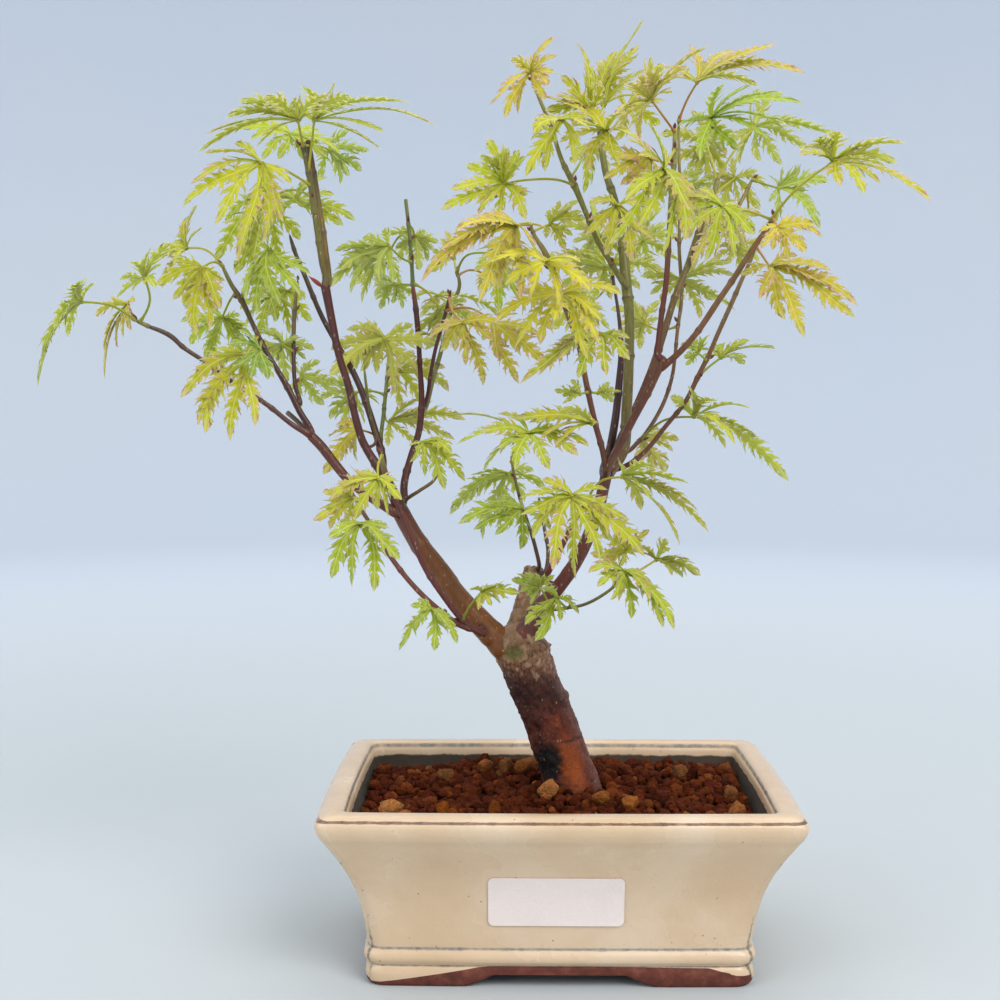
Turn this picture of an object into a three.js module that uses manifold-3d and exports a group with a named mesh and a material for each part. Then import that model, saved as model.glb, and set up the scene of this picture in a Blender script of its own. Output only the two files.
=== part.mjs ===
// Potted dissected-leaf maple: a shallow rectangular glazed pot on a clay foot, soil with a clay granule
// top dressing, a leaning trunk that forks into two branches, twigs, and shoots that carry the leaves.
// Millimetres, +Z up, the front of the pot faces -Y. The feet stand on z = 0.
import * as THREE from "three";
import { mergeVertices } from "three/addons/utils/BufferGeometryUtils.js";
import Module from "manifold-3d";

// ---- driving dimensions, mm ----
const POT_LENGTH = 182; // outside the rim, along X
const POT_DEPTH = 131; // outside the rim, along Y
const POT_HEIGHT = 68; // feet to the rim's top face
const POT_CORNER = 9; // plan radius of the rim's corners
const FOOT_RISE = 7.5; // how far the arched openings between the feet reach up
const RECESS_TOP = 7; // the underside recess reaches this height
const FLOOR_TOP = 16; // inner floor of the pot
const HOLE_RADIUS = 7.5; // drainage holes
const HOLE_X = 38; // drainage holes lie at +-HOLE_X
const GAP = 0.3; // clearance between neighbouring pieces
const SOIL_TOP = 56; // top of the dark soil, where the granule layer begins
const DRESSING_TOP = 61.5; // mean top of the granule layer
const LABEL_X = [-27, 24]; // label's span on the front face
const LABEL_Z = [24.6, 44.8];
const LABEL_THICK = 0.35;
const STALK_RADIUS = 0.6; // leaf stalks
const LOBE_HALF_WIDTH = 2.7; // leaf lobes at their widest
const BLADE_THICK = 0.8;
const HUB_HALF = 0.7; // half the height of the swelling where the lobes meet
const HUB_RADIUS = 1.0; // the notches between the lobes end this far from the base
const LOBE_MID = 0.40; // a lobe is widest this far along it
// every piece is placed relative to the pot's centre, then moved so that the origin is under the middle of the whole plant
const ORIGIN = [-33.25, 2.05];

const wasm = await Module();
wasm.setup();

// ---- helpers ----
// geometry -> solid, faces turned outwards
function solid(geometry) {
  const g = geometry.clone();
  for (const name of Object.keys(g.attributes)) if (name !== "position") g.deleteAttribute(name);
  const m = mergeVertices(g, 1e-4);
  const make = (tri) =>
    new wasm.Manifold(
      new wasm.Mesh({ numProp: 3, vertProperties: new Float32Array(m.attributes.position.array), triVerts: tri }),
    );
  const tri = new Uint32Array(m.index.array);
  const s = make(tri);
  if (s.volume() >= 0) return s;
  for (let i = 0; i < tri.length; i += 3) [tri[i + 1], tri[i + 2]] = [tri[i + 2], tri[i + 1]];
  return make(tri);
}

function geometryOf(s) {
  const m = s.getMesh();
  const v = new Float32Array(m.numVert * 3);
  for (let i = 0; i < m.numVert; i++) v.set(m.vertProperties.subarray(i * m.numProp, i * m.numProp + 3), i * 3);
  const g = new THREE.BufferGeometry();
  g.setAttribute("position", new THREE.BufferAttribute(v, 3));
  g.setIndex(new THREE.BufferAttribute(new Uint32Array(m.triVerts), 1));
  const flat = g.toNonIndexed();
  flat.computeVertexNormals();
  return flat;
}

const join = (list) => list.reduce((a, b) => a.add(b));
const largest = (s) => {
  const parts = s.decompose();
  return parts.reduce((a, b) => (b.volume() > a.volume() ? b : a));
};

// closed skin over a list of equal-length rings of points, capped at both ends
function skin(rings) {
  const n = rings[0].length;
  const verts = rings.flat();
  const idx = [];
  for (let r = 0; r + 1 < rings.length; r++)
    for (let i = 0; i < n; i++) {
      const a = r * n + i, b = r * n + ((i + 1) % n), c = a + n, d = b + n;
      idx.push(a, b, d, a, d, c);
    }
  for (let i = 1; i + 1 < n; i++) idx.push(0, i + 1, i);
  const e = (rings.length - 1) * n;
  for (let i = 1; i + 1 < n; i++) idx.push(e, e + i, e + i + 1);
  const g = new THREE.BufferGeometry();
  g.setAttribute("position", new THREE.Float32BufferAttribute(verts.flatMap((v) => [v.x, v.y, v.z]), 3));
  g.setIndex(idx);
  return g;
}

// tapering round limb through [x, y, z, radius] stations
function limb(stations, sides, grow = 0) {
  const p = stations.map((s) => new THREE.Vector3(s[0], s[1], s[2]));
  const t = p.map((_, i) => {
    const a = p[Math.max(0, i - 1)], b = p[Math.min(p.length - 1, i + 1)];
    return b.clone().sub(a).normalize();
  });
  let n = new THREE.Vector3(0, -1, 0);
  const rings = p.map((q, i) => {
    n = n.clone().addScaledVector(t[i], -n.dot(t[i])).normalize();
    const b = t[i].clone().cross(n);
    const r = stations[i][3] + grow;
    const c = q.clone();
    if (i === 0) c.addScaledVector(t[i], -grow);
    if (i === p.length - 1) c.addScaledVector(t[i], grow);
    return Array.from({ length: sides }, (_, k) => {
      const a = (2 * Math.PI * k) / sides;
      return c.clone().addScaledVector(n, r * Math.cos(a)).addScaledVector(b, r * Math.sin(a));
    });
  });
  return skin(rings);
}

// one leaf: narrow pointed lobes from one base, each arched a little and thicker along its midrib, and the
// stalk that carries them. stalk runs from inside the shoot to the base; tips are the ends of the lobes.
function leaf(stalk, tips, grow = 0) {
  const path = stalk.map((q) => new THREE.Vector3(...q));
  const B = path[path.length - 1];
  const lobes = tips.map((q) => {
    const T = new THREE.Vector3(...q), d = T.clone().sub(B);
    const length = d.length();
    return { T, d: d.normalize(), length };
  });
  // plane of the blade: the direction that every lobe leans on least, found by power iteration
  const C = [0, 0, 0, 0, 0, 0];
  for (const { d } of lobes) {
    C[0] += d.x * d.x; C[1] += d.y * d.y; C[2] += d.z * d.z;
    C[3] += d.x * d.y; C[4] += d.x * d.z; C[5] += d.y * d.z;
  }
  const k = lobes.length;
  let up = new THREE.Vector3(0.11, -0.75, 0.65).normalize();
  for (let i = 0; i < 60; i++)
    up = new THREE.Vector3(
      (k - C[0]) * up.x - C[3] * up.y - C[4] * up.z,
      -C[3] * up.x + (k - C[1]) * up.y - C[5] * up.z,
      -C[4] * up.x - C[5] * up.y + (k - C[2]) * up.z,
    ).normalize();
  if (up.y * -0.75 + up.z * 0.65 < 0) up.negate();
  const ex = lobes[0].d.clone().addScaledVector(up, -lobes[0].d.dot(up)).normalize();
  const ey = up.clone().cross(ex);
  const turn = (d) => Math.atan2(d.dot(ey), d.dot(ex));
  // rise of a direction out of the blade's plane, per unit run
  const slope = (d) => Math.max(-2.5, Math.min(2.5, d.dot(up) / (Math.hypot(d.dot(ex), d.dot(ey)) + 1e-6)));
  for (const l of lobes) l.angle = turn(l.d);
  lobes.sort((a, b) => a.angle - b.angle);
  const arms = lobes.filter((l, i) => i === 0 || l.angle - lobes[i - 1].angle > 0.09);
  // the stalk is one more arm where it leaves between the lobes; elsewhere it is a limb of its own, below
  const A = path[0], sd = A.clone().sub(B), sl = sd.length();
  sd.normalize();
  for (const l of arms) {
    l.mids = [B.clone().lerp(l.T, LOBE_MID)];
    l.mids[0].z += 0.1 * l.length * (1 - Math.abs(l.d.z));
    const m = l.mids[0].clone().sub(B);
    l.angle = turn(m);
    l.slope = slope(m);
  }
  arms.sort((a, b) => a.angle - b.angle);
  const before = path.length > 2 ? path[1] : B, run = A.clone().sub(before).normalize();
  const via = [...path.slice(1, -1).reverse(), A.clone().addScaledVector(run, -Math.min(1.2, 0.3 * sl))];
  const off = via[0].clone().sub(B), sa = turn(off);
  const clear = arms.every((l) => Math.abs(Math.atan2(Math.sin(l.angle - sa), Math.cos(l.angle - sa))) > 0.45);
  const free = clear && Math.abs(slope(off)) < 1.6;
  if (free)
    arms.push({ T: A.clone().addScaledVector(run, STALK_RADIUS), d: sd, length: sl, angle: sa, slope: slope(off), via, mids: via });
  arms.sort((a, b) => a.angle - b.angle);
  const m = arms.length;
  const verts = [], idx = [];
  const push = (v) => verts.push(v) - 1;
  const half = HUB_HALF + grow;
  const top = push(B.clone().addScaledVector(up, half));
  const bottom = push(B.clone().addScaledVector(up, -half));
  const gaps = arms.map((l, i) => {
    const g = arms[(i + 1) % m].angle - l.angle;
    return i === m - 1 ? g + 2 * Math.PI : g;
  });
  const valley = arms.map((l, i) => {
    const a = l.angle + gaps[i] / 2;
    const r = (gaps[i] > 1.6 || l.via || arms[(i + 1) % m].via ? 1.1 : HUB_RADIUS) + grow;
    // the notch follows the lean of the two arms beside it, so that upper and lower side never cross
    const rise = r * 0.5 * (l.slope + arms[(i + 1) % m].slope);
    return push(B.clone().addScaledVector(ex, Math.cos(a) * r).addScaledVector(ey, Math.sin(a) * r).addScaledVector(up, rise));
  });
  arms.forEach((l, i) => {
    const side = up.clone().cross(l.d).normalize(); // towards larger angles
    const over = l.d.clone().cross(side).normalize();
    if (over.dot(up) < 0) over.negate();
    const s = LOBE_MID, mids = l.mids;
    const open = Math.min(gaps[i], gaps[(i + m - 1) % m], 1.2);
    const w = (l.via ? STALK_RADIUS : Math.min(LOBE_HALF_WIDTH, 0.085 * l.length + 0.6, s * l.length * Math.sin(open / 2) * 0.92)) + grow;
    const lift = l.via ? STALK_RADIUS * 1.3 + grow : BLADE_THICK * 0.85 + grow;
    const rings = mids.map((p) => [
      push(p.clone().addScaledVector(side, -w)),
      push(p.clone().addScaledVector(over, lift)),
      push(p.clone().addScaledVector(side, w)),
    ]);
    const v0 = valley[(i + m - 1) % m], v1 = valley[i];
    const [r0, b0, l0] = rings[0];
    idx.push(top, v0, r0, top, r0, b0, top, b0, l0, top, l0, v1, v0, v1, r0, v1, l0, r0, bottom, v1, v0);
    for (let k = 0; k + 1 < rings.length; k++) {
      const [ra, ba, la] = rings[k], [rb, bb, lb] = rings[k + 1];
      idx.push(ra, rb, bb, ra, bb, ba, ba, bb, lb, ba, lb, la, la, lb, rb, la, rb, ra);
    }
    const [re, be, le] = rings[rings.length - 1];
    const tip = push(l.T.clone().addScaledVector(l.d, l.via ? 0 : grow));
    idx.push(re, tip, be, be, tip, le, re, le, tip);
  });
  const g = new THREE.BufferGeometry();
  g.setAttribute("position", new THREE.Float32BufferAttribute(verts.flatMap((v) => [v.x, v.y, v.z]), 3));
  g.setIndex(idx);
  const blade = solid(g);
  if (free) return blade;
  const run2 = B.clone().sub(via[0]).normalize();
  const line = [A.clone().addScaledVector(run, STALK_RADIUS), ...via.slice().reverse(), B.clone().addScaledVector(run2, 0.25)];
  return blade.add(solid(limb(line.map((q) => [q.x, q.y, q.z, STALK_RADIUS]), 4, grow)));
}

// joins points that lie very close together, where the result stays one closed skin
function snapped(s, steps) {
  const m = s.getMesh(), n = m.numProp;
  const key = new Map(), remap = [], pos = [];
  for (let i = 0; i < m.numVert; i++) {
    const q = [0, 1, 2].map((k) => Math.round(m.vertProperties[i * n + k] * steps) / steps);
    const id = q.join();
    if (!key.has(id)) key.set(id, pos.push(q) - 1);
    remap.push(key.get(id));
  }
  const tri = [];
  for (let i = 0; i < m.triVerts.length; i += 3) {
    const [a, b, c] = [0, 1, 2].map((k) => remap[m.triVerts[i + k]]);
    if (a !== b && b !== c && a !== c) tri.push(a, b, c);
  }
  const edges = new Set();
  for (let i = 0; i < tri.length; i += 3)
    for (let k = 0; k < 3; k++) {
      const e = tri[i + k] + ">" + tri[i + ((k + 1) % 3)];
      if (edges.has(e)) return null;
      edges.add(e);
    }
  for (const e of edges) if (!edges.has(e.split(">").reverse().join(">"))) return null;
  try {
    const t = new wasm.Manifold(
      new wasm.Mesh({ numProp: 3, vertProperties: new Float32Array(pos.flat()), triVerts: new Uint32Array(tri) }),
    );
    return t.decompose().length === 1 && Math.abs(t.volume() - s.volume()) < 0.01 * s.volume() ? t : null;
  } catch {
    return null;
  }
}
// height of the thinnest triangle
function thinnest(s) {
  const m = s.getMesh(), n = m.numProp;
  const at = (i) => new THREE.Vector3(...m.vertProperties.subarray(i * n, i * n + 3));
  let least = Infinity;
  for (let i = 0; i < m.triVerts.length; i += 3) {
    const [a, b, c] = [0, 1, 2].map((k) => at(m.triVerts[i + k]));
    const base = Math.max(a.distanceTo(b), b.distanceTo(c), c.distanceTo(a));
    least = Math.min(least, b.clone().sub(a).cross(c.clone().sub(a)).length() / base);
  }
  return least;
}
function tidy(s) {
  let best = null, most = 0;
  for (const steps of [50, 100, 33, 20, 200, 500, 10, 1000]) {
    const t = snapped(s, steps);
    if (!t || !snapped(t, 10000)) continue;
    const thin = thinnest(t);
    if (thin > 0.005) return t;
    if (thin > most) [best, most] = [t, thin];
  }
  return best;
}

// rounded rectangle in plan with slightly bowed long sides, counter-clockwise
function plan(inset, z, corner, bow = 1.2) {
  const hx = POT_LENGTH / 2 - inset, hy = POT_DEPTH / 2 - inset, r = Math.max(corner, 0.8);
  const out = [];
  const arc = (cx, cy, from) => {
    for (let i = 0; i <= 3; i++) {
      const a = from + (i * Math.PI) / 6;
      out.push(new THREE.Vector3(cx + r * Math.cos(a), cy + r * Math.sin(a), z));
    }
  };
  const b = Math.min(bow, inset + bow);
  arc(hx - r, hy - r - b, 0);
  out.push(new THREE.Vector3(0, hy, z));
  arc(-hx + r, hy - r - b, Math.PI / 2);
  arc(-hx + r, -hy + r + b, Math.PI);
  out.push(new THREE.Vector3(0, -hy, z));
  arc(hx - r, -hy + r + b, 1.5 * Math.PI);
  return out;
}
const loft = (profile, corner) => skin(profile.map(([inset, z]) => plan(inset, z, Math.max(corner - inset * 0.12, 1))));

function box(x0, x1, y0, y1, z0, z1) {
  const g = new THREE.BoxGeometry(x1 - x0, y1 - y0, z1 - z0);
  g.translate((x0 + x1) / 2, (y0 + y1) / 2, (z0 + z1) / 2);
  return g;
}

// ---- pot ----
// [inset from the rim's outer edge, height] up the outside: clay foot, band, groove, flaring wall, lip
const POT_OUTSIDE = [
  [17.6, 0], [17.2, 5], [16.9, 7], [17.6, 8], [16.4, 9.2], [16.3, 13.2], [17.6, 14.6], [17.5, 17], [17.0, 20],
  [16.0, 26.5], [13.9, 36], [10.6, 44.5], [6.6, 52], [3.2, 57.6], [0.9, 59.6], [0, 62], [0.4, 66.2], [1.6, 68],
];
// down the inside: rim's inner edge to the floor
const POT_INSIDE = [
  [10.2, 70], [10.6, 67.4], [11.4, 66.2], [12.3, 60], [14.6, 52], [18.2, 44.5], [21.4, 36], [23.6, 26.5], [24.6, FLOOR_TOP],
];
const insetAt = (profile, z) => {
  const p = [...profile].sort((a, b) => a[1] - b[1]);
  for (let i = 0; i + 1 < p.length; i++)
    if (z <= p[i + 1][1]) return p[i][0] + ((p[i + 1][0] - p[i][0]) * (z - p[i][1])) / (p[i + 1][1] - p[i][1]);
  return p[p.length - 1][0];
};
function pot() {
  let s = solid(loft(POT_OUTSIDE, POT_CORNER)).subtract(solid(loft([...POT_INSIDE].reverse(), POT_CORNER)));
  s = s.subtract(solid(box(-POT_LENGTH / 2 + 27, POT_LENGTH / 2 - 27, -POT_DEPTH / 2 + 27, POT_DEPTH / 2 - 27, -1, RECESS_TOP)));
  for (const x of [-HOLE_X, HOLE_X]) {
    const h = new THREE.CylinderGeometry(HOLE_RADIUS, HOLE_RADIUS, 20, 16);
    h.rotateX(Math.PI / 2);
    h.translate(x, 0, 12);
    s = s.subtract(solid(h));
  }
  // arched openings between the feet, front to back and side to side
  const arch = (half, rise) => {
    const a = new THREE.Shape();
    a.moveTo(-half * 1.9, -1);
    a.lineTo(-half * 1.9, 0.0);
    a.bezierCurveTo(-half * 1.5, rise * 0.35, -half * 1.2, rise, -half * 0.9, rise);
    a.lineTo(half * 0.9, rise);
    a.bezierCurveTo(half * 1.2, rise, half * 1.5, rise * 0.35, half * 1.9, 0);
    a.lineTo(half * 1.9, -1);
    a.closePath();
    return a;
  };
  const cut = new THREE.ExtrudeGeometry(arch(20, FOOT_RISE - 1.2), { depth: POT_DEPTH, bevelEnabled: false, curveSegments: 4 });
  cut.rotateX(Math.PI / 2);
  cut.translate(0, POT_DEPTH / 2, 0);
  s = s.subtract(solid(cut));
  return s;
}

// ---- what is in the pot ----
const inner = (z) => insetAt(POT_INSIDE, z) + GAP;
function soil() {
  const zs = [FLOOR_TOP + 1.6, 26.5, 36, 44.5, 52, SOIL_TOP];
  return solid(loft(zs.map((z) => [inner(z), z]), POT_CORNER));
}
// granule layer: a sheet whose top is lumpy
function dressing() {
  const nx = 16, ny = 11, z0 = SOIL_TOP + GAP;
  const hx = POT_LENGTH / 2 - inner(60) - 1.2, hy = POT_DEPTH / 2 - inner(60) - 2.4;
  const noise = (i, j) => {
    const s = Math.sin(i * 12.9898 + j * 78.233) * 43758.5453;
    return s - Math.floor(s) - 0.5;
  };
  const round = (u, v) => {
    // pull the corners in
    const k = Math.max(0, Math.hypot(Math.max(0, Math.abs(u) - 0.86), Math.max(0, Math.abs(v) - 0.8)) - 0.12);
    return 1 - k * 0.45;
  };
  const at = (i, j, topSide) => {
    const u = (2 * i) / nx - 1, v = (2 * j) / ny - 1, r = round(u, v);
    const edge = i === 0 || j === 0 || i === nx || j === ny;
    const shrink = topSide ? 1 : 0.965;
    const z = topSide ? DRESSING_TOP + (edge ? -1.6 : 0) + noise(i, j) * 1.8 : z0;
    return new THREE.Vector3(u * hx * r * shrink, v * hy * r * shrink, z);
  };
  const verts = [], idx = [];
  for (const t of [true, false]) for (let j = 0; j <= ny; j++) for (let i = 0; i <= nx; i++) verts.push(at(i, j, t));
  const id = (i, j, t) => (t ? 0 : (nx + 1) * (ny + 1)) + j * (nx + 1) + i;
  for (let j = 0; j < ny; j++)
    for (let i = 0; i < nx; i++) {
      idx.push(id(i, j, 1), id(i + 1, j, 1), id(i + 1, j + 1, 1), id(i, j, 1), id(i + 1, j + 1, 1), id(i, j + 1, 1));
      idx.push(id(i, j, 0), id(i + 1, j + 1, 0), id(i + 1, j, 0), id(i, j, 0), id(i, j + 1, 0), id(i + 1, j + 1, 0));
    }
  const wall = (a, b) => idx.push(id(...a, 0), id(...b, 0), id(...b, 1), id(...a, 0), id(...b, 1), id(...a, 1));
  for (let i = 0; i < nx; i++) { wall([i, 0], [i + 1, 0]); wall([i + 1, ny], [i, ny]); }
  for (let j = 0; j < ny; j++) { wall([nx, j], [nx, j + 1]); wall([0, j + 1], [0, j]); }
  const g = new THREE.BufferGeometry();
  g.setAttribute("position", new THREE.Float32BufferAttribute(verts.flatMap((v) => [v.x, v.y, v.z]), 3));
  g.setIndex(idx);
  return solid(g);
}
// square of plastic drainage mesh over a hole
function drainageMesh(x) {
  const z0 = FLOOR_TOP + GAP, z1 = z0 + 0.9;
  let s = solid(box(x - 12, x + 12, -12, 12, z0, z1));
  for (let i = 0; i < 3; i++)
    for (let j = 0; j < 3; j++) {
      const cx = x - 7 + 7 * i, cy = -7 + 7 * j, h = 2.6;
      s = s.subtract(solid(box(cx - h, cx + h, cy - h, cy + h, z0 - 1, z1 + 1)));
    }
  return s;
}
// bare paper label on the front face, following its hollow curve
function label() {
  const n = 6, front = [], back = [];
  for (let i = 0; i <= n; i++) {
    const z = LABEL_Z[0] + ((LABEL_Z[1] - LABEL_Z[0]) * i) / n;
    const y = -(POT_DEPTH / 2 - insetAt(POT_OUTSIDE, z));
    front.push([y - GAP - LABEL_THICK, z]);
    back.push([y - GAP, z]);
  }
  const s = new THREE.Shape([...back, ...front.reverse()].map((q) => new THREE.Vector2(q[0], q[1])));
  const g = new THREE.ExtrudeGeometry(s, { depth: LABEL_X[1] - LABEL_X[0], bevelEnabled: false });
  // shape (y, z) extruded along X
  g.applyMatrix4(new THREE.Matrix4().set(0, 0, 1, LABEL_X[0], 1, 0, 0, 0, 0, 1, 0, 0, 0, 0, 0, 1));
  return solid(g);
}

// ---- the tree: each entry is one grown piece ----
// limbs: [x, y, z, radius] stations; leaves: a stalk from the shoot to the blade base, then the tips of the lobes
const TREE = [
  { name: "trunk", kind: "bark", sides: 12,
    limbs: [[[8.6, 9, 51.4, 13.05], [6.9, 9, 60.6, 11.82], [4, 9, 69.9, 11.01], [0.6, 8, 79.7, 10.79], [-4.4, 7, 93.7, 10.26], [-10.6, 6, 108.9, 10.55], [-13.9, 5.5, 117.7, 10.95], [-16.3, 5, 123.9, 10.13]], [[-16.3, 8, 123.5, 6.92], [-14.3, 10, 130.6, 5.51], [-12.2, 12, 139.4, 4.71], [-10.2, 13, 146.8, 4.51], [-9.3, 13.5, 152.6, 4.11]]],
    leaves: [],
  },
  { name: "left_branch", kind: "twig", sides: 8,
    limbs: [[[-15.9, 5.1, 122.8, 5.45], [-20, 3, 121, 5.45], [-25.3, 2.5, 125.6, 5.34], [-33, 1, 133.6, 5.13], [-41.4, -1, 143.6, 4.51], [-47.4, -2, 152.7, 4.20], [-55.7, -4, 164.2, 3.79], [-63.4, -5, 178, 3.49]]],
    leaves: [],
  },
  { name: "right_branch", kind: "twig", sides: 8,
    limbs: [[[-16.3, 5, 123.9, 4.84], [-15.5, 2, 124.4, 4.84], [-11.9, 1, 129.5, 4.02], [-7, 0, 137.9, 3.41], [-1.4, -1, 144.5, 3.01], [4.2, -2, 152, 2.80], [10.1, -3, 162.6, 2.60], [15.6, -4, 177.2, 2.49], [19.3, -5, 192.4, 2.29]]],
    leaves: [],
  },
  { name: "left_leader", kind: "twig", sides: 6,
    limbs: [[[-63.4, -5, 178, 2.49], [-63.5, -6, 178.8, 2.49], [-67.7, -7, 188.9, 2.08], [-72.5, -8, 196.5, 1.78], [-77.8, -9, 206.1, 1.58], [-79.6, -10, 212.4, 1.54], [-83.1, -11, 228.6, 1.46], [-86.3, -12, 239.1, 1.46], [-88.6, -13, 251.2, 1.53], [-91.3, -14, 266.2, 1.80]], [[-91.3, -14, 266.2, 1.29], [-91.1, -14, 267, 1.29], [-92.1, -16, 275.4, 1.21], [-94.3, -19, 293, 1.17]], [[-91.3, -14, 266.2, 1.42], [-90.7, -11, 267.2, 1.42], [-91.6, -11, 280.4, 1.38], [-93.8, -12, 297.7, 1.30], [-96.1, -13, 313, 1.18], [-97.4, -14, 322, 1.10]], [[-76.1, -8.7, 203.1, 0.64], [-73.3, 2, 205.7, 0.64], [-75.4, 0, 217, 0.60], [-76.4, -4, 226.6, 0.56], [-77.1, -6, 235.3, 0.52]]],
    leaves: [],
  },
  { name: "left_second_twig", kind: "twig", sides: 5,
    limbs: [[[-71, -7.7, 194.2, 1.50], [-70.1, -2, 195.4, 1.50], [-74.7, 5, 212.1, 1.42], [-82.7, 9, 232.4, 1.26], [-89.8, 11, 244.6, 1.15], [-95.7, 12, 255.2, 1.02], [-103.2, 13, 272.7, 0.94], [-106.9, 13, 282, 0.82], [-109.1, 13, 289.2, 0.70]]],
    leaves: [],
  },
  { name: "left_fork", kind: "twig", sides: 6,
    limbs: [[[-63.2, -5, 177.7, 1.98], [-64.1, -8, 177, 1.98], [-69.5, -10, 180.3, 1.90], [-76, -12, 184.8, 1.89], [-83, -14, 190.9, 1.84], [-88.2, -15, 197.2, 1.88], [-93.1, -16, 203.9, 1.95], [-96.9, -17, 207.9, 1.85]], [[-96.9, -17, 207.9, 0.98], [-100.3, -12, 210.9, 0.98], [-103.7, -10, 214, 0.99], [-107.2, -9, 216.9, 0.99]]],
    leaves: [],
  },
  { name: "left_reach", kind: "twig", sides: 5,
    limbs: [[[-96.9, -17, 207.9, 1.25], [-97.5, -18, 208.5, 1.25], [-102.4, -19, 211.4, 1.05], [-113.5, -22, 220.4, 0.97], [-122, -24, 226.2, 0.93], [-131.1, -26, 232.7, 0.88], [-133.6, -27, 234.9, 0.88], [-144.7, -30, 243, 0.88], [-147.1, -31, 245.5, 0.95], [-155.1, -34, 249.5, 0.76]]],
    leaves: [],
  },
  { name: "left_rise", kind: "twig", sides: 5,
    limbs: [[[-96.9, -17, 207.9, 1.37], [-97.1, -15, 209.4, 1.37], [-101.9, -13, 217.6, 1.26], [-106.6, -11, 226.6, 1.18], [-110.6, -10, 233.3, 1.07], [-116, -9, 241.8, 0.99]]],
    leaves: [],
  },
  { name: "left_upright", kind: "twig", sides: 5,
    limbs: [[[-63.4, -5, 178, 1.61], [-61.9, 0, 182, 1.61], [-62.1, 3, 186.7, 1.53], [-59.3, 10, 199.8, 1.43], [-56.8, 14, 208.7, 1.36], [-55.8, 16, 216.8, 1.32], [-56.6, 18, 237.4, 1.03], [-58.3, 19, 260.4, 1.08], [-59.4, 20, 267.9, 0.83]]],
    leaves: [],
  },
  { name: "right_front_twig", kind: "twig", sides: 6,
    limbs: [[[19.3, -5, 192.4, 1.66], [18.9, -9, 193.8, 1.66], [23.4, -11, 202.6, 1.58], [27.8, -13, 211.7, 1.49], [35.1, -17, 226.2, 1.44], [38.5, -20, 233.9, 1.55], [40, -20, 237.3, 1.94]]],
    leaves: [],
  },
  { name: "right_front_twig_up", kind: "twig", sides: 5,
    limbs: [[[40, -20, 237.3, 1.28], [38, -21, 238.8, 1.28], [38, -22, 244.9, 1.12], [38.9, -22, 253.3, 1.08], [40.6, -23, 267, 1.08], [41.4, -24, 282.8, 1.08], [42.4, -24, 300.9, 1.04]]],
    leaves: [],
  },
  { name: "right_front_twig_out", kind: "twig", sides: 5,
    limbs: [[[40, -20, 237.3, 1.24], [42.1, -22, 236.9, 1.24], [44.6, -24, 238, 1.20], [50.7, -26, 245.6, 1.15], [60.1, -29, 259.8, 1.15], [65.6, -30, 267.9, 1.11], [73, -32, 279.8, 1.06], [77.7, -32.9, 286.6, 1.00]]],
    leaves: [],
  },
  { name: "right_green_stem", kind: "green", sides: 6,
    limbs: [[[19.3, -5, 192.4, 2.21], [21.7, -1, 194.6, 2.21], [25.3, -1, 199.6, 2.17], [27.3, -1, 218.3, 2.09], [28.3, 0, 238, 2.01], [28.2, 1, 257.7, 1.97], [27.2, 2, 267.3, 2.10], [24.4, 5, 292.9, 1.66], [22.5, 6, 302.2, 1.54], [19.2, 8, 312.4, 1.38], [17.4, 8.9, 325.2, 1.27]]],
    leaves: [],
  },
  { name: "right_back_twig", kind: "twig", sides: 5,
    limbs: [[[19.3, -5, 192.4, 1.82], [21.6, 3, 195.2, 1.82], [26.2, 7, 207.2, 1.75], [30.8, 10, 216.1, 1.67], [39.2, 14, 235.7, 1.56], [44.7, 17, 252.1, 1.49], [48.9, 19, 265.2, 1.41], [53.1, 21, 275.2, 1.37], [57.9, 23, 289.2, 1.33], [62.9, 24.8, 301.7, 1.27]]],
    leaves: [],
  },
  { name: "right_dark_stem", kind: "twig", sides: 6,
    limbs: [[[19.3, -5, 192.4, 1.83], [18.9, 6, 194.3, 1.83], [20.6, 8, 199.2, 1.75], [23.5, 11, 212.6, 1.64], [25.2, 13, 228.3, 1.52], [26.1, 14, 238.5, 1.27], [25.6, 16, 252, 0.82], [23.6, 18, 266.8, 0.62]]],
    leaves: [],
  },
  { name: "centre_cut_twig", kind: "twig", sides: 5,
    limbs: [[[-9.4, 13.4, 151.8, 0.85], [-4.9, 6, 151.8, 0.85], [-3.7, 8, 160.2, 0.77], [-4.7, 10, 167.2, 0.74], [-6.2, 12, 174.4, 0.61], [-7.3, 13, 181.6, 0.49]]],
    leaves: [],
  },
  { name: "left_reach_leaves", kind: "leaf", sides: 4,
    limbs: [[[-155.4, -34.2, 249.7, 0.76], [-161.2, -37, 252.5, 0.60]]],
    leaves: [
      { stalk: [[-160.1, -36.5, 252], [-166.5, -44.2, 256.8], [-175.4, -52, 257.8]], tips: [[-189.8, -59.5, 226.4], [-171.9, -72, 261.4], [-168, -72, 264.6], [-186.9, -60.9, 236.4], [-180.1, -69.3, 246.8]] },
      { stalk: [[-160.1, -36.5, 252], [-166.4, -22, 258.5]], tips: [[-168.2, -30.8, 241.7], [-174.1, -28.4, 229.6], [-175.3, -35.8, 253.9], [-174, -29.2, 240.2], [-160.7, -38.5, 248.2]] },
      { stalk: [[-158.4, -35.6, 251.2], [-152.7, -42.8, 259.1], [-152.6, -50, 266.2]], tips: [[-159.2, -61.4, 265], [-161.5, -57.3, 258.5], [-142.7, -55.6, 279.1], [-145.3, -63.9, 262], [-155.7, -62, 271.4]] },
    ],
  },
  { name: "left_rise_leaves", kind: "leaf", sides: 4,
    limbs: [[[-116.2, -9, 242.1, 0.99], [-121.3, -8, 253, 0.95], [-125.1, -8, 261.2, 1.11], [-129, -8, 267.1, 0.91], [-132.8, -8, 275.5, 0.71]]],
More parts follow.
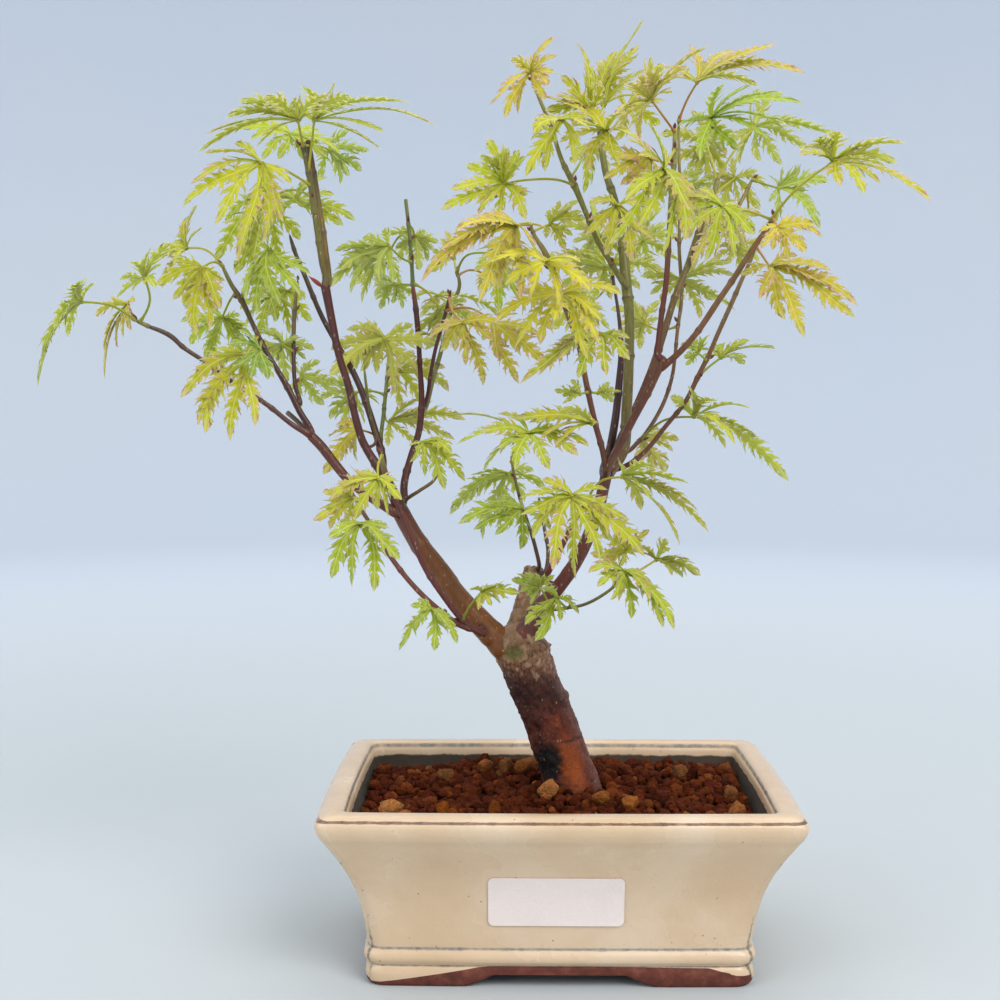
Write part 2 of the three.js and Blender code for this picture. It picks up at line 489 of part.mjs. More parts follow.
    leaves: [
      { stalk: [[-132.3, -8, 274.3], [-134.3, -15, 275.5], [-137.6, -22, 272.6]], tips: [[-139.1, -27.5, 246.7], [-142.7, -26.3, 256.3], [-129.2, -28.1, 256.6], [-154.2, -28.8, 265.6], [-148.4, -26.2, 260.1]] },
      { stalk: [[-132.3, -8, 274.3], [-140.3, -1, 281.5], [-149.5, 6, 282.9]], tips: [[-146.1, 12.3, 300.9], [-154.6, 20.2, 291.7], [-165.5, 10, 277.7], [-161.5, 13, 266.6], [-167.5, 1.4, 271.8]] },
      { stalk: [[-125.1, -8, 261.2], [-121.1, -11, 272.7], [-113, -14, 280.6]], tips: [[-116.6, -19.5, 255.1], [-95.8, -20.8, 270], [-111.6, -30.8, 286.4], [-107.7, -21.9, 258.4], [-100, -21.6, 262.3]] },
      { stalk: [[-117.3, -8.8, 244.6], [-112.6, -39, 240.7]], tips: [[-123.8, -43.3, 242.8], [-120, -42.9, 248], [-115.8, -42.9, 230.2], [-122.4, -43.3, 234.6], [-109.1, -43.1, 229.4]] },
      { stalk: [[-118.5, -8.5, 247.1], [-118.8, -34, 238.6]], tips: [[-142.7, -40.2, 222.7], [-137.2, -39.2, 230.2], [-135.9, -40.8, 212.3], [-133.3, -41, 209.3], [-124, -41, 206.3], [-114, -43.5, 211.9]] },
      { stalk: [[-127.2, -8, 264.4], [-131.2, 0, 261.7], [-136.1, 8, 255]], tips: [[-150.6, 14, 244.3], [-130.2, 14.5, 238.2], [-126, 14.6, 248.4], [-138.3, 3.5, 233.9], [-154.6, 14, 253.7]] },
    ],
  },
  { name: "left_rise_side", kind: "leaf", sides: 4,
    limbs: [[[-103.3, -12.4, 220.4, 0.99], [-102.5, -10, 220.3, 0.99], [-104.9, -4, 227.8, 0.88], [-106.2, 2, 242.1, 0.81], [-106.3, 6, 257.3, 0.89], [-106, 7, 263, 0.69], [-105.2, 8, 270.3, 0.57]]],
    leaves: [
      { stalk: [[-104.9, -4, 227.8], [-104.8, 12, 230.8]], tips: [[-97.7, 20.4, 237.9], [-89.9, 17.6, 228], [-88, 8.2, 223.4], [-105, 18.6, 218.9], [-95.7, 17.2, 219.7]] },
      { stalk: [[-105.3, 7.8, 269], [-113.6, 37, 267.9]], tips: [[-123.1, 41.8, 257.6], [-102.6, 33.5, 255], [-112.4, 33, 249.1], [-122.7, 45.2, 264.6], [-107.7, 45.6, 264.6]] },
      { stalk: [[-106.3, 6, 257.3], [-112.3, 20, 263], [-120, 34, 265.6]], tips: [[-132.3, 40.4, 251.6], [-126.2, 29.4, 244.8], [-134.3, 37.7, 259.9], [-122.1, 40.6, 247.3], [-126.3, 46.5, 273.2]] },
      { stalk: [[-106.1, 1.6, 241.1], [-110.3, 1, 243.9]], tips: [[-124.4, 6.1, 250.1], [-119.8, 6.2, 231.9], [-98, 5, 242], [-126.9, -2.8, 239.4], [-110.5, 6.7, 227.9]] },
    ],
  },
  { name: "left_leader_leaves", kind: "leaf", sides: 4,
    limbs: [[[-94.3, -19.1, 293.4, 1.17], [-96.5, -21, 309.9, 1.05], [-98.4, -22, 319.9, 0.93]]],
    leaves: [
      { stalk: [[-95.8, -20.3, 304.1], [-103, -36.2, 307.6], [-109.2, -52, 307.8]], tips: [[-136.6, -59.1, 290.5], [-128.3, -61.5, 309.9], [-124.2, -62.1, 284.1], [-116.6, -59.9, 271.5], [-100.6, -57.7, 285.9], [-107.4, -62.6, 277.3]] },
      { stalk: [[-96.4, -20.9, 309.1], [-94.3, -25.5, 320.4], [-92.8, -30, 326.7]], tips: [[-46, -39.9, 322.6], [-65.7, -43.1, 320.3], [-55.7, -43.1, 330.8], [-76.2, -50, 331.3], [-82.4, -50, 336.3], [-95.1, -50, 335.6]] },
      { stalk: [[-98.2, -21.9, 318.6], [-95.9, -50, 323.1]], tips: [[-120.7, -59.5, 322.5], [-131.5, -58.3, 310], [-116, -59, 328.6], [-128.3, -57.3, 316.9], [-105.7, -69.4, 327.6], [-81.8, -69.8, 328.4]] },
      { stalk: [[-97.9, -21.8, 317.4], [-105.9, -4, 326]], tips: [[-120.7, -9.7, 323.1], [-85.3, -8.6, 317.5], [-90.6, -10, 316.5], [-128.4, 0.7, 330.8], [-116.2, -9.3, 315.5]] },
      { stalk: [[-95, -19.7, 298.7], [-100.9, -4.8, 298.2], [-105.9, 10, 302.1]], tips: [[-81, 4.5, 293.4], [-90.5, 14, 305], [-93.2, 15.9, 312.5], [-121.1, 18.4, 301.6], [-118.4, 16.3, 293.2]] },
      { stalk: [[-95.2, -19.8, 299.8], [-105.5, -7.9, 304.1], [-118.6, 4, 300.2]], tips: [[-136.5, -2.4, 276.6], [-128.6, -2.5, 271.4], [-120.6, -2.9, 267.5], [-113, 12.6, 277.9], [-104.6, 11.4, 286.6], [-135.9, 15.7, 293.2]] },
      { stalk: [[-98.2, -21.9, 318.8], [-95.4, -0.4, 322.3], [-93.3, 21, 324.2]], tips: [[-77.4, 26.9, 325.1], [-80.8, 26.7, 316.1], [-89.9, 26.3, 310.7], [-99.2, 27.4, 312.9], [-86, 30.1, 333.9]] },
    ],
  },
  { name: "left_inner", kind: "leaf", sides: 4,
    limbs: [[[-69.8, -7.5, 192.3, 1.01], [-70.9, 6, 193.4, 1.01], [-72.2, 11, 203.8, 0.90], [-71.2, 15, 217.7, 0.82], [-70.1, 18, 230.8, 0.74], [-69.4, 20, 241.6, 0.62]]],
    leaves: [
      { stalk: [[-69.5, 19.8, 240.3], [-70.3, 7, 246.4]], tips: [[-92, 1.3, 231.5], [-88.8, 15.3, 230.8], [-66.2, 15, 224.2], [-48, 15.1, 244.3], [-57, 13.8, 233.2]] },
      { stalk: [[-70.1, 18, 230.8], [-66.3, 33, 234]], tips: [[-45, 28.1, 225.1], [-46.7, 37.2, 235.3], [-56.2, 39.4, 219.1], [-66.4, 38.5, 218.3], [-60.7, 43.1, 243.1]] },
      { stalk: [[-72.1, 11.5, 205.5], [-75.7, 6.7, 208.4], [-79.7, 2, 209.8]], tips: [[-93.2, 9.5, 206.7], [-94.1, -3, 191.9], [-88.5, 7.3, 196.6], [-90.7, 13.1, 211.6], [-81.4, 9.3, 196.5]] },
      { stalk: [[-71.2, 15, 217.7], [-71.2, 24.5, 213.4], [-70.8, 34, 212.4]], tips: [[-49.5, 41.7, 208.4], [-38.3, 40.9, 213.1], [-42.5, 27.9, 205], [-58.3, 43.6, 199.3], [-54, 44.3, 216.5]] },
      { stalk: [[-70.7, 16.4, 223.8], [-77.1, 21.7, 225.5], [-84.4, 27, 224.7]], tips: [[-99.8, 32.3, 221.7], [-89.3, 32.7, 209], [-80.8, 31.9, 211.2], [-74.6, 34.1, 219.6], [-97.5, 31.8, 230.2]] },
    ],
  },
  { name: "left_upright_leaves", kind: "leaf", sides: 4,
    limbs: [[[-59.4, 20, 268.2, 0.83], [-60.7, 21, 288.4, 0.79], [-62.4, 22, 304, 0.75]]],
    leaves: [
      { stalk: [[-60, 20.5, 278.5], [-63, 9.3, 279.1], [-67.3, -2, 282.9]], tips: [[-88.2, -9.8, 280.2], [-76.5, -16.2, 283.4], [-89.7, -8, 266.3], [-77.6, -7.4, 259.7], [-70.3, -13.1, 268.6]] },
      { stalk: [[-61.3, 21.3, 293.7], [-60.6, 32.7, 293.7], [-60.1, 44, 291.6]], tips: [[-55.3, 48.3, 281], [-50, 47.3, 289.4], [-72.5, 48.2, 292.5], [-57.8, 40.9, 276.9], [-66.9, 48.5, 281]] },
      { stalk: [[-59.4, 20.1, 269.1], [-67.7, 36, 270.7]], tips: [[-65.4, 38.7, 260.3], [-74.9, 40.6, 260], [-77.3, 39.3, 265.9], [-57.8, 40.3, 264.2], [-78.2, 40.1, 272.7]] },
      { stalk: [[-59.5, 20.1, 269.9], [-54.3, 18.6, 266.9], [-48.1, 17, 259.5]], tips: [[-35.6, 12.8, 244.2], [-54.7, 23.5, 242.5], [-31.8, 23.2, 254.1], [-58.8, 22.3, 248.7], [-27.4, 12.1, 248.2]] },
      { stalk: [[-60.6, 20.9, 286.7], [-65.8, 35.5, 290.7], [-73.5, 50, 281.1]], tips: [[-89.3, 55.4, 281.6], [-87.2, 55.8, 271.7], [-78.5, 56, 265.2], [-67.5, 54.9, 269.5], [-84.7, 53.6, 288.8]] },
    ],
  },
  { name: "left_side", kind: "leaf", sides: 4,
    limbs: [[[-63.4, -5, 178, 0.80], [-61.4, -2, 181.4, 0.80], [-55.1, -5, 185.8, 0.72], [-49.5, -8, 190, 0.63], [-46.9, -9, 193.8, 0.47]]],
    leaves: [
      { stalk: [[-47.6, -8.7, 192.8], [-48.8, -16.4, 200.4], [-52.2, -24, 205.8]], tips: [[-51.7, -27.6, 192.4], [-36.3, -28.7, 190.6], [-44, -28.3, 187.5], [-41.1, -31.3, 201.1], [-56.9, -34.3, 198.5]] },
    ],
  },
  { name: "left_right", kind: "leaf", sides: 4,
    limbs: [[[-55.9, 16.1, 217.8, 1.12], [-55.3, 18, 217.7, 1.12], [-51.3, 22, 230.5, 1.00], [-49.3, 24, 237.6, 0.96], [-46.1, 26, 250.1, 0.88], [-43.4, 27, 260.9, 0.84], [-40.4, 27, 270.4, 0.76], [-41.9, 27, 275.8, 0.59]], [[-55.8, 16.1, 217.4, 0.87], [-55.7, 17.5, 217.2, 0.87], [-53.5, 19, 223.4, 0.87], [-52.2, 16, 230.4, 0.82], [-49.9, 12, 241.3, 0.78], [-45.3, 10, 257.9, 0.69], [-43.2, 9, 266.3, 0.57]]],
    leaves: [
      { stalk: [[-41.5, 27, 274.5], [-37.4, 17.5, 280.7], [-28.2, 8, 281]], tips: [[-7.6, 2.4, 264.6], [-16.5, 20.7, 283.4], [-23.6, 2.8, 256.6], [-11.2, 14.5, 274.7], [-32.4, 14.6, 263.4]] },
      { stalk: [[-41.5, 27, 274.5], [-43.6, 47, 282.1]], tips: [[-53.2, 50.6, 286.3], [-49.8, 50.8, 291.5], [-36.8, 50.8, 290.6], [-53.8, 44.5, 276.4], [-47.6, 49.8, 294.8]] },
      { stalk: [[-41.2, 27, 273.4], [-36.5, 39.5, 276.8], [-31.2, 52, 276.6]], tips: [[-13.5, 48, 269.8], [-21.3, 55, 269.9], [-17.4, 57.2, 281.7], [-23.9, 57.6, 263.1], [-15.2, 48.6, 275.4]] },
      { stalk: [[-43.4, 27, 260.9], [-50.7, 50, 266.5]], tips: [[-42.2, 66.3, 264.5], [-22.5, 43.7, 256.3], [-59.5, 64.4, 257.8], [-63.9, 64.5, 265.7], [-32.7, 58.3, 252.3]] },
      { stalk: [[-45.3, 10, 257.9], [-35.2, 1, 258.6], [-25.9, -8, 252.2]], tips: [[-4.7, -13.7, 235.9], [-15.6, -15.1, 240.6], [-15.6, -13.5, 228.1], [-7.4, -14.8, 247.2], [-23, -16.1, 237.4]] },
      { stalk: [[-44, 9.4, 263.1], [-42.2, -4.3, 257.5], [-37.3, -18, 251.7]], tips: [[-25.6, -26.9, 244.4], [-29.5, -23.4, 227.3], [-45.9, -25.6, 240.3], [-49.7, -26.1, 245.6], [-22.9, -25.5, 250.6]] },
    ],
  },
  { name: "left_front", kind: "leaf", sides: 4,
    limbs: [[[-30.4, 1.5, 130.9, 1.22], [-30.3, -10, 128.8, 1.22], [-37.7, -13.5, 135, 1.30], [-45.1, -16, 144.5, 1.17], [-53, -18, 157.4, 1.09], [-57.8, -19, 168.9, 1.01], [-62.3, -20, 180.3, 0.97], [-66.1, -21, 189.7, 0.97], [-68.5, -22, 197.9, 1.08], [-68.8, -22, 201.8, 0.77]]],
    leaves: [
      { stalk: [[-68.7, -22, 200.5], [-69.2, -33, 197.3], [-68.2, -44, 193]], tips: [[-64.1, -49.3, 178.8], [-76.5, -47.8, 177.6], [-81.1, -48.9, 189.9], [-85.7, -48.1, 185], [-58.8, -50.3, 185.2]] },
      { stalk: [[-37.7, -13.5, 135], [-34.6, -23.8, 142], [-29.6, -34, 148.9]], tips: [[-34, -41.9, 150.7], [-25.7, -40.4, 144.4], [-15.2, -37, 148.9], [-20.9, -36.2, 151.5], [-31, -39.8, 142.8]] },
    ],
  },
  { name: "left_low", kind: "leaf", sides: 4,
    limbs: [[[-31.7, 1.2, 132.3, 1.18], [-31.5, -10, 130.4, 1.18], [-38.9, -14, 133, 1.18], [-47.5, -18, 140, 1.09], [-57.3, -21, 150.2, 1.01], [-65.1, -23, 160.7, 0.97], [-71.7, -25, 171.9, 0.85], [-77.6, -27, 182, 0.77], [-80.5, -28, 188.2, 0.57]]],
    leaves: [
      { stalk: [[-79.9, -27.8, 187.1], [-78.2, -42, 185.3]], tips: [[-92.4, -45.5, 177.3], [-87.8, -45.8, 181.9], [-86.1, -45.1, 173.6], [-80.6, -44.6, 175.4], [-88.9, -46, 187.8]] },
      { stalk: [[-71.7, -25, 171.9], [-72.8, -36.5, 174.3], [-74.6, -48, 176.1]], tips: [[-85, -59.6, 172], [-84.9, -52.9, 156.1], [-69, -53.4, 151.4], [-59.2, -55, 163.4], [-64.2, -60.5, 169.5]] },
      { stalk: [[-44.1, -16.4, 137.2], [-46.1, -26.2, 140], [-49, -36, 142.6]], tips: [[-61, -40.2, 127.2], [-47.6, -41.6, 127.4], [-39, -39.5, 129.8], [-56.3, -45.7, 145.5], [-41.5, -43.5, 136.5]] },
    ],
  },
  { name: "right_short", kind: "leaf", sides: 4,
    limbs: [[[0.6, -1.4, 147.2, 1.31], [-4.8, -8, 150.3, 1.31], [-0.9, -12, 159.5, 1.26], [3.3, -15, 168.6, 1.17], [8.3, -18, 178.3, 0.97], [11.3, -19, 183, 0.78]]],
    leaves: [
      { stalk: [[10.6, -18.8, 182], [4, -50, 186.7]], tips: [[5.3, -56.5, 156.3], [-10.4, -56.4, 171.4], [30.4, -57.4, 164.9], [-15.6, -60.8, 186.7], [-3.5, -59.9, 160.4], [13.9, -59, 164]] },
      { stalk: [[10.6, -18.8, 182], [15.2, -32.4, 190.8], [22.6, -46, 193.5]], tips: [[46.8, -54.9, 191.5], [54, -54.1, 173.4], [43.6, -53, 168.5], [50.5, -52.6, 181], [31.3, -66, 186.4], [34.8, -65.6, 197.1]] },
    ],
  },
  { name: "centre", kind: "leaf", sides: 4,
    limbs: [[[-9.3, 13.5, 152.6, 0.85], [-7.4, 8, 153.2, 0.85], [-8.8, 5, 161.7, 0.81], [-11.4, 1, 170.3, 0.72], [-15, -4, 182.1, 0.64], [-17.3, -7, 191.2, 0.60], [-18.8, -9, 198.6, 0.51]]],
    leaves: [
      { stalk: [[-18.5, -8.7, 197.3], [-16.8, -21.3, 204.2], [-12.2, -34, 209.1]], tips: [[-45.9, -26.9, 215.1], [-29.1, -39.9, 194.3], [10.5, -42.3, 204.5], [-4.2, -51.3, 196.4], [-39, -43.7, 205.3], [-17.1, -52.6, 196.4]] },
      { stalk: [[-17.3, -7, 191.2], [-20.1, 18, 191.2]], tips: [[-43.9, 11.8, 174.6], [-30.4, 11.8, 164.3], [-39.1, 25.9, 177.7], [-23.5, 24.8, 171.5], [-4.7, 26.2, 184]] },
      { stalk: [[-15, -4, 182.1], [-14, -30, 180.3]], tips: [[-38.7, -35.4, 175], [-33, -37.3, 172.9], [-15.2, -37.4, 165.4], [-24.6, -39.4, 171.2], [-3.9, -41.5, 173.3]] },
    ],
  },
  { name: "right_low", kind: "leaf", sides: 4,
    limbs: [[[-4.7, -0.4, 140.7, 0.67], [-3.5, -8, 138.6, 0.67], [3, -14, 139.9, 0.63], [9.5, -20, 142, 0.62], [16.2, -26, 146.3, 0.61], [20.9, -30, 150.7, 0.57], [23.4, -32, 154.5, 0.49]]],
    leaves: [
      { stalk: [[22.8, -31.5, 153.5], [23.3, -50, 158.9]], tips: [[9.4, -63, 159.7], [41.3, -56, 137.9], [25.6, -55.2, 141.8], [31.9, -61.9, 149.8], [17.3, -64.3, 150.1]] },
      { stalk: [[20.9, -30, 150.7], [22.3, -32, 157.2], [25.1, -34, 164.7]], tips: [[11.2, -38.8, 164.4], [15, -38.5, 171.2], [23.3, -37.7, 176.8], [33.9, -37, 173], [15, -38.9, 159.5]] },
      { stalk: [[22.5, -31.3, 153.1], [31.4, -22.6, 156.1], [38.4, -14, 159]], tips: [[55.7, -17.9, 153.2], [43.7, -24.4, 153.9], [51.4, -17.3, 159.4], [31.2, -24.6, 166], [42.1, -24.1, 167.9]] },
      { stalk: [[3, -14, 139.9], [-1, -34, 146.6]], tips: [[-9.4, -37.9, 130.7], [-0.1, -42.8, 139.1], [7.1, -40.9, 141.5], [-13.3, -39.6, 137.1], [-7.7, -43.9, 151.7]] },
      { stalk: [[-3.5, -8, 138.6], [-4.8, -11, 143.4], [-7.2, -14, 148.2]], tips: [[-18.7, -11.5, 150.7], [-13.2, -16.5, 154.5], [-15.1, -17.1, 146.7], [-1.4, -18.3, 153.5], [-11.2, -17.2, 141.5]] },
    ],
  },
  { name: "right_left", kind: "leaf", sides: 4,
    limbs: [[[19.3, -5, 192.4, 1.18], [18.4, -10, 195.9, 1.18], [17.9, -11, 198.7, 1.18], [14, -15, 213.1, 1.14], [10.6, -18, 228, 1.13], [7.1, -21, 243.8, 1.09], [2.8, -24, 255.6, 1.08], [-0.4, -26, 264.5, 1.08], [-6.2, -29, 278.2, 1.07], [-10.6, -31, 285.3, 0.72], [-11.3, -32, 288.9, 0.57]]],
    leaves: [
      { stalk: [[-11.1, -31.7, 287.7], [-16.8, -52, 285.4]], tips: [[-50.8, -60.6, 263.9], [-30.3, -63.2, 256.6], [-43.8, -62.3, 275.5], [-15.3, -61.7, 257.8], [-6.5, -71.2, 270.4], [-38.4, -64.6, 281.6]] },
      { stalk: [[-10.6, -31, 285.3], [-3.5, -9, 290.6]], tips: [[5.3, -13.4, 285.5], [10.3, -14.1, 291.9], [9.5, -5.6, 299.9], [2.2, -13.2, 280.1], [0.2, -13.3, 299.3]] },
      { stalk: [[-0.4, -26, 264.5], [-0.2, -48, 260.8]], tips: [[-24.4, -53.6, 250], [-3.2, -65, 250.1], [9.5, -53.6, 236.6], [14.4, -56, 250.6], [21.6, -55.9, 259.9]] },
      { stalk: [[7.1, -21, 243.8], [11.3, -30.5, 245.4], [14.9, -40, 246.2]], tips: [[-1, -53, 236.6], [16.3, -56.2, 230.7], [5.9, -52.5, 229.7], [-15.2, -47.5, 227.9], [24.5, -57.2, 236.5], [-7.9, -49.6, 231.2]] },
      { stalk: [[11.3, -17.4, 225], [7.7, -28, 224.2]], tips: [[-2.2, -25.9, 225.8], [0.7, -30.8, 220.4], [3.8, -29.8, 229.5]] },
      { stalk: [[11.3, -17.4, 225], [15.5, -10, 224.6]], tips: [[25.1, -8, 225.4], [21.6, -12.6, 221.1], [20.1, -12.3, 228.9]] },
      { stalk: [[14, -15, 213.1], [11.8, -39, 213]], tips: [[-12.2, -33.9, 213.3], [-16.7, -33, 214.8], [-7.8, -46.2, 207.2], [-0.6, -52.2, 218.4], [-2.3, -48.2, 205.1]] },
      { stalk: [[-3.2, -27.4, 271.2], [-5.9, -58, 271.6]], tips: [[-25.9, -65.1, 270.9], [-11.8, -69.1, 257.3], [-1, -62.5, 254.2], [9.6, -64.7, 261.1], [5.7, -71.9, 270.3]] },
    ],
  },
  { name: "right_inner", kind: "leaf", sides: 4,
    limbs: [[[27.2, 2, 267.2, 1.20], [25.9, -4, 267.6, 1.20], [21.2, -6, 274.8, 1.11], [15.2, -8, 284.3, 1.07], [9.9, -9, 296.4, 1.07], [5.9, -10, 305.2, 1.26], [1.4, -11, 314, 0.95], [-3.9, -12, 329.1, 0.79], [-8.4, -13, 339.6, 0.71], [-10.5, -13, 345.2, 0.59]]],
    leaves: [
      { stalk: [[21.2, -6, 274.8], [19.6, 11, 274.8]], tips: [[-12, 4.3, 273.9], [-8.7, 17.1, 279.4], [43.9, 19.4, 274.2], [1.2, 18.3, 266.9], [13.6, 20.1, 258.8], [34.4, 22.8, 267.1]] },
      { stalk: [[5.9, -10, 305.2], [-0.3, -16.7, 306.5], [-13, -23.3, 305.6], [-21.3, -30, 303.2]], tips: [[-27.6, -36.6, 319.2], [-12.7, -40.5, 311.9], [-44.8, -35.5, 292.9], [-24.2, -39, 288], [-35.8, -35.2, 309.5]] },
      { stalk: [[-10, -13, 344], [-11.2, -22, 346.3]], tips: [[-1.8, -27.9, 358], [-1.1, -27.2, 351.1], [-27, -26.4, 332.8], [-19.1, -31.3, 348.8], [-5.9, -27.3, 334.8]] },
      { stalk: [[-3.9, -12, 329.1], [0.2, -40, 325.1]], tips: [[-10.6, -52.5, 317.9], [-13.5, -45.4, 303.6], [-6.2, -47.2, 305.1], [9.9, -53.3, 319.1], [4.8, -46.2, 307.7]] },
      { stalk: [[4.3, -10.3, 308.2], [8.5, 0.8, 316], [11.3, 12, 324.1]], tips: [[13.7, 17.8, 309], [10, 7.8, 304.4], [21.4, 16.9, 315.3], [3.2, 22.5, 324.2], [22.4, 20.4, 323.9]] },
      { stalk: [[12.1, -8.6, 291.4], [15.7, -15.3, 293.7], [22.2, -22, 295.9]], tips: [[9.4, -26.2, 284.5], [27.1, -29.9, 274], [35.8, -28.8, 282.3], [37.7, -27.9, 293.6], [10.8, -35.6, 294.6]] },
    ],
  },
  { name: "right_green_leaves", kind: "leaf", sides: 4,
    limbs: [[[17.3, 9, 325.6, 1.27], [17.2, 9, 326, 1.26], [15.2, 10, 336.1, 1.14]]],
    leaves: [
      { stalk: [[15.5, 9.9, 334.8], [18.8, 16, 340.8]], tips: [[35.4, 24.2, 376.9], [24.4, 23.1, 364.6], [11.4, 35.5, 357.2], [33.2, 36, 350.7], [17.9, 31.8, 362.6], [37.8, 21.9, 356.3]] },
      { stalk: [[15.6, 9.8, 334.1], [10.9, -14, 333.2]], tips: [[6, -8.1, 361.1], [11.6, -21.8, 347.8], [-0.1, -19.1, 345.8], [14.8, -27.3, 342.2], [-5.8, -21.8, 332.1]] },
      { stalk: [[17.2, 9, 326], [17.1, -27, 323.3]], tips: [[-8.5, -20.8, 337.6], [-0.8, -33.5, 317.8], [23.9, -42.3, 327.1], [29, -39.8, 317.8], [21.7, -39.1, 308.8]] },
      { stalk: [[15.9, 9.6, 332.4], [22.7, 26.8, 337.9], [29.2, 44, 345.2]], tips: [[46.7, 50, 349.7], [36.2, 51, 330.9], [25.8, 55.7, 333.8], [40.5, 53.2, 358.8], [23.6, 56.6, 359.5]] },
    ],
  },
  { name: "right_up_leaves", kind: "leaf", sides: 4,
    limbs: [[[42.4, -24, 301.3, 1.04], [43.2, -25, 315, 0.89], [43.1, -25, 324.7, 0.69]]],
    leaves: [
      { stalk: [[43.1, -25, 323.4], [32.2, -52, 329.6]], tips: [[16.4, -59.1, 315.9], [31.1, -63, 343], [53.7, -45.8, 350.4], [41.5, -65.7, 335.5], [27, -65, 313.5], [21.4, -68.2, 332]] },
      { stalk: [[43.2, -25, 316.5], [36.4, -56, 304.8]], tips: [[34.9, -62.9, 272.1], [16.3, -63.1, 277.4], [28.8, -68.2, 319.5], [21.5, -69, 292.1], [44.3, -69.6, 288.5], [43.1, -65.5, 278.6]] },
      { stalk: [[43, -24.7, 310.9], [36, -6, 316.1]], tips: [[17, -10.4, 307.8], [19.6, -11.7, 314.9], [23.6, -11.7, 305.3], [31.3, -12.6, 297.4], [25.3, -13.6, 322.2]] },
    ],
  },
  { name: "right_arc", kind: "leaf", sides: 4,
    limbs: [[[24.1, 5.2, 201.8, 0.93], [26.2, 6, 200.8, 0.93], [33.8, 12, 205.2, 0.90], [39.6, 17, 212.5, 0.83], [44.7, 21, 221.4, 0.83], [48.3, 24, 233.1, 0.79], [49.4, 25, 240.7, 0.75], [50.6, 27, 252.5, 0.76], [51.9, 28, 261.4, 0.80], [51.2, 30, 286.8, 0.72], [51.5, 31, 304.2, 0.68], [51, 32, 325.7, 0.63], [50.8, 33, 339, 0.55]]],
    leaves: [
      { stalk: [[50.8, 32.9, 337.7], [54, 27.4, 346.1], [57, 22, 351.1]], tips: [[91.2, 29.9, 368.4], [103.2, 31.6, 356.6], [75.6, 41.7, 368.3], [71.2, 42, 357.2], [56.3, 42, 370.9], [41.6, 42, 360.6]] },
      { stalk: [[50.8, 32.9, 337.7], [54.8, 8.4, 333.7], [58.1, -16, 329.7]], tips: [[59.7, -34.4, 339.1], [95.1, -8.2, 336.7], [85.4, -26.5, 325.8], [44.9, -35.7, 321.4], [67, -32.3, 315.2], [52, -32.3, 311.6]] },
      { stalk: [[51.5, 31, 304.2], [53.6, 56, 315]], tips: [[61.3, 61.5, 302], [70.9, 52.2, 313.6], [65.4, 60.6, 321.7], [41.5, 60.6, 313.1], [68.8, 52.1, 305.5]] },
      { stalk: [[51.7, 28.5, 267.5], [54.4, 52, 273.5]], tips: [[78.9, 57.1, 275.6], [77.5, 46.2, 259.8], [37.2, 58.3, 275.7], [41.8, 60.8, 267.6], [63.6, 58.8, 256.6]] },
      { stalk: [[50.6, 27, 252.5], [44, 36.5, 251.3], [38.1, 46, 254.7]], tips: [[23.6, 49.3, 260.4], [27.2, 50.4, 249.7], [36.8, 50.1, 243.3], [32.3, 50.1, 264.8], [45.2, 50.3, 264.8]] },
      { stalk: [[33.8, 12, 205.2], [37, 34, 205.2]], tips: [[50.2, 38.9, 199.5], [46.5, 30.4, 191.4], [41.8, 30.2, 188.1], [52.3, 30.7, 204.9], [36, 36.8, 194.1]] },
      { stalk: [[34.1, 12.3, 205.6], [43.3, 4.2, 213.8], [54, -4, 215.1]], tips: [[49.3, -24, 226.5], [58.5, -24, 222.3], [73.8, -21.8, 218.5], [90.3, -13.7, 189.8], [67.5, -24, 204.7], [61.7, -24, 212.3]] },
      { stalk: [[51.2, 30, 286.8], [57.6, 48, 296.5], [64, 66, 305.1]], tips: [[82.5, 72.5, 310.2], [71.3, 70.2, 290.2], [60.9, 76.1, 293.1], [73.5, 72.3, 321.2], [56.2, 75.9, 317.4]] },
    ],
  },
  { name: "right_back_leaves", kind: "leaf", sides: 4,
    limbs: [[[63, 24.8, 302, 1.27], [63.5, 25, 303.4, 1.26], [66.7, 26, 314.1, 1.17]]],
    leaves: [
      { stalk: [[66.3, 25.9, 312.9], [74, 29.9, 325.3], [82.8, 34, 335.4]], tips: [[117, 26.2, 329.9], [107.5, 42.9, 327.3], [96.7, 45.8, 321.5], [103.9, 46.9, 340.6], [79, 49.5, 322.1], [87.4, 51, 354]] },
      { stalk: [[63.5, 25, 303.4], [69.5, 41.5, 310.5], [78.1, 58, 317.8]], tips: [[94.3, 63.7, 313.4], [90.1, 64.3, 304.9], [63.5, 62.6, 317.7], [74.8, 63.9, 302.7], [83.7, 67.4, 331.3]] },
      { stalk: [[66, 25.8, 311.6], [66.3, 43.9, 323.4], [65.4, 62, 333.9]], tips: [[46.5, 69.1, 338.2], [61.8, 66.8, 316.1], [75.7, 72, 321.2], [82.5, 74.3, 336.8], [60.2, 74.2, 350]] },
    ],
  },
  { name: "right_out_leaves", kind: "leaf", sides: 4,
    limbs: [[[78, -32.9, 287, 1.00], [78.4, -33, 287.6, 0.99], [79.7, -34, 291, 0.76]]],
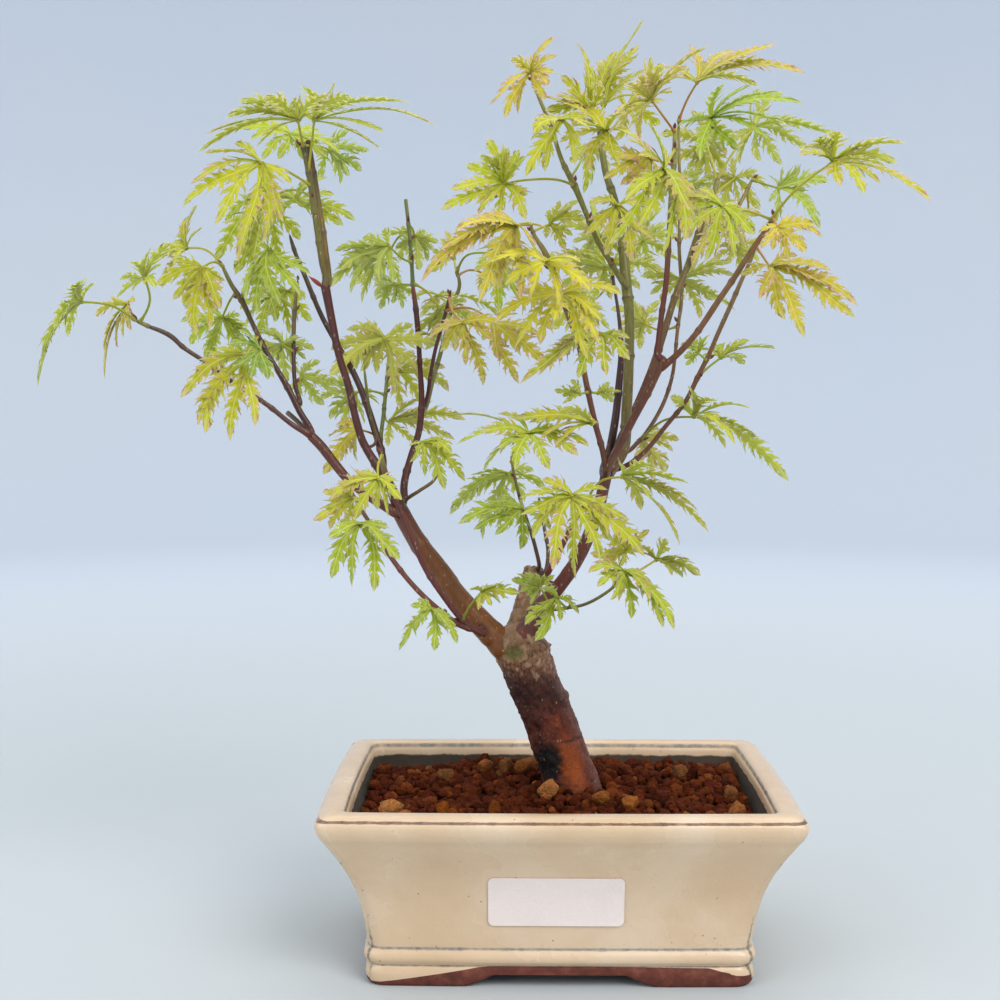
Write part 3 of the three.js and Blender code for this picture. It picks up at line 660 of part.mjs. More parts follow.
    leaves: [
      { stalk: [[79.2, -33.7, 289.8], [84.7, -38.8, 297.4], [99.3, -44, 309]], tips: [[95.3, -64, 316.7], [123.3, -53.8, 313.8], [133.1, -52.3, 293.4], [106.6, -62.6, 294.9], [98.1, -64, 297.5], [83.5, -64, 310.1]] },
      { stalk: [[79.2, -33.7, 289.8], [78.1, -52, 284.6]], tips: [[93.4, -55.5, 280.2], [87.4, -56.9, 274.8], [90.5, -56.8, 284.7], [70.7, -58.2, 275.7], [81.8, -56.5, 272.3]] },
      { stalk: [[79, -33.5, 289.2], [70.3, -41.2, 291.2], [58.2, -49, 292.5]], tips: [[38.6, -55.8, 288.4], [44.1, -55.5, 279.6], [51.3, -56.6, 271.6], [62.1, -56.2, 272.4], [69.3, -55.2, 281.4]] },
    ],
  },
  { name: "right_far", kind: "leaf", sides: 4,
    limbs: [[[53.2, 21.5, 275.2, 0.96], [56.6, 27, 280.2, 0.97], [61.5, 33, 286.1, 0.93], [69.2, 38, 292.9, 0.90], [76.3, 42, 301.6, 0.86], [81.4, 45, 310.9, 0.78], [84.3, 46, 316.5, 0.65]]],
    leaves: [
      { stalk: [[83.7, 45.8, 315.4], [87.9, 40.9, 312.9], [93, 36, 310.5]], tips: [[115.3, 40.6, 314], [109.8, 30.7, 292.5], [110.5, 43, 300.1], [91.4, 39.9, 295.6], [103.7, 44.7, 321.3]] },
      { stalk: [[76.3, 42, 301.6], [71.3, 23, 294.5]], tips: [[55.2, 17.9, 276.1], [85.5, 29.8, 298.6], [66, 28.9, 279.9], [79.1, 33.6, 286.6], [60.8, 32.4, 298.9]] },
      { stalk: [[81.4, 45, 310.9], [83.2, 53.5, 301.4], [80.8, 62, 289]], tips: [[70.9, 66.5, 282.4], [90.7, 66.1, 282.4], [82, 66.5, 276.7], [92.8, 66.1, 289.8], [73.1, 67.5, 294.3]] },
    ],
  },
  { name: "right_outer", kind: "leaf", sides: 4,
    limbs: [[[19.3, -5, 192.4, 1.01], [22.3, 2, 193.3, 1.01], [28.8, 0, 196.2, 1.04], [35.3, -1, 201.6, 0.96], [43, -3, 211.6, 0.92], [50.7, -5, 221.5, 0.92], [55.1, -6, 230.7, 0.99], [59.4, -7, 239.8, 0.91], [63.1, -8, 248.8, 0.91], [68, -9, 260.4, 0.95], [71.7, -10, 269.4, 0.83], [74.7, -11, 276.4, 0.71], [76.9, -12, 282.8, 0.55]]],
    leaves: [
      { stalk: [[76.5, -11.8, 281.6], [79.8, -26, 272.4]], tips: [[101.6, -32.2, 270.4], [110.9, -34.1, 252.7], [91.4, -36.7, 245.1], [72.5, -46, 259], [102.6, -35.3, 263], [83.6, -37.9, 251.8]] },
      { stalk: [[55.1, -6, 230.7], [60.5, -1, 235.4], [65.6, 4, 238.7]], tips: [[88.4, 8.8, 242.4], [65.3, 17.8, 244.3], [78, 9.6, 246.1], [76.9, 14.9, 236.1], [58.5, 15.8, 242.2]] },
      { stalk: [[58.3, -6.8, 237.6], [53.7, -18, 240.1]], tips: [[46.4, -20.7, 243.1], [50.2, -20.7, 246.9], [48.4, -20.4, 235.4], [58.5, -16.2, 247.1]] },
    ],
  },
  { name: "right_dark_leaves", kind: "leaf", sides: 4,
    limbs: [[[23.6, 18, 267.2, 0.62], [22.1, 19, 278.3, 0.54]]],
    leaves: [
      { stalk: [[22.3, 18.9, 277], [21, 35.4, 284.8], [18.5, 52, 292.4]], tips: [[2.1, 56.3, 297.6], [8.9, 61.5, 282.9], [19.8, 58.8, 274], [32.8, 58.3, 281.8], [15.2, 58.5, 308.6]] },
      { stalk: [[22.3, 18.9, 276.7], [30, 38.4, 284.2], [37.9, 58, 291.2]], tips: [[56.2, 65.1, 282.3], [44.8, 64.9, 273.6], [33.2, 62.7, 276], [48, 64.3, 306.6], [29.5, 63, 305.6]] },
      { stalk: [[22.9, 18.5, 272.6], [18.4, 33.2, 265.8], [12.8, 48, 262.5]], tips: [[-4.3, 54.1, 265.1], [-2.1, 54.6, 252.1], [10.9, 54.1, 245.6], [23.9, 53, 252], [2.1, 53, 273.6]] },
    ],
  },
];

// ---- build ----
const FINISH = {
  bark: { color: 0x5d4636, roughness: 0.9 },
  twig: { color: 0x5a2a22, roughness: 0.6 },
  green: { color: 0x6c6a2e, roughness: 0.55 },
  leaf: { color: 0xa9b83c, roughness: 0.6 },
};
const root = new THREE.Group();
root.name = "potted_maple";
const plant = new THREE.Group();
plant.position.set(-ORIGIN[0], -ORIGIN[1], 0);
root.add(plant);
function place(name, s, color, roughness, metalness = 0) {
  const mesh = new THREE.Mesh(geometryOf(s), new THREE.MeshStandardMaterial({ color, roughness, metalness }));
  mesh.name = name;
  plant.add(mesh);
}

// a small shift, different for each leaf, for the rare joins whose edges fall on one another
const shifted = (q, i, k) => [q[0] + 0.09 * k * Math.sin(i * 2.1 + k), q[1] + 0.09 * k * Math.cos(i * 1.3), q[2] + 0.07 * k * Math.sin(i + 0.5 * k)];
const grown = (t, k) =>
  join([
    ...t.limbs.map((l) => solid(limb(l, t.sides))),
    ...t.leaves.map((f, i) => leaf(f.stalk.map((q) => shifted(q, i, k)), f.tips)),
  ]);
const pieces = TREE.map((t) => ({
  ...t,
  // the same shape grown by the clearance, which is cut from the pieces that come after it
  keepOut: () =>
    join([
      ...t.limbs.map((l) => solid(limb(l, t.sides, GAP + 0.05))),
      ...t.leaves.map((f) => leaf(f.stalk, f.tips, GAP)),
    ]),
}));
const meets = (a, b, d) => {
  const p = a.boundingBox(), q = b.boundingBox();
  for (let i = 0; i < 3; i++) if (p.min[i] - d > q.max[i] || q.min[i] - d > p.max[i]) return false;
  return true;
};
pieces.forEach((p, i) => {
  let most = 0;
  for (let k = 0; k < 8 && most < 0.004; k++) {
    let s = grown(p, k);
    for (let j = 0; j < i; j++) {
      const o = pieces[j];
      if (!meets(s, o.body, 1.5)) continue;
      o.clear ??= o.keepOut();
      if (s.intersect(o.clear).volume() > 0) s = s.subtract(o.clear);
    }
    const neat = tidy(largest(s));
    const thin = neat ? thinnest(neat) : 0;
    if (thin > most) [p.body, most] = [neat, thin];
  }
  if (!p.body) throw new Error(p.name + " has edges that fall on one another");
});

const trunk = pieces[0];
trunk.clear ??= trunk.keepOut();
place("pot", pot(), 0xd9cdb4, 0.3);
place("pot_label", label(), 0xf2f2f2, 0.7);
place("drainage_mesh_left", drainageMesh(-HOLE_X), 0x2f3a33, 0.6);
place("drainage_mesh_right", drainageMesh(HOLE_X), 0x2f3a33, 0.6);
place("soil", tidy(largest(soil().subtract(trunk.clear))), 0x241812, 0.95);
place("granule_layer", tidy(largest(dressing().subtract(trunk.clear))), 0x6b3320, 0.95);
for (const p of pieces) place(p.name, p.body, FINISH[p.kind].color, FINISH[p.kind].roughness);

export default root;
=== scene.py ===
# A small potted dissected-leaf maple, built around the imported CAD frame. Lengths in the data are millimetres.
import math
import random
import bpy
import bmesh
import numpy as np
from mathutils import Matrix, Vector, noise


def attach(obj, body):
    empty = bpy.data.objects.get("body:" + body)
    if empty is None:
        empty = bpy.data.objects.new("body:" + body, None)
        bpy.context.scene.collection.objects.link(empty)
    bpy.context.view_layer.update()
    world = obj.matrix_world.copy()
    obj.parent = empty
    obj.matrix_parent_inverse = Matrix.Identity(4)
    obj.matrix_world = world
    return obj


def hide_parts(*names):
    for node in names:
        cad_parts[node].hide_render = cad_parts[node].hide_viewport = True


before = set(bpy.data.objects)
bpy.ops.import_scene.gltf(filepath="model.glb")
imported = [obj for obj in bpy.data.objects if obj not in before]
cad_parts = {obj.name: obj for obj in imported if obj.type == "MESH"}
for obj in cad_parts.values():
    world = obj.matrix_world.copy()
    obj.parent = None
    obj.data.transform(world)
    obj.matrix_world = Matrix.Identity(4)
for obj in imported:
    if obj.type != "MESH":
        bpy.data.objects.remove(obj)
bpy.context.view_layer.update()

MM = 0.001
CX, CY = 33.25, -2.05  # the pot's centre

# ------------------------------------------------------------------ camera
cam = bpy.data.objects.new("camera", bpy.data.cameras.new("camera"))
bpy.context.scene.collection.objects.link(cam)
cam.location = (0.01765, -0.59995, 0.2240)
cam.rotation_euler = (math.radians(90 - 4.05), 0, math.radians(0.73))
cam.data.sensor_width = 36
cam.data.lens = 53.58
cam.data.clip_start, cam.data.clip_end = 0.01, 50
bpy.context.scene.camera = cam


# ------------------------------------------------------------------ colour and mesh helpers
def lin(h, a=1.0):
    v = [int(h[i : i + 2], 16) / 255 for i in (1, 3, 5)]
    return tuple(x / 12.92 if x <= 0.04045 else ((x + 0.055) / 1.055) ** 2.4 for x in v) + (a,)


def C3(h):
    return np.array(lin(h)[:3])


def make(name, V, F, mats, corner=None, mi=None, sharp=None, node=(), slot=None, smooth=True):
    me = bpy.data.meshes.new(name)
    me.from_pydata((np.asarray(V, float) * MM).tolist(), [], [tuple(int(i) for i in f) for f in F])
    for m in mats:
        me.materials.append(m)
    if mi is not None:
        me.polygons.foreach_set("material_index", np.asarray(mi, np.int32))
    if smooth:
        me.polygons.foreach_set("use_smooth", np.ones(len(me.polygons), bool))
    for k, arr in (corner or {}).items():
        a = me.attributes.new(k, "FLOAT_COLOR", "CORNER")
        a.data.foreach_set("color", np.asarray(arr, np.float32).ravel())
    me.update()
    if sharp:
        me.set_sharp_from_angle(angle=math.radians(sharp))
    o = bpy.data.objects.new(name, me)
    bpy.context.scene.collection.objects.link(o)
    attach(o, "root")
    if node:
        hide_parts(*node)
    return o


class Acc:
    """Collects faces with, per corner, a detail value (four numbers) and a colour (four numbers)."""

    def __init__(self):
        self.V, self.F, self.D, self.K, self.M, self.n = [], [], [], [], [], 0

    def add(self, V, F, D, K, m=0):
        self.V.append(np.asarray(V, float))
        self.F += [tuple(i + self.n for i in f) for f in F]
        self.D.append(np.asarray(D, float))
        self.K.append(np.asarray(K, float))
        self.M += [m] * len(F)
        self.n += len(V)

    def done(self, name, mats, **kw):
        return make(name, np.vstack(self.V), self.F, mats, corner=dict(detail=np.vstack(self.D), tint=np.vstack(self.K)), mi=self.M, **kw)


def curve(P, step):
    """Smooth curve through the rows of P (any number of columns, the first three are a place), about step apart."""
    P = np.asarray(P, float)
    if len(P) == 2:
        P = np.array([P[0], (P[0] + P[1]) / 2, P[1]])
    d = np.maximum(np.linalg.norm(np.diff(P[:, :3], axis=0), axis=1), 0.05)
    u = np.concatenate([[0], np.cumsum(d)])
    m = np.zeros_like(P)
    for i in range(1, len(P) - 1):
        a, b = (P[i] - P[i - 1]) / d[i - 1], (P[i + 1] - P[i]) / d[i]
        m[i] = (a * d[i] + b * d[i - 1]) / (d[i] + d[i - 1])
    m[0] = 1.5 * (P[1] - P[0]) / d[0] - 0.5 * m[1]
    m[-1] = 1.5 * (P[-1] - P[-2]) / d[-1] - 0.5 * m[-2]
    n = max(3, int(u[-1] / step) + 1)
    s = np.linspace(0, u[-1], n)
    k = np.clip(np.searchsorted(u, s, side="right") - 1, 0, len(d) - 1)
    t = (s - u[k]) / d[k]
    h = d[k][:, None]
    t = t[:, None]
    Q = (2 * t**3 - 3 * t**2 + 1) * P[k] + (t**3 - 2 * t**2 + t) * h * m[k] + (-2 * t**3 + 3 * t**2) * P[k + 1] + (t**3 - t**2) * h * m[k + 1]
    return Q, s


def frames(Q):
    T = np.gradient(Q[:, :3], axis=0)
    T /= np.linalg.norm(T, axis=1)[:, None] + 1e-12
    A, B = np.zeros_like(T), np.zeros_like(T)
    n = np.array([0.0, -1.0, 0.0])
    for i, t in enumerate(T):
        n = n - t * (n @ t)
        n /= np.linalg.norm(n) + 1e-12
        A[i], B[i] = n, np.cross(t, n)
    return T, A, B


def grid_faces(rings, sides):
    F = []
    for r in range(rings - 1):
        for i in range(sides):
            j = (i + 1) % sides
            F.append((r * sides + i, r * sides + j, (r + 1) * sides + j, (r + 1) * sides + i))
    return F


def vnoise(P, scale, seed=0.0):
    off = Vector((seed * 7.13, seed * 3.71, seed * 1.93))
    return np.array([noise.noise(Vector(p) * scale + off) for p in P])


def corners(F, per_vertex):
    idx = np.array([i for f in F for i in f])
    return np.asarray(per_vertex)[idx]


# ------------------------------------------------------------------ materials
class Nodes:
    def __init__(self, name):
        self.m = bpy.data.materials.new(name)
        self.m.use_nodes = True
        self.t = self.m.node_tree
        self.t.nodes.clear()
        self.out = self.t.nodes.new("ShaderNodeOutputMaterial")
        self.p = self.t.nodes.new("ShaderNodeBsdfPrincipled")
        self.t.links.new(self.p.outputs[0], self.out.inputs[0])
        self.co = self.t.nodes.new("ShaderNodeTexCoord").outputs["Object"]

    def put(self, sock, v):
        if isinstance(v, bpy.types.NodeSocket):
            self.t.links.new(v, sock)
        elif v is not None:
            sock.default_value = v

    def noise(self, scale, detail=4, rough=0.55, dist=0.0, vec=None):
        n = self.t.nodes.new("ShaderNodeTexNoise")
        self.put(n.inputs["Vector"], vec or self.co)
        for k, v in (("Scale", scale), ("Detail", detail), ("Roughness", rough), ("Distortion", dist)):
            n.inputs[k].default_value = v
        return n.outputs["Fac"]

    def voronoi(self, scale, feature="F1", vec=None, rnd=1.0, out="Distance"):
        n = self.t.nodes.new("ShaderNodeTexVoronoi")
        n.feature = feature
        self.put(n.inputs["Vector"], vec or self.co)
        n.inputs["Scale"].default_value = scale
        n.inputs["Randomness"].default_value = rnd
        return n.outputs[out]

    def ramp(self, fac, stops, interp="LINEAR"):
        n = self.t.nodes.new("ShaderNodeValToRGB")
        self.put(n.inputs[0], fac)
        e = n.color_ramp.elements
        n.color_ramp.interpolation = interp
        while len(e) < len(stops):
            e.new(0.5)
        for x, (pos, c) in zip(e, stops):
            x.position = pos
            x.color = lin(c) if isinstance(c, str) else (c, c, c, 1)
        return n.outputs[0]

    def mix(self, fac, a, b, mode="MIX"):
        n = self.t.nodes.new("ShaderNodeMix")
        n.data_type = "RGBA"
        n.blend_type = mode
        n.clamp_factor = True
        self.put(n.inputs[0], fac)
        self.put(n.inputs[6], lin(a) if isinstance(a, str) else a)
        self.put(n.inputs[7], lin(b) if isinstance(b, str) else b)
        return n.outputs[2]

    def math(self, op, a, b=None, c=None):
        n = self.t.nodes.new("ShaderNodeMath")
        n.operation = op
        for s, v in zip(n.inputs, (a, b, c)):
            self.put(s, v)
        return n.outputs[0]

    def rng(self, v, a, b, c=0.0, d=1.0, smooth=True):
        n = self.t.nodes.new("ShaderNodeMapRange")
        n.interpolation_type = "SMOOTHSTEP" if smooth else "LINEAR"
        for s, x in zip(n.inputs, (v, a, b, c, d)):
            self.put(s, x)
        return n.outputs[0]

    def attr(self, name):
        n = self.t.nodes.new("ShaderNodeAttribute")
        n.attribute_name = name
        s = self.t.nodes.new("ShaderNodeSeparateColor")
        self.t.links.new(n.outputs["Color"], s.inputs[0])
        return n.outputs["Color"], s.outputs[0], s.outputs[1], s.outputs[2], n.outputs["Alpha"]

    def scaled(self, x, y, z):
        n = self.t.nodes.new("ShaderNodeMapping")
        self.t.links.new(self.co, n.inputs[0])
        n.inputs["Scale"].default_value = (x, y, z)
        return n.outputs[0]

    def xyz(self):
        s = self.t.nodes.new("ShaderNodeSeparateXYZ")
        self.t.links.new(self.co, s.inputs[0])
        return s.outputs

    def bump(self, h, strength, dist):
        n = self.t.nodes.new("ShaderNodeBump")
        n.inputs["Strength"].default_value = strength
        n.inputs["Distance"].default_value = dist
        self.put(n.inputs["Height"], h)
        self.t.links.new(n.outputs[0], self.p.inputs["Normal"])

    def set(self, **kw):
        for k, v in kw.items():
            self.put(self.p.inputs[k.replace("_", " ")], v)
        return self.m


def leaf_material():
    g = Nodes("leaf_blade")
    col, edge, across, vein, along = g.attr("detail")
    base, *_ , side = g.attr("tint")
    # mottled green, a paler midrib and side veins, and an orange-brown margin on the younger leaves
    mott = g.noise(260, 4, 0.6)
    c = g.mix(g.rng(mott, 0.35, 0.68, 0.0, 0.42), base, g.mix(1.0, base, (0.62, 0.86, 0.40, 1), "MULTIPLY"))
    c = g.mix(g.rng(g.noise(90, 2), 0.45, 0.7, 0.0, 0.35), c, g.mix(1.0, c, (1.18, 1.08, 0.75, 1), "MULTIPLY"))
    midrib = g.rng(across, 0.18, 0.42, 0.62, 0.0)
    sv = g.rng(g.math("ABSOLUTE", vein), 0.06, 0.24, 0.34, 0.0)
    veins = g.math("MAXIMUM", midrib, sv)
    c = g.mix(veins, c, g.mix(0.55, c, "#dfe392"))
    rimf = g.rng(g.math("ADD", edge, g.math("MULTIPLY", g.math("SUBTRACT", g.noise(700, 3, 0.65), 0.5), 0.55)), 0.5, 1.02, 0.0, 0.9)
    rimc = g.ramp(g.noise(420, 3), [(0.32, "#ad5f3e"), (0.5, "#d08c5c"), (0.68, "#dfa673")])
    c = g.mix(rimf, c, rimc)
    c = g.mix(g.rng(side, 0.0, 1.0, 0.34, 0.0), c, "#b8bf78")
    g.bump(g.math("ADD", g.math("MULTIPLY", g.noise(1500, 3, 0.6), 0.5), g.math("MULTIPLY", veins, -0.9)), 0.35, 0.00035)
    return g.set(Base_Color=c, Roughness=g.rng(g.noise(500, 2), 0.3, 0.7, 0.48, 0.64), Specular_IOR_Level=0.22,
                 Subsurface_Weight=0.55, Subsurface_Radius=(0.9, 1.0, 0.35), Subsurface_Scale=0.0012)


def shoot_material():
    """Young bark: the colour runs along each shoot, with pale lenticels, fine streaks and a thin waxy gloss."""
    g = Nodes("shoot_bark")
    _, old, along, ring, _a = g.attr("detail")
    base, *_ = g.attr("tint")
    st = g.noise(900, 4, 0.6, vec=g.scaled(1, 1, 0.16))
    c = g.mix(g.rng(st, 0.35, 0.7, 0, 0.6), base, g.mix(1.0, base, (0.5, 0.45, 0.42, 1), "MULTIPLY"))
    c = g.mix(g.rng(g.noise(160, 3), 0.5, 0.75, 0, 0.5), c, g.mix(1.0, c, (1.5, 1.25, 0.95, 1), "MULTIPLY"))
    len_ = g.rng(g.voronoi(520, vec=g.scaled(1, 1, 0.5)), 0.10, 0.22, 0.62, 0.0)
    c = g.mix(len_, c, g.mix(0.5, c, "#c9b48e"))
    # older limbs carry scattered whitish spots and pale rings, young ones dark rings at each node
    spot = g.math("MULTIPLY", g.rng(g.voronoi(330), 0.10, 0.17, 0.9, 0.0), g.rng(g.noise(70, 3), 0.50, 0.58, 0, 1))
    c = g.mix(g.math("MULTIPLY", spot, old), c, "#d8c3b2")
    ringc = g.mix(old, g.ramp(g.noise(600, 3), [(0.3, "#2c1812"), (0.55, "#5b3626"), (0.75, "#8a6b4c")]), g.ramp(g.noise(500, 3), [(0.35, "#6a3c22"), (0.55, "#b0917a"), (0.75, "#cfb6a4")]))
    c = g.mix(g.rng(ring, 0.15, 0.9, 0, 0.75), c, ringc)
    g.bump(g.math("ADD", g.math("MULTIPLY", st, 0.5), len_), 0.4, 0.0003)
    return g.set(Base_Color=c, Roughness=g.rng(st, 0.3, 0.7, 0.34, 0.52), Specular_IOR_Level=0.45, Coat_Weight=0.12, Coat_Roughness=0.35)


def cut_material():
    g = Nodes("cut_end")
    base, *_ = g.attr("tint")
    c = g.mix(g.rng(g.noise(1100, 4, 0.7), 0.35, 0.7, 0, 0.85), base, g.mix(1.0, base, (0.3, 0.26, 0.24, 1), "MULTIPLY"))
    g.bump(g.noise(1600, 4, 0.7), 0.7, 0.0005)
    return g.set(Base_Color=c, Roughness=0.82)


def bark_material():
    """Old bark: grey-pink flakes near the fork, dark red-brown with pale flecks lower down, from the flake height that the mesh carries."""
    g = Nodes("trunk_bark")
    _, h, zone, scar, along = g.attr("detail")
    base, *_ = g.attr("tint")
    fine = g.noise(520, 7, 0.7, 0.4)
    mid = g.noise(150, 5, 0.6)
    c = g.mix(g.rng(mid, 0.3, 0.7, 0.0, 0.75), base, g.mix(1.0, base, (0.45, 0.36, 0.32, 1), "MULTIPLY"))
    crack = g.math("ADD", h, g.math("MULTIPLY", g.math("SUBTRACT", fine, 0.5), 1.1))
    pale = g.mix(0.55, base, g.ramp(g.noise(240, 5, 0.65), [(0.3, "#8a6548"), (0.5, "#b8967a"), (0.72, "#dcc3ab")]))
    c = g.mix(g.math("MULTIPLY", g.rng(crack, 0.35, 0.8, 0.0, 0.95), zone), c, pale)
    c = g.mix(g.rng(crack, -0.05, 0.34, 0.92, 0.0), c, g.mix(1.0, base, (0.16, 0.12, 0.11, 1), "MULTIPLY"))
    # fine pale flecks and short dark dashes along the stem
    speck = g.rng(g.voronoi(760, vec=g.scaled(1, 1, 0.45)), 0.08, 0.26, 0.75, 0.0)
    keep = g.rng(g.noise(200, 3), 0.46, 0.62, 0.0, 1.0)
    c = g.mix(g.math("MULTIPLY", speck, keep), c, g.ramp(g.noise(330, 2), [(0.3, "#8f7462"), (0.7, "#cdb9a6")]))
    dash = g.rng(g.voronoi(430, vec=g.scaled(1.3, 1.3, 0.4)), 0.05, 0.2, 0.8, 0.0)
    c = g.mix(g.math("MULTIPLY", dash, g.rng(g.noise(130, 3), 0.5, 0.6, 0.0, 1.0)), c, "#24120c")
    c = g.mix(g.rng(scar, 0.25, 0.75, 0, 0.9), c, g.ramp(g.noise(420, 5), [(0.3, "#544c20"), (0.6, "#786e34"), (0.8, "#948850")]))
    g.bump(g.math("ADD", g.math("MULTIPLY", fine, 1.0), g.math("MULTIPLY", g.noise(1700, 4, 0.7), 0.35)), 0.85, 0.0011)
    return g.set(Base_Color=c, Roughness=g.rng(fine, 0.3, 0.75, 0.42, 0.78), Specular_IOR_Level=0.38)


def glaze_material():
    """Cream-beige glaze on stoneware: fine brown specks, a brown line where it runs thin on edges, blue-grey where it
    pools, bare clay at the foot, with painted shade under the rim's undercut and painted near-black shade on the inner
    wall just above the granules.
    """
    g = Nodes("pot_glaze")
    _, lip, pool_and_shade, clay, corner = g.attr("detail")
    cloud = g.noise(22, 4, 0.5)
    c = g.ramp(cloud, [(0.12, "#c7a581"), (0.5, "#d6b997"), (0.88, "#e6d1b7")])
    c = g.mix(g.rng(g.noise(55, 5, 0.6), 0.4, 0.7, 0, 0.14), c, "#c8ab8a")
    keep = g.rng(g.noise(500, 2), 0.52, 0.6, 0, 1)
    c = g.mix(g.math("MULTIPLY", g.rng(g.voronoi(1300), 0.10, 0.24, 0.5, 0.0), keep), c, "#8d6c50")
    kb = g.rng(g.voronoi(260, out="Color"), 0.70, 0.72, 0, 1)
    c = g.mix(g.math("MULTIPLY", g.rng(g.voronoi(260), 0.05, 0.10, 0.85, 0.0), kb), c, "#5d3f2a")
    # blue-grey where the glaze pools in the grooves, and painted shade under the rim's undercut
    pn = g.math("ADD", pool_and_shade, g.math("MULTIPLY", g.math("SUBTRACT", g.noise(170, 5, 0.7), 0.5), 0.9))
    c = g.mix(g.rng(pn, 0.35, 0.95, 0, 0.85), c, g.ramp(g.noise(420, 4), [(0.3, "#4f5458"), (0.5, "#777a78"), (0.72, "#a09a8c")]))
    cn = g.math("ADD", corner, g.math("MULTIPLY", g.math("SUBTRACT", g.noise(130, 5, 0.75), 0.5), 1.7))
    c = g.mix(g.rng(cn, 0.62, 0.98, 0, 0.85), c, g.ramp(g.noise(300, 3), [(0.3, "#3c3f3f"), (0.6, "#6d665a")]))
    wear = g.rng(g.math("ADD", lip, g.math("MULTIPLY", g.math("SUBTRACT", g.noise(150, 5, 0.72), 0.5), 0.9)), 0.5, 0.86, 0, 0.92)
    c = g.mix(wear, c, g.ramp(g.noise(260, 4), [(0.3, "#4c3428"), (0.52, "#765240"), (0.78, "#9b7a60")]))
    cl = g.ramp(g.noise(200, 5, 0.65), [(0.3, "#4d2418"), (0.5, "#632f21"), (0.72, "#7b4635")])
    cf = g.rng(g.math("ADD", clay, g.math("MULTIPLY", g.math("SUBTRACT", g.noise(90, 4), 0.5), 0.12)), 0.47, 0.53)
    c = g.mix(cf, c, cl)
    g.bump(g.math("ADD", g.math("MULTIPLY", g.noise(700, 3, 0.5), 0.3), g.math("MULTIPLY", g.noise(45, 3), 1.2)), 0.22, 0.0012)
    wall_unshaded = g.attr("tint")[4]
    # painted shade: where the tint's last channel is low, the inner wall is painted near-black
    painted_wall_shade = g.rng(g.math("ADD", wall_unshaded, g.math("MULTIPLY", g.math("SUBTRACT", g.noise(120, 4, 0.7), 0.5), 0.9)), 0.25, 0.6, 0.94, 0.0)
    c = g.mix(painted_wall_shade, c, g.ramp(g.noise(300, 4), [(0.3, "#0f0d09"), (0.7, "#2b2014")]))
    ro = g.math("ADD", g.rng(cloud, 0.3, 0.7, 0.20, 0.30), g.math("MULTIPLY", g.math("MAXIMUM", cf, painted_wall_shade), 0.6))
    return g.set(Base_Color=c, Roughness=ro, Specular_IOR_Level=0.5)


def granule_material():
    g = Nodes("baked_clay")
    base, *_ = g.attr("tint")
    n1 = g.noise(620, 6, 0.7)
    c = g.mix(g.rng(n1, 0.32, 0.7, 0, 0.75), base, g.mix(1.0, base, (0.40, 0.32, 0.28, 1), "MULTIPLY"))
    c = g.mix(g.rng(g.noise(260, 3), 0.52, 0.72, 0, 0.6), c, g.mix(1.0, c, (1.55, 1.12, 0.80, 1), "MULTIPLY"))
    pits = g.voronoi(1300)
    c = g.mix(g.rng(pits, 0.12, 0.3, 0.55, 0.0), c, g.mix(1.0, c, (0.35, 0.3, 0.28, 1), "MULTIPLY"))
    g.bump(g.math("ADD", g.math("MULTIPLY", n1, 1.0), g.math("MULTIPLY", pits, 0.6)), 0.9, 0.0011)
    return g.set(Base_Color=c, Roughness=0.96, Specular_IOR_Level=0.10)


def soil_material():
    g = Nodes("damp_soil")
    n1 = g.noise(380, 7, 0.72)
    c = g.ramp(n1, [(0.3, "#0e0a08"), (0.5, "#22160f"), (0.72, "#3d281b")])
    g.bump(g.math("ADD", n1, g.voronoi(420)), 0.9, 0.002)
    return g.set(Base_Color=c, Roughness=g.rng(n1, 0.3, 0.7, 0.55, 0.9))


def label_material():
    g = Nodes("label_paper")
    c = g.ramp(g.noise(900, 5, 0.7), [(0.3, "#eadad2"), (0.7, "#f0e2db")])
    c = g.mix(g.rng(g.noise(35, 3), 0.5, 0.8, 0, 0.25), c, "#cfc0b6")
    g.bump(g.noise(1400, 4, 0.6), 0.25, 0.0002)
    return g.set(Base_Color=c, Roughness=0.62, Sheen_Weight=0.08)


def plastic_material():
    g = Nodes("drain_mesh_plastic")
    c = g.ramp(g.noise(300, 4), [(0.3, "#1f2a24"), (0.7, "#36443b")])
    g.bump(g.noise(900, 3), 0.3, 0.0002)
    return g.set(Base_Color=c, Roughness=0.5)


def floor_material():
    g = Nodes("floor")
    c = g.ramp(g.noise(1.2, 2), [(0.3, "#d6dde5"), (0.7, "#dadee4")])
    x, y, z = g.xyz()
    far = g.math("POWER", g.math("ADD", g.math("MULTIPLY", x, x), g.math("MULTIPLY", y, y)), 0.5)
    c = g.mix(g.rng(far, 0.25, 1.5, 1.0, 0.0), c, "#bdc2c3")
    return g.set(Base_Color=c, Roughness=0.95, Specular_IOR_Level=0.1)


M_LEAF, M_SHOOT, M_CUT, M_BARK = leaf_material(), shoot_material(), cut_material(), bark_material()
M_POT, M_GRAN, M_SOIL, M_LABEL, M_MESH, M_FLOOR = glaze_material(), granule_material(), soil_material(), label_material(), plastic_material(), floor_material()

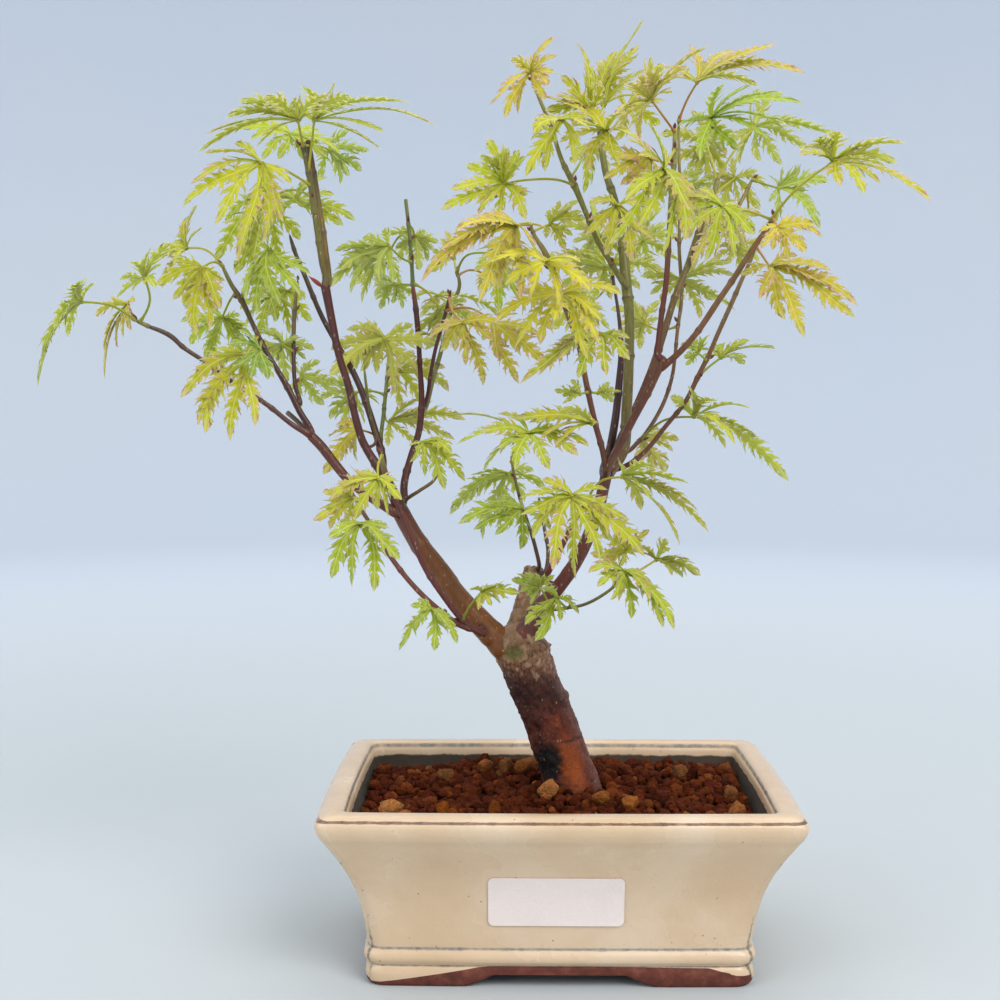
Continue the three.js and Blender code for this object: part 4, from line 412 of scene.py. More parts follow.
# ------------------------------------------------------------------ the tree's data: [x, y, z, radius] stations, leaf stalks and lobe tips, mm
TREE = [
    {"name": "trunk", "kind": "bark",
     "limbs": [[[41.9, 7, 51.3, 13.05], [40.2, 7, 60.6, 11.82], [37.2, 7, 69.9, 11.01], [33.9, 6, 79.7, 10.79], [28.9, 5, 93.7, 10.26], [22.7, 4, 108.9, 10.55], [19.4, 3.5, 117.7, 10.95], [16.9, 3, 123.9, 10.13]],
               [[16.9, 6, 123.4, 6.92], [19, 8, 130.6, 5.51], [21, 9.9, 139.5, 4.71], [23.1, 10.9, 146.8, 4.51], [23.9, 11.4, 152.6, 4.11]]],
     "leaves": []},
    {"name": "left_branch", "kind": "twig",
     "limbs": [[[17.4, 3, 122.8, 5.45], [13.3, 1, 121, 5.45], [8, 0.5, 125.6, 5.34], [0.3, -1, 133.6, 5.13], [-8.1, -3, 143.6, 4.51], [-14.1, -4, 152.7, 4.2], [-22.4, -6, 164.2, 3.79], [-30.1, -7, 178, 3.49]]],
     "leaves": []},
    {"name": "right_branch", "kind": "twig",
     "limbs": [[[16.9, 3, 123.9, 4.84], [17.7, 0, 124.4, 4.84], [21.4, -1, 129.5, 4.02], [26.2, -2, 137.9, 3.41], [31.8, -3, 144.5, 3.01], [37.4, -4, 152, 2.8], [43.4, -5, 162.6, 2.6], [48.9, -6, 177.2, 2.49], [52.5, -7, 192.4, 2.29]]],
     "leaves": []},
    {"name": "left_leader", "kind": "twig",
     "limbs": [[[-30.1, -7, 178, 2.49], [-30.2, -8.1, 178.8, 2.49], [-34.5, -9.1, 188.9, 2.08], [-39.2, -10.1, 196.5, 1.78], [-44.5, -11.1, 206.1, 1.58], [-46.3, -12.1, 212.4, 1.54], [-49.9, -13.1, 228.6, 1.46], [-53, -14.1, 239.1, 1.46], [-55.3, -15.1, 251.2, 1.53], [-58, -16.1, 266.2, 1.8]],
               [[-58, -16.1, 266.2, 1.29], [-57.8, -16.1, 267, 1.29], [-58.9, -18.1, 275.3, 1.21], [-61, -21.1, 293, 1.17]],
               [[-58, -16.1, 266.2, 1.42], [-57.4, -13.1, 267.2, 1.42], [-58.3, -13.1, 280.4, 1.38], [-60.6, -14.1, 297.7, 1.3], [-62.8, -15.1, 313, 1.18], [-64.2, -16.1, 322, 1.1]],
               [[-42.8, -10.7, 203.1, 0.64], [-40, 0, 205.7, 0.64], [-42.2, -2, 217, 0.6], [-43.1, -6, 226.6, 0.56], [-43.8, -8.1, 235.3, 0.52]]],
     "leaves": []},
    {"name": "left_second_twig", "kind": "twig",
     "limbs": [[[-37.7, -9.7, 194.1, 1.5], [-36.9, -4, 195.4, 1.5], [-41.5, 3, 212.1, 1.42], [-49.5, 7, 232.4, 1.26], [-56.6, 8.9, 244.6, 1.15], [-62.5, 9.9, 255.2, 1.02], [-69.9, 10.9, 272.7, 0.94], [-73.7, 10.9, 282, 0.82], [-75.9, 10.9, 289.2, 0.7]]],
     "leaves": []},
    {"name": "left_fork", "kind": "twig",
     "limbs": [[[-30, -7, 177.7, 1.98], [-30.9, -10.1, 177, 1.98], [-36.2, -12.1, 180.3, 1.9], [-42.8, -14.1, 184.8, 1.89], [-49.8, -16.1, 190.9, 1.84], [-54.9, -17.1, 197.2, 1.88], [-59.9, -18.1, 203.9, 1.95], [-63.6, -19.1, 207.9, 1.85]],
               [[-63.6, -19.1, 207.9, 0.98], [-67, -14.1, 210.9, 0.98], [-70.5, -12.1, 214, 0.99], [-74, -11.1, 216.9, 0.99]]],
     "leaves": []},
    {"name": "left_reach", "kind": "twig",
     "limbs": [[[-63.6, -19.1, 207.9, 1.25], [-64.2, -20.1, 208.5, 1.25], [-69.1, -21.1, 211.4, 1.05], [-80.2, -24.1, 220.4, 0.97], [-88.7, -26.1, 226.2, 0.93], [-97.9, -28.1, 232.7, 0.88], [-100.3, -29.1, 234.9, 0.88], [-111.4, -32, 243, 0.88], [-113.8, -33, 245.5, 0.95], [-121.8, -36, 249.5, 0.76]]],
     "leaves": []},
    {"name": "left_rise", "kind": "twig",
     "limbs": [[[-63.6, -19.1, 207.9, 1.37], [-63.9, -17.1, 209.4, 1.37], [-68.6, -15.1, 217.6, 1.26], [-73.4, -13.1, 226.6, 1.18], [-77.4, -12.1, 233.3, 1.07], [-82.8, -11.1, 241.8, 0.99]]],
     "leaves": []},
    {"name": "left_upright", "kind": "twig",
     "limbs": [[[-30.1, -7, 178, 1.61], [-28.7, -2, 182, 1.61], [-28.9, 1, 186.7, 1.53], [-26.1, 8, 199.8, 1.43], [-23.5, 11.9, 208.7, 1.36], [-22.6, 13.9, 216.9, 1.32], [-23.3, 15.9, 237.4, 1.03], [-25, 16.9, 260.4, 1.08], [-26.1, 17.9, 267.9, 0.83]]],
     "leaves": []},
    {"name": "right_front_twig", "kind": "twig",
     "limbs": [[[52.5, -7, 192.4, 1.66], [52.1, -11.1, 193.8, 1.66], [56.7, -13.1, 202.6, 1.58], [61, -15.1, 211.7, 1.49], [68.4, -19.1, 226.2, 1.44], [71.7, -22.1, 233.9, 1.55], [73.2, -22.1, 237.3, 1.94]]],
     "leaves": []},
    {"name": "right_front_twig_up", "kind": "twig",
     "limbs": [[[73.2, -22.1, 237.3, 1.28], [71.2, -23.1, 238.8, 1.28], [71.3, -24.1, 244.9, 1.12], [72.2, -24.1, 253.4, 1.08], [73.9, -25.1, 267, 1.08], [74.7, -26.1, 282.8, 1.08], [75.6, -26.1, 300.9, 1.04]]],
     "leaves": []},
    {"name": "right_front_twig_out", "kind": "twig",
     "limbs": [[[73.2, -22.1, 237.3, 1.24], [75.4, -24.1, 236.9, 1.24], [77.8, -26.1, 238, 1.2], [83.9, -28.1, 245.6, 1.15], [93.4, -31.1, 259.8, 1.15], [98.8, -32, 267.9, 1.11], [106.2, -34, 279.8, 1.06], [111, -34.9, 286.6, 1]]],
     "leaves": []},
    {"name": "right_green_stem", "kind": "green",
     "limbs": [[[52.5, -7, 192.4, 2.21], [55, -3, 194.6, 2.21], [58.5, -3, 199.6, 2.17], [60.6, -3, 218.3, 2.09], [61.5, -2, 238, 2.01], [61.5, -1, 257.7, 1.97], [60.5, 0, 267.3, 2.1], [57.6, 3, 292.9, 1.66], [55.7, 4, 302.2, 1.54], [52.5, 6, 312.4, 1.38], [50.6, 6.9, 325.2, 1.27]]],
     "leaves": []},
    {"name": "right_back_twig", "kind": "twig",
     "limbs": [[[52.5, -7, 192.4, 1.82], [54.8, 1, 195.3, 1.82], [59.5, 5, 207.2, 1.75], [64.1, 8, 216.1, 1.67], [72.4, 11.9, 235.7, 1.56], [77.9, 14.9, 252.1, 1.49], [82.1, 16.9, 265.2, 1.41], [86.4, 18.9, 275.2, 1.37], [91.1, 20.9, 289.2, 1.33], [96.1, 22.7, 301.7, 1.27]]],
     "leaves": []},
    {"name": "right_dark_stem", "kind": "twig",
     "limbs": [[[52.5, -7, 192.4, 1.83], [52.2, 4, 194.3, 1.83], [53.9, 6, 199.2, 1.75], [56.7, 8.9, 212.6, 1.64], [58.5, 10.9, 228.3, 1.52], [59.3, 11.9, 238.5, 1.27], [58.9, 13.9, 252, 0.82], [56.9, 15.9, 266.8, 0.62]]],
     "leaves": []},
    {"name": "centre_cut_twig", "kind": "twig",
     "limbs": [[[23.8, 11.4, 151.8, 0.85], [28.3, 4, 151.8, 0.85], [29.6, 6, 160.2, 0.77], [28.5, 8, 167.2, 0.74], [27.1, 9.9, 174.4, 0.61], [25.9, 10.9, 181.6, 0.49]]],
     "leaves": []},
    {"name": "left_reach_leaves", "kind": "leaf",
     "limbs": [[[-122.1, -36.2, 249.6, 0.76], [-127.9, -39, 252.5, 0.6]]],
     "leaves": [{"tint": "g", "stalk": [[-126.9, -38.5, 252], [-133.3, -46.3, 256.8], [-142.1, -54, 257.8]], "tips": [[-156.6, -61.5, 226.4], [-138.7, -74, 261.4], [-134.7, -74, 264.6], [-153.7, -63, 236.5], [-146.9, -71.3, 246.9]]},
                {"tint": "o", "stalk": [[-126.9, -38.5, 252], [-133.1, -24.1, 258.5]], "tips": [[-134.9, -32.8, 241.7], [-140.8, -30.5, 229.6], [-142.1, -37.9, 253.9], [-140.8, -31.2, 240.2], [-127.5, -40.6, 248.2]]},
                {"tint": "g", "stalk": [[-125.2, -37.7, 251.2], [-119.5, -44.9, 259.1], [-119.4, -52, 266.2]], "tips": [[-125.9, -63.4, 265], [-128.2, -59.3, 258.5], [-109.4, -57.7, 279.1], [-112, -66, 262], [-122.4, -64, 271.4], [-114.9, -62.3, 275.8]]}]},
    {"name": "left_rise_leaves", "kind": "leaf",
     "limbs": [[[-82.9, -11, 242.1, 0.99], [-88.1, -10.1, 253, 0.95], [-91.9, -10.1, 261.2, 1.11], [-95.7, -10.1, 267.1, 0.91], [-99.6, -10.1, 275.5, 0.71]]],
     "leaves": [{"tint": "y", "stalk": [[-99, -10.1, 274.3], [-101.1, -17.1, 275.5], [-104.3, -24.1, 272.6]], "tips": [[-105.8, -29.5, 246.7], [-109.4, -28.3, 256.3], [-96, -30.2, 256.6], [-120.9, -30.8, 265.6], [-115.1, -28.2, 260.1], [-100.9, -29.1, 248.6]]},
                {"tint": "y", "stalk": [[-99, -10.1, 274.3], [-107.1, -3, 281.5], [-116.2, 4, 282.9]], "tips": [[-112.9, 10.3, 300.9], [-121.3, 18.2, 291.7], [-132.2, 7.9, 277.7], [-128.2, 10.9, 266.6], [-134.2, -0.7, 271.8], [-116.7, 12.8, 297.2]]},
                {"tint": "g", "stalk": [[-91.9, -10.1, 261.2], [-87.8, -13.1, 272.7], [-79.8, -16.1, 280.6]], "tips": [[-83.4, -21.5, 255.1], [-62.5, -22.9, 270], [-78.4, -32.8, 286.4], [-74.4, -23.9, 258.4], [-87.6, -23.8, 260.4], [-66.7, -23.7, 262.3]]},
                {"tint": "d", "stalk": [[-84.1, -10.8, 244.6], [-79.4, -41, 240.7]], "tips": [[-90.5, -45.3, 242.8], [-86.8, -45, 248], [-82.5, -45, 230.2], [-89.1, -45.3, 234.6], [-75.8, -45.1, 229.4]]},
                {"tint": "y", "stalk": [[-85.3, -10.6, 247.1], [-85.6, -36, 238.6]], "tips": [[-109.4, -42.3, 222.7], [-103.9, -41.2, 230.2], [-102.7, -42.8, 212.3], [-100, -43.1, 209.3], [-90.7, -43, 206.3], [-80.8, -45.6, 212]]},
                {"tint": "g", "stalk": [[-93.9, -10.1, 264.4], [-97.9, -2, 261.7], [-102.8, 6, 255]], "tips": [[-109.1, 1.9, 237.1], [-117.3, 11.9, 244.3], [-96.9, 12.5, 238.2], [-92.7, 12.6, 248.4], [-105, 1.4, 233.9], [-121.3, 12, 253.7]]}]},
    {"name": "left_rise_side", "kind": "leaf",
     "limbs": [[[-70.1, -14.4, 220.4, 0.99], [-69.2, -12.1, 220.3, 0.99], [-71.6, -6, 227.8, 0.88], [-73, 0, 242.1, 0.81], [-73.1, 4, 257.3, 0.89], [-72.7, 5, 263, 0.69], [-71.9, 6, 270.3, 0.57]]],
     "leaves": [{"tint": "g", "stalk": [[-71.6, -6, 227.8], [-71.5, 9.9, 230.8]], "tips": [[-64.4, 18.3, 237.9], [-56.7, 15.5, 228], [-54.8, 6.2, 223.4], [-71.8, 16.6, 218.9], [-62.5, 15.2, 219.7]]},
                {"tint": "g", "stalk": [[-72.1, 5.8, 269], [-80.4, 35, 267.8]], "tips": [[-89.8, 39.8, 257.6], [-69.4, 31.4, 255], [-79.1, 31, 249.1], [-89.4, 43.2, 264.6], [-74.4, 43.5, 264.6]]},
                {"tint": "g", "stalk": [[-73.1, 4, 257.3], [-79, 17.9, 263], [-86.7, 31.9, 265.5]], "tips": [[-99.1, 38.3, 251.5], [-92.9, 27.3, 244.8], [-101, 35.6, 259.9], [-88.9, 38.5, 247.3], [-93, 44.5, 273.2]]},
                {"tint": "g", "stalk": [[-72.9, -0.5, 241.1], [-77.1, -1, 243.9]], "tips": [[-91.2, 4.1, 250.1], [-86.5, 4.1, 231.9], [-71.1, 4, 231.5], [-64.8, 3, 242], [-93.7, -4.8, 239.4], [-77.3, 4.6, 227.9]]}]},
    {"name": "left_leader_leaves", "kind": "leaf",
     "limbs": [[[-61.1, -21.1, 293.4, 1.17], [-63.3, -23.1, 309.9, 1.05], [-65.2, -24.1, 319.9, 0.93]]],
     "leaves": [{"tint": "y", "stalk": [[-62.5, -22.4, 304.1], [-69.8, -38.2, 307.6], [-76, -54, 307.8]], "tips": [[-103.4, -61.1, 290.5], [-95, -63.5, 309.9], [-91, -64.1, 284.1], [-83.3, -61.9, 271.5], [-67.3, -59.7, 286], [-99.8, -63.6, 298.6], [-74.1, -64.6, 277.3]]},
                {"tint": "y", "stalk": [[-63.2, -23, 309.1], [-61, -27.5, 320.4], [-59.6, -32, 326.7]], "tips": [[-12.7, -42, 322.6], [-32.4, -45.2, 320.3], [-22.5, -45.2, 330.8], [-43, -52, 331.3], [-49.1, -52, 336.3], [-61.8, -52, 335.6]]},
                {"tint": "y", "stalk": [[-64.9, -23.9, 318.6], [-62.7, -52, 323.1]], "tips": [[-87.4, -61.5, 322.5], [-98.2, -60.4, 310], [-82.8, -61, 328.6], [-95.1, -59.4, 316.9], [-72.4, -71.4, 327.6], [-48.5, -71.9, 328.5]]},
                {"tint": "g", "stalk": [[-64.7, -23.8, 317.4], [-72.6, -6, 326]], "tips": [[-87.5, -11.7, 323.2], [-52, -10.7, 317.5], [-57.3, -12.1, 316.5], [-95.2, -1.3, 330.8], [-82.9, -11.3, 315.5]]},
                {"tint": "g", "stalk": [[-61.8, -21.7, 298.7], [-67.7, -6.9, 298.2], [-72.6, 8, 302.1]], "tips": [[-47.8, 2.5, 293.4], [-57.3, 11.9, 305], [-59.9, 13.8, 312.5], [-52.7, 3.3, 291.6], [-87.9, 16.4, 301.6], [-85.1, 14.3, 293.2]]},
                {"tint": "g", "stalk": [[-61.9, -21.9, 299.8], [-72.3, -10, 304.1], [-85.4, 2, 300.2]], "tips": [[-103.3, -4.4, 276.6], [-95.3, -4.5, 271.5], [-87.3, -5, 267.5], [-79.8, 10.6, 277.9], [-71.3, 9.4, 286.6], [-102.6, 13.6, 293.2]]},
                {"tint": "g", "stalk": [[-64.9, -23.9, 318.8], [-62.1, -2.5, 322.3], [-60.1, 18.9, 324.2]], "tips": [[-44.2, 24.8, 325.1], [-47.5, 24.6, 316.1], [-56.7, 24.3, 310.7], [-65.9, 25.3, 313], [-52.8, 28.1, 333.9]]}]},
    {"name": "left_inner", "kind": "leaf",
     "limbs": [[[-36.6, -9.5, 192.3, 1.01], [-37.6, 4, 193.4, 1.01], [-39, 8.9, 203.8, 0.9], [-37.9, 12.9, 217.7, 0.82], [-36.9, 15.9, 230.8, 0.74], [-36.1, 17.9, 241.6, 0.62]]],
     "leaves": [{"tint": "y", "stalk": [[-36.2, 17.7, 240.3], [-37, 5, 246.5]], "tips": [[-58.7, -0.7, 231.5], [-55.6, 13.2, 230.8], [-32.9, 13, 224.3], [-53.5, 14.6, 250.5], [-14.8, 13, 244.3], [-47.7, 13.4, 233.3], [-23.8, 11.7, 233.2], [-59.9, 12.8, 242.3]]},
                {"tint": "y", "stalk": [[-36.9, 15.9, 230.8], [-33.1, 30.9, 234]], "tips": [[-11.7, 26.1, 225.1], [-13.4, 35.2, 235.3], [-23, 37.4, 219.1], [-33.2, 36.5, 218.3], [-27.4, 41, 243.1]]},
                {"tint": "o", "stalk": [[-38.9, 9.4, 205.5], [-42.5, 4.7, 208.4], [-46.5, 0, 209.8]], "tips": [[-60, 7.5, 206.7], [-60.9, -5, 191.9], [-55.3, 5.3, 196.6], [-57.5, 11, 211.6], [-48.1, 7.3, 196.5]]},
                {"tint": "y", "stalk": [[-37.9, 12.9, 217.7], [-37.9, 22.4, 213.4], [-37.5, 31.9, 212.4]], "tips": [[-16.3, 39.7, 208.4], [-5.1, 38.8, 213.1], [-9.2, 25.8, 205], [-25, 41.6, 199.3], [-20.7, 42.3, 216.5]]},
                {"tint": "g", "stalk": [[-37.4, 14.4, 223.8], [-43.9, 19.7, 225.5], [-51.1, 24.9, 224.7]], "tips": [[-62.4, 30.4, 213.3], [-66.5, 30.2, 221.7], [-56.1, 30.6, 209], [-47.5, 29.9, 211.2], [-41.3, 32.1, 219.6], [-64.3, 29.8, 230.2]]}]},
    {"name": "left_upright_leaves", "kind": "leaf",
     "limbs": [[[-26.1, 18, 268.3, 0.83], [-27.4, 18.9, 288.4, 0.79], [-29.1, 19.9, 304, 0.75]]],
     "leaves": [{"tint": "g", "stalk": [[-26.8, 18.5, 278.5], [-29.7, 7.2, 279.1], [-34, -4, 282.8]], "tips": [[-54.9, -11.8, 280.2], [-43.2, -18.3, 283.4], [-56.4, -10, 266.3], [-48.7, -9.2, 263.6], [-44.3, -9.5, 259.7], [-37, -15.1, 268.6], [-52.6, -11.7, 272.8]]},
                {"tint": "g", "stalk": [[-28, 19.3, 293.7], [-27.3, 30.6, 293.7], [-26.9, 42, 291.6]], "tips": [[-19, 45.9, 285.6], [-22, 46.3, 281], [-16.8, 45.2, 289.4], [-39.2, 46.2, 292.5], [-24.6, 38.8, 276.9], [-33.7, 46.5, 281]]},
                {"tint": "g", "stalk": [[-26.2, 18, 269.1], [-34.4, 34, 270.7]], "tips": [[-32.1, 36.7, 260.3], [-41.7, 38.5, 260], [-44.1, 37.2, 265.9], [-24.6, 38.3, 264.2], [-45, 38.1, 272.7]]},
                {"tint": "y", "stalk": [[-26.2, 18.1, 269.9], [-21.1, 16.5, 266.9], [-14.8, 14.9, 259.5]], "tips": [[-2.4, 10.8, 244.2], [-8.5, 10.9, 241.4], [-21.5, 21.4, 242.5], [1.4, 21.1, 254.1], [-25.5, 20.3, 248.7], [5.8, 10, 248.2]]},
                {"tint": "g", "stalk": [[-27.3, 18.9, 286.7], [-32.6, 33.4, 290.7], [-40.3, 48, 281.1]], "tips": [[-56, 53.3, 281.6], [-54, 53.7, 271.7], [-45.3, 54, 265.2], [-34.2, 52.8, 269.5], [-51.4, 51.5, 288.8]]}]},
    {"name": "left_side", "kind": "leaf",
     "limbs": [[[-30.1, -7, 178, 0.8], [-28.1, -4, 181.4, 0.8], [-21.9, -7, 185.8, 0.72], [-16.2, -10.1, 190, 0.63], [-13.6, -11.1, 193.8, 0.47]]],
     "leaves": [{"tint": "g", "stalk": [[-14.3, -10.8, 192.7], [-15.6, -18.4, 200.4], [-19, -26.1, 205.8]], "tips": [[-18.4, -29.6, 192.4], [-3, -30.7, 190.6], [-10.7, -30.3, 187.5], [-7.9, -33.4, 201.1], [-23.7, -36.4, 198.5]]}]},
    {"name": "left_right", "kind": "leaf",
     "limbs": [[[-22.6, 14, 217.8, 1.12], [-22, 15.9, 217.7, 1.12], [-18.1, 19.9, 230.5, 1], [-16.1, 21.9, 237.5, 0.96], [-12.8, 23.9, 250.1, 0.88], [-10.1, 24.9, 260.9, 0.84], [-7.2, 24.9, 270.4, 0.76], [-8.6, 24.9, 275.8, 0.59]],
               [[-22.6, 14, 217.4, 0.87], [-22.4, 15.4, 217.2, 0.87], [-20.2, 16.9, 223.4, 0.87], [-19, 13.9, 230.4, 0.82], [-16.7, 9.9, 241.4, 0.78], [-12, 8, 257.9, 0.69], [-9.9, 7, 266.3, 0.57]]],
     "leaves": [{"tint": "g", "stalk": [[-8.3, 24.9, 274.5], [-4.1, 15.4, 280.7], [5.1, 6, 281]], "tips": [[25.6, 0.4, 264.6], [16.8, 18.6, 283.4], [9.6, 0.7, 256.6], [22.1, 12.4, 274.7], [0.9, 12.5, 263.4], [18, 1.1, 261.8]]},
                {"tint": "y", "stalk": [[-8.3, 24.9, 274.5], [-10.3, 45, 282.1]], "tips": [[-20, 48.6, 286.3], [-16.5, 48.8, 291.5], [-3.6, 48.7, 290.6], [-20.5, 42.5, 276.4], [-14.3, 47.7, 294.8]]},
                {"tint": "o", "stalk": [[-8, 24.9, 273.4], [-3.2, 37.5, 276.8], [2, 50, 276.5]], "tips": [[19.8, 45.9, 269.8], [11.9, 53, 269.9], [15.8, 55.1, 281.7], [9.3, 55.5, 263.1], [18, 46.5, 275.4]]},
                {"tint": "y", "stalk": [[-10.1, 24.9, 260.9], [-17.4, 48, 266.5]], "tips": [[-9, 64.3, 264.5], [10.8, 41.6, 256.3], [-26.2, 62.3, 257.8], [-30.6, 62.4, 265.7], [0.5, 56.2, 252.3]]},
                {"tint": "o", "stalk": [[-12, 8, 257.9], [-2, -1, 258.5], [7.4, -10.1, 252.2]], "tips": [[28.6, -15.7, 235.9], [17.6, -17.2, 240.6], [17.6, -15.6, 228.1], [25.8, -16.8, 247.2], [10.2, -18.2, 237.4]]},
                {"tint": "o", "stalk": [[-10.7, 7.3, 263.1], [-8.9, -6.4, 257.5], [-4.1, -20.1, 251.7]], "tips": [[7.7, -29, 244.4], [3.8, -25.5, 227.3], [-2.7, -26, 235], [-12.6, -27.6, 240.3], [-16.4, -28.2, 245.6], [10.4, -27.6, 250.6]]}]},
    {"name": "left_front", "kind": "leaf",
     "limbs": [[[2.9, -0.5, 130.9, 1.22], [3, -12.1, 128.8, 1.22], [-4.5, -15.6, 135, 1.3], [-11.8, -18.1, 144.5, 1.17], [-19.8, -20.1, 157.4, 1.09], [-24.5, -21.1, 168.9, 1.01], [-29.1, -22.1, 180.3, 0.97], [-32.8, -23.1, 189.7, 0.97], [-35.2, -24.1, 197.9, 1.08], [-35.6, -24.1, 201.8, 0.77]]],
     "leaves": [{"tint": "y", "stalk": [[-35.5, -24.1, 200.5], [-35.9, -35, 197.3], [-34.9, -46, 193]], "tips": [[-30.8, -51.3, 178.8], [-43.2, -49.8, 177.5], [-47.8, -50.9, 189.9], [-52.4, -50.2, 185], [-25.5, -52.3, 185.2]]},
                {"tint": "g", "stalk": [[-4.5, -15.6, 135], [-1.3, -25.8, 142], [3.6, -36, 148.9]], "tips": [[-0.7, -43.9, 150.7], [7.5, -42.4, 144.4], [18.1, -39.1, 148.9], [12.4, -38.3, 151.5], [2.2, -41.9, 142.8]]}]},
    {"name": "left_low", "kind": "leaf",
     "limbs": [[[1.5, -0.8, 132.3, 1.18], [1.8, -12.1, 130.4, 1.18], [-5.6, -16.1, 133, 1.18], [-14.2, -20.1, 140, 1.09], [-24.1, -23.1, 150.2, 1.01], [-31.9, -25.1, 160.7, 0.97], [-38.4, -27.1, 171.9, 0.85], [-44.3, -29.1, 182, 0.77], [-47.2, -30.1, 188.2, 0.57]]],
     "leaves": [{"tint": "y", "stalk": [[-46.7, -29.9, 187.1], [-44.9, -44, 185.3]], "tips": [[-59.2, -47.6, 177.3], [-54.6, -47.8, 181.9], [-52.9, -47.1, 173.6], [-47.3, -46.6, 175.4], [-55.6, -48.1, 187.8]]},
                {"tint": "g", "stalk": [[-38.4, -27.1, 171.9], [-39.5, -38.5, 174.3], [-41.3, -50, 176.1]], "tips": [[-51.8, -61.7, 172], [-51.7, -54.9, 156.1], [-35.8, -55.5, 151.4], [-26, -57, 163.4], [-43.9, -55.1, 152.8], [-31, -62.5, 169.5]]},
                {"tint": "g", "stalk": [[-10.8, -18.5, 137.2], [-12.9, -28.3, 140], [-15.8, -38, 142.6]], "tips": [[-27.7, -42.3, 127.1], [-14.4, -43.6, 127.4], [-5.8, -41.5, 129.7], [-21.4, -44.9, 134.8], [-23.1, -47.7, 145.5], [-8.2, -45.5, 136.5]]}]},
    {"name": "right_short", "kind": "leaf",
     "limbs": [[[33.8, -3.4, 147.1, 1.31], [28.5, -10.1, 150.3, 1.31], [32.3, -14.1, 159.5, 1.26], [36.6, -17.1, 168.6, 1.17], [41.5, -20.1, 178.3, 0.97], [44.6, -21.1, 183, 0.78]]],
     "leaves": [{"tint": "y", "stalk": [[43.9, -20.8, 182], [37.2, -52, 186.7]], "tips": [[38.6, -58.6, 156.4], [22.8, -58.5, 171.4], [63.6, -59.4, 164.9], [51, -57.4, 170.6], [17.7, -62.9, 186.7], [29.7, -62, 160.4], [18, -61.2, 180.4], [47.2, -61.1, 164], [58, -60.2, 178.5]]},
                {"tint": "y", "stalk": [[43.9, -20.8, 182], [48.5, -34.4, 190.9], [55.9, -48, 193.5]], "tips": [[80.1, -57, 191.5], [87.3, -56.1, 173.4], [76.8, -55.1, 168.5], [83.7, -54.7, 181], [64.6, -68, 186.4], [68.1, -67.6, 197.1]]}]},
    {"name": "centre", "kind": "leaf",
     "limbs": [[[23.9, 11.4, 152.6, 0.85], [25.9, 6, 153.2, 0.85], [24.4, 3, 161.7, 0.81], [21.9, -1, 170.3, 0.72], [18.2, -6, 182.1, 0.64], [15.9, -9.1, 191.2, 0.6], [14.5, -11.1, 198.6, 0.51]]],
     "leaves": [{"tint": "y", "stalk": [[14.7, -10.7, 197.3], [16.5, -23.4, 204.1], [21.1, -36, 209.1]], "tips": [[-12.6, -28.9, 215.1], [4.2, -41.9, 194.3], [43.8, -44.4, 204.5], [39.6, -47.3, 201.3], [3.3, -51, 210.3], [29.1, -53.4, 196.4], [-5.8, -45.8, 205.3], [16.2, -54.6, 196.4]]},
                {"tint": "g", "stalk": [[15.9, -9.1, 191.2], [13.1, 15.9, 191.2]], "tips": [[-10.7, 9.8, 174.6], [2.9, 9.8, 164.3], [-2.9, 23.4, 184.1], [-5.9, 23.9, 177.7], [9.7, 22.7, 171.5], [28.6, 24.2, 184]]},
                {"tint": "g", "stalk": [[18.2, -6, 182.1], [19.2, -32, 180.3]], "tips": [[-5.5, -37.4, 175], [0.3, -39.3, 172.9], [18.1, -39.5, 165.4], [8.6, -41.5, 171.2], [29.3, -43.5, 173.3], [2.9, -37.2, 178.4]]}]},
    {"name": "right_low", "kind": "leaf",
     "limbs": [[[28.6, -2.5, 140.7, 0.67], [29.7, -10.1, 138.6, 0.67], [36.3, -16.1, 139.9, 0.63], [42.7, -22.1, 142, 0.62], [49.4, -28.1, 146.3, 0.61], [54.2, -32, 150.7, 0.57], [56.7, -34, 154.5, 0.49]]],
     "leaves": [{"tint": "y", "stalk": [[56, -33.5, 153.5], [56.5, -52, 158.9]], "tips": [[42.6, -65.1, 159.7], [74.6, -58.1, 137.9], [58.8, -57.3, 141.8], [70.6, -57.4, 138.5], [45.8, -66.6, 154.8], [65.2, -63.9, 149.8], [50.5, -66.4, 150.1]]},
                {"tint": "y", "stalk": [[54.2, -32, 150.7], [55.5, -34, 157.2], [58.4, -36, 164.7]], "tips": [[44.5, -40.9, 164.4], [48.2, -40.5, 171.2], [56.5, -39.7, 176.8], [67.2, -39, 173], [48.3, -41, 159.5]]},
                {"tint": "y", "stalk": [[55.8, -33.3, 153.1], [64.7, -24.7, 156.1], [71.7, -16.1, 159]], "tips": [[88.9, -20, 153.2], [76.9, -26.4, 153.9], [84.7, -19.3, 159.4], [81.8, -20.9, 152.5], [64.5, -26.6, 166], [75.3, -26.2, 167.9]]},
                {"tint": "g", "stalk": [[36.3, -16.1, 139.9], [32.2, -36, 146.6]], "tips": [[22.6, -41.3, 141.2], [23.8, -39.9, 130.7], [33.1, -44.8, 139.1], [40.3, -42.9, 141.5], [20, -41.6, 137.1], [25.6, -45.9, 151.7]]},
                {"tint": "g", "stalk": [[29.7, -10.1, 138.6], [28.4, -13.1, 143.5], [26, -16.1, 148.2]], "tips": [[14.5, -13.6, 150.7], [20.1, -18.5, 154.5], [18.1, -19.2, 146.7], [31.8, -20.4, 153.5], [22, -19.2, 141.5]]}]},
    {"name": "right_left", "kind": "leaf",
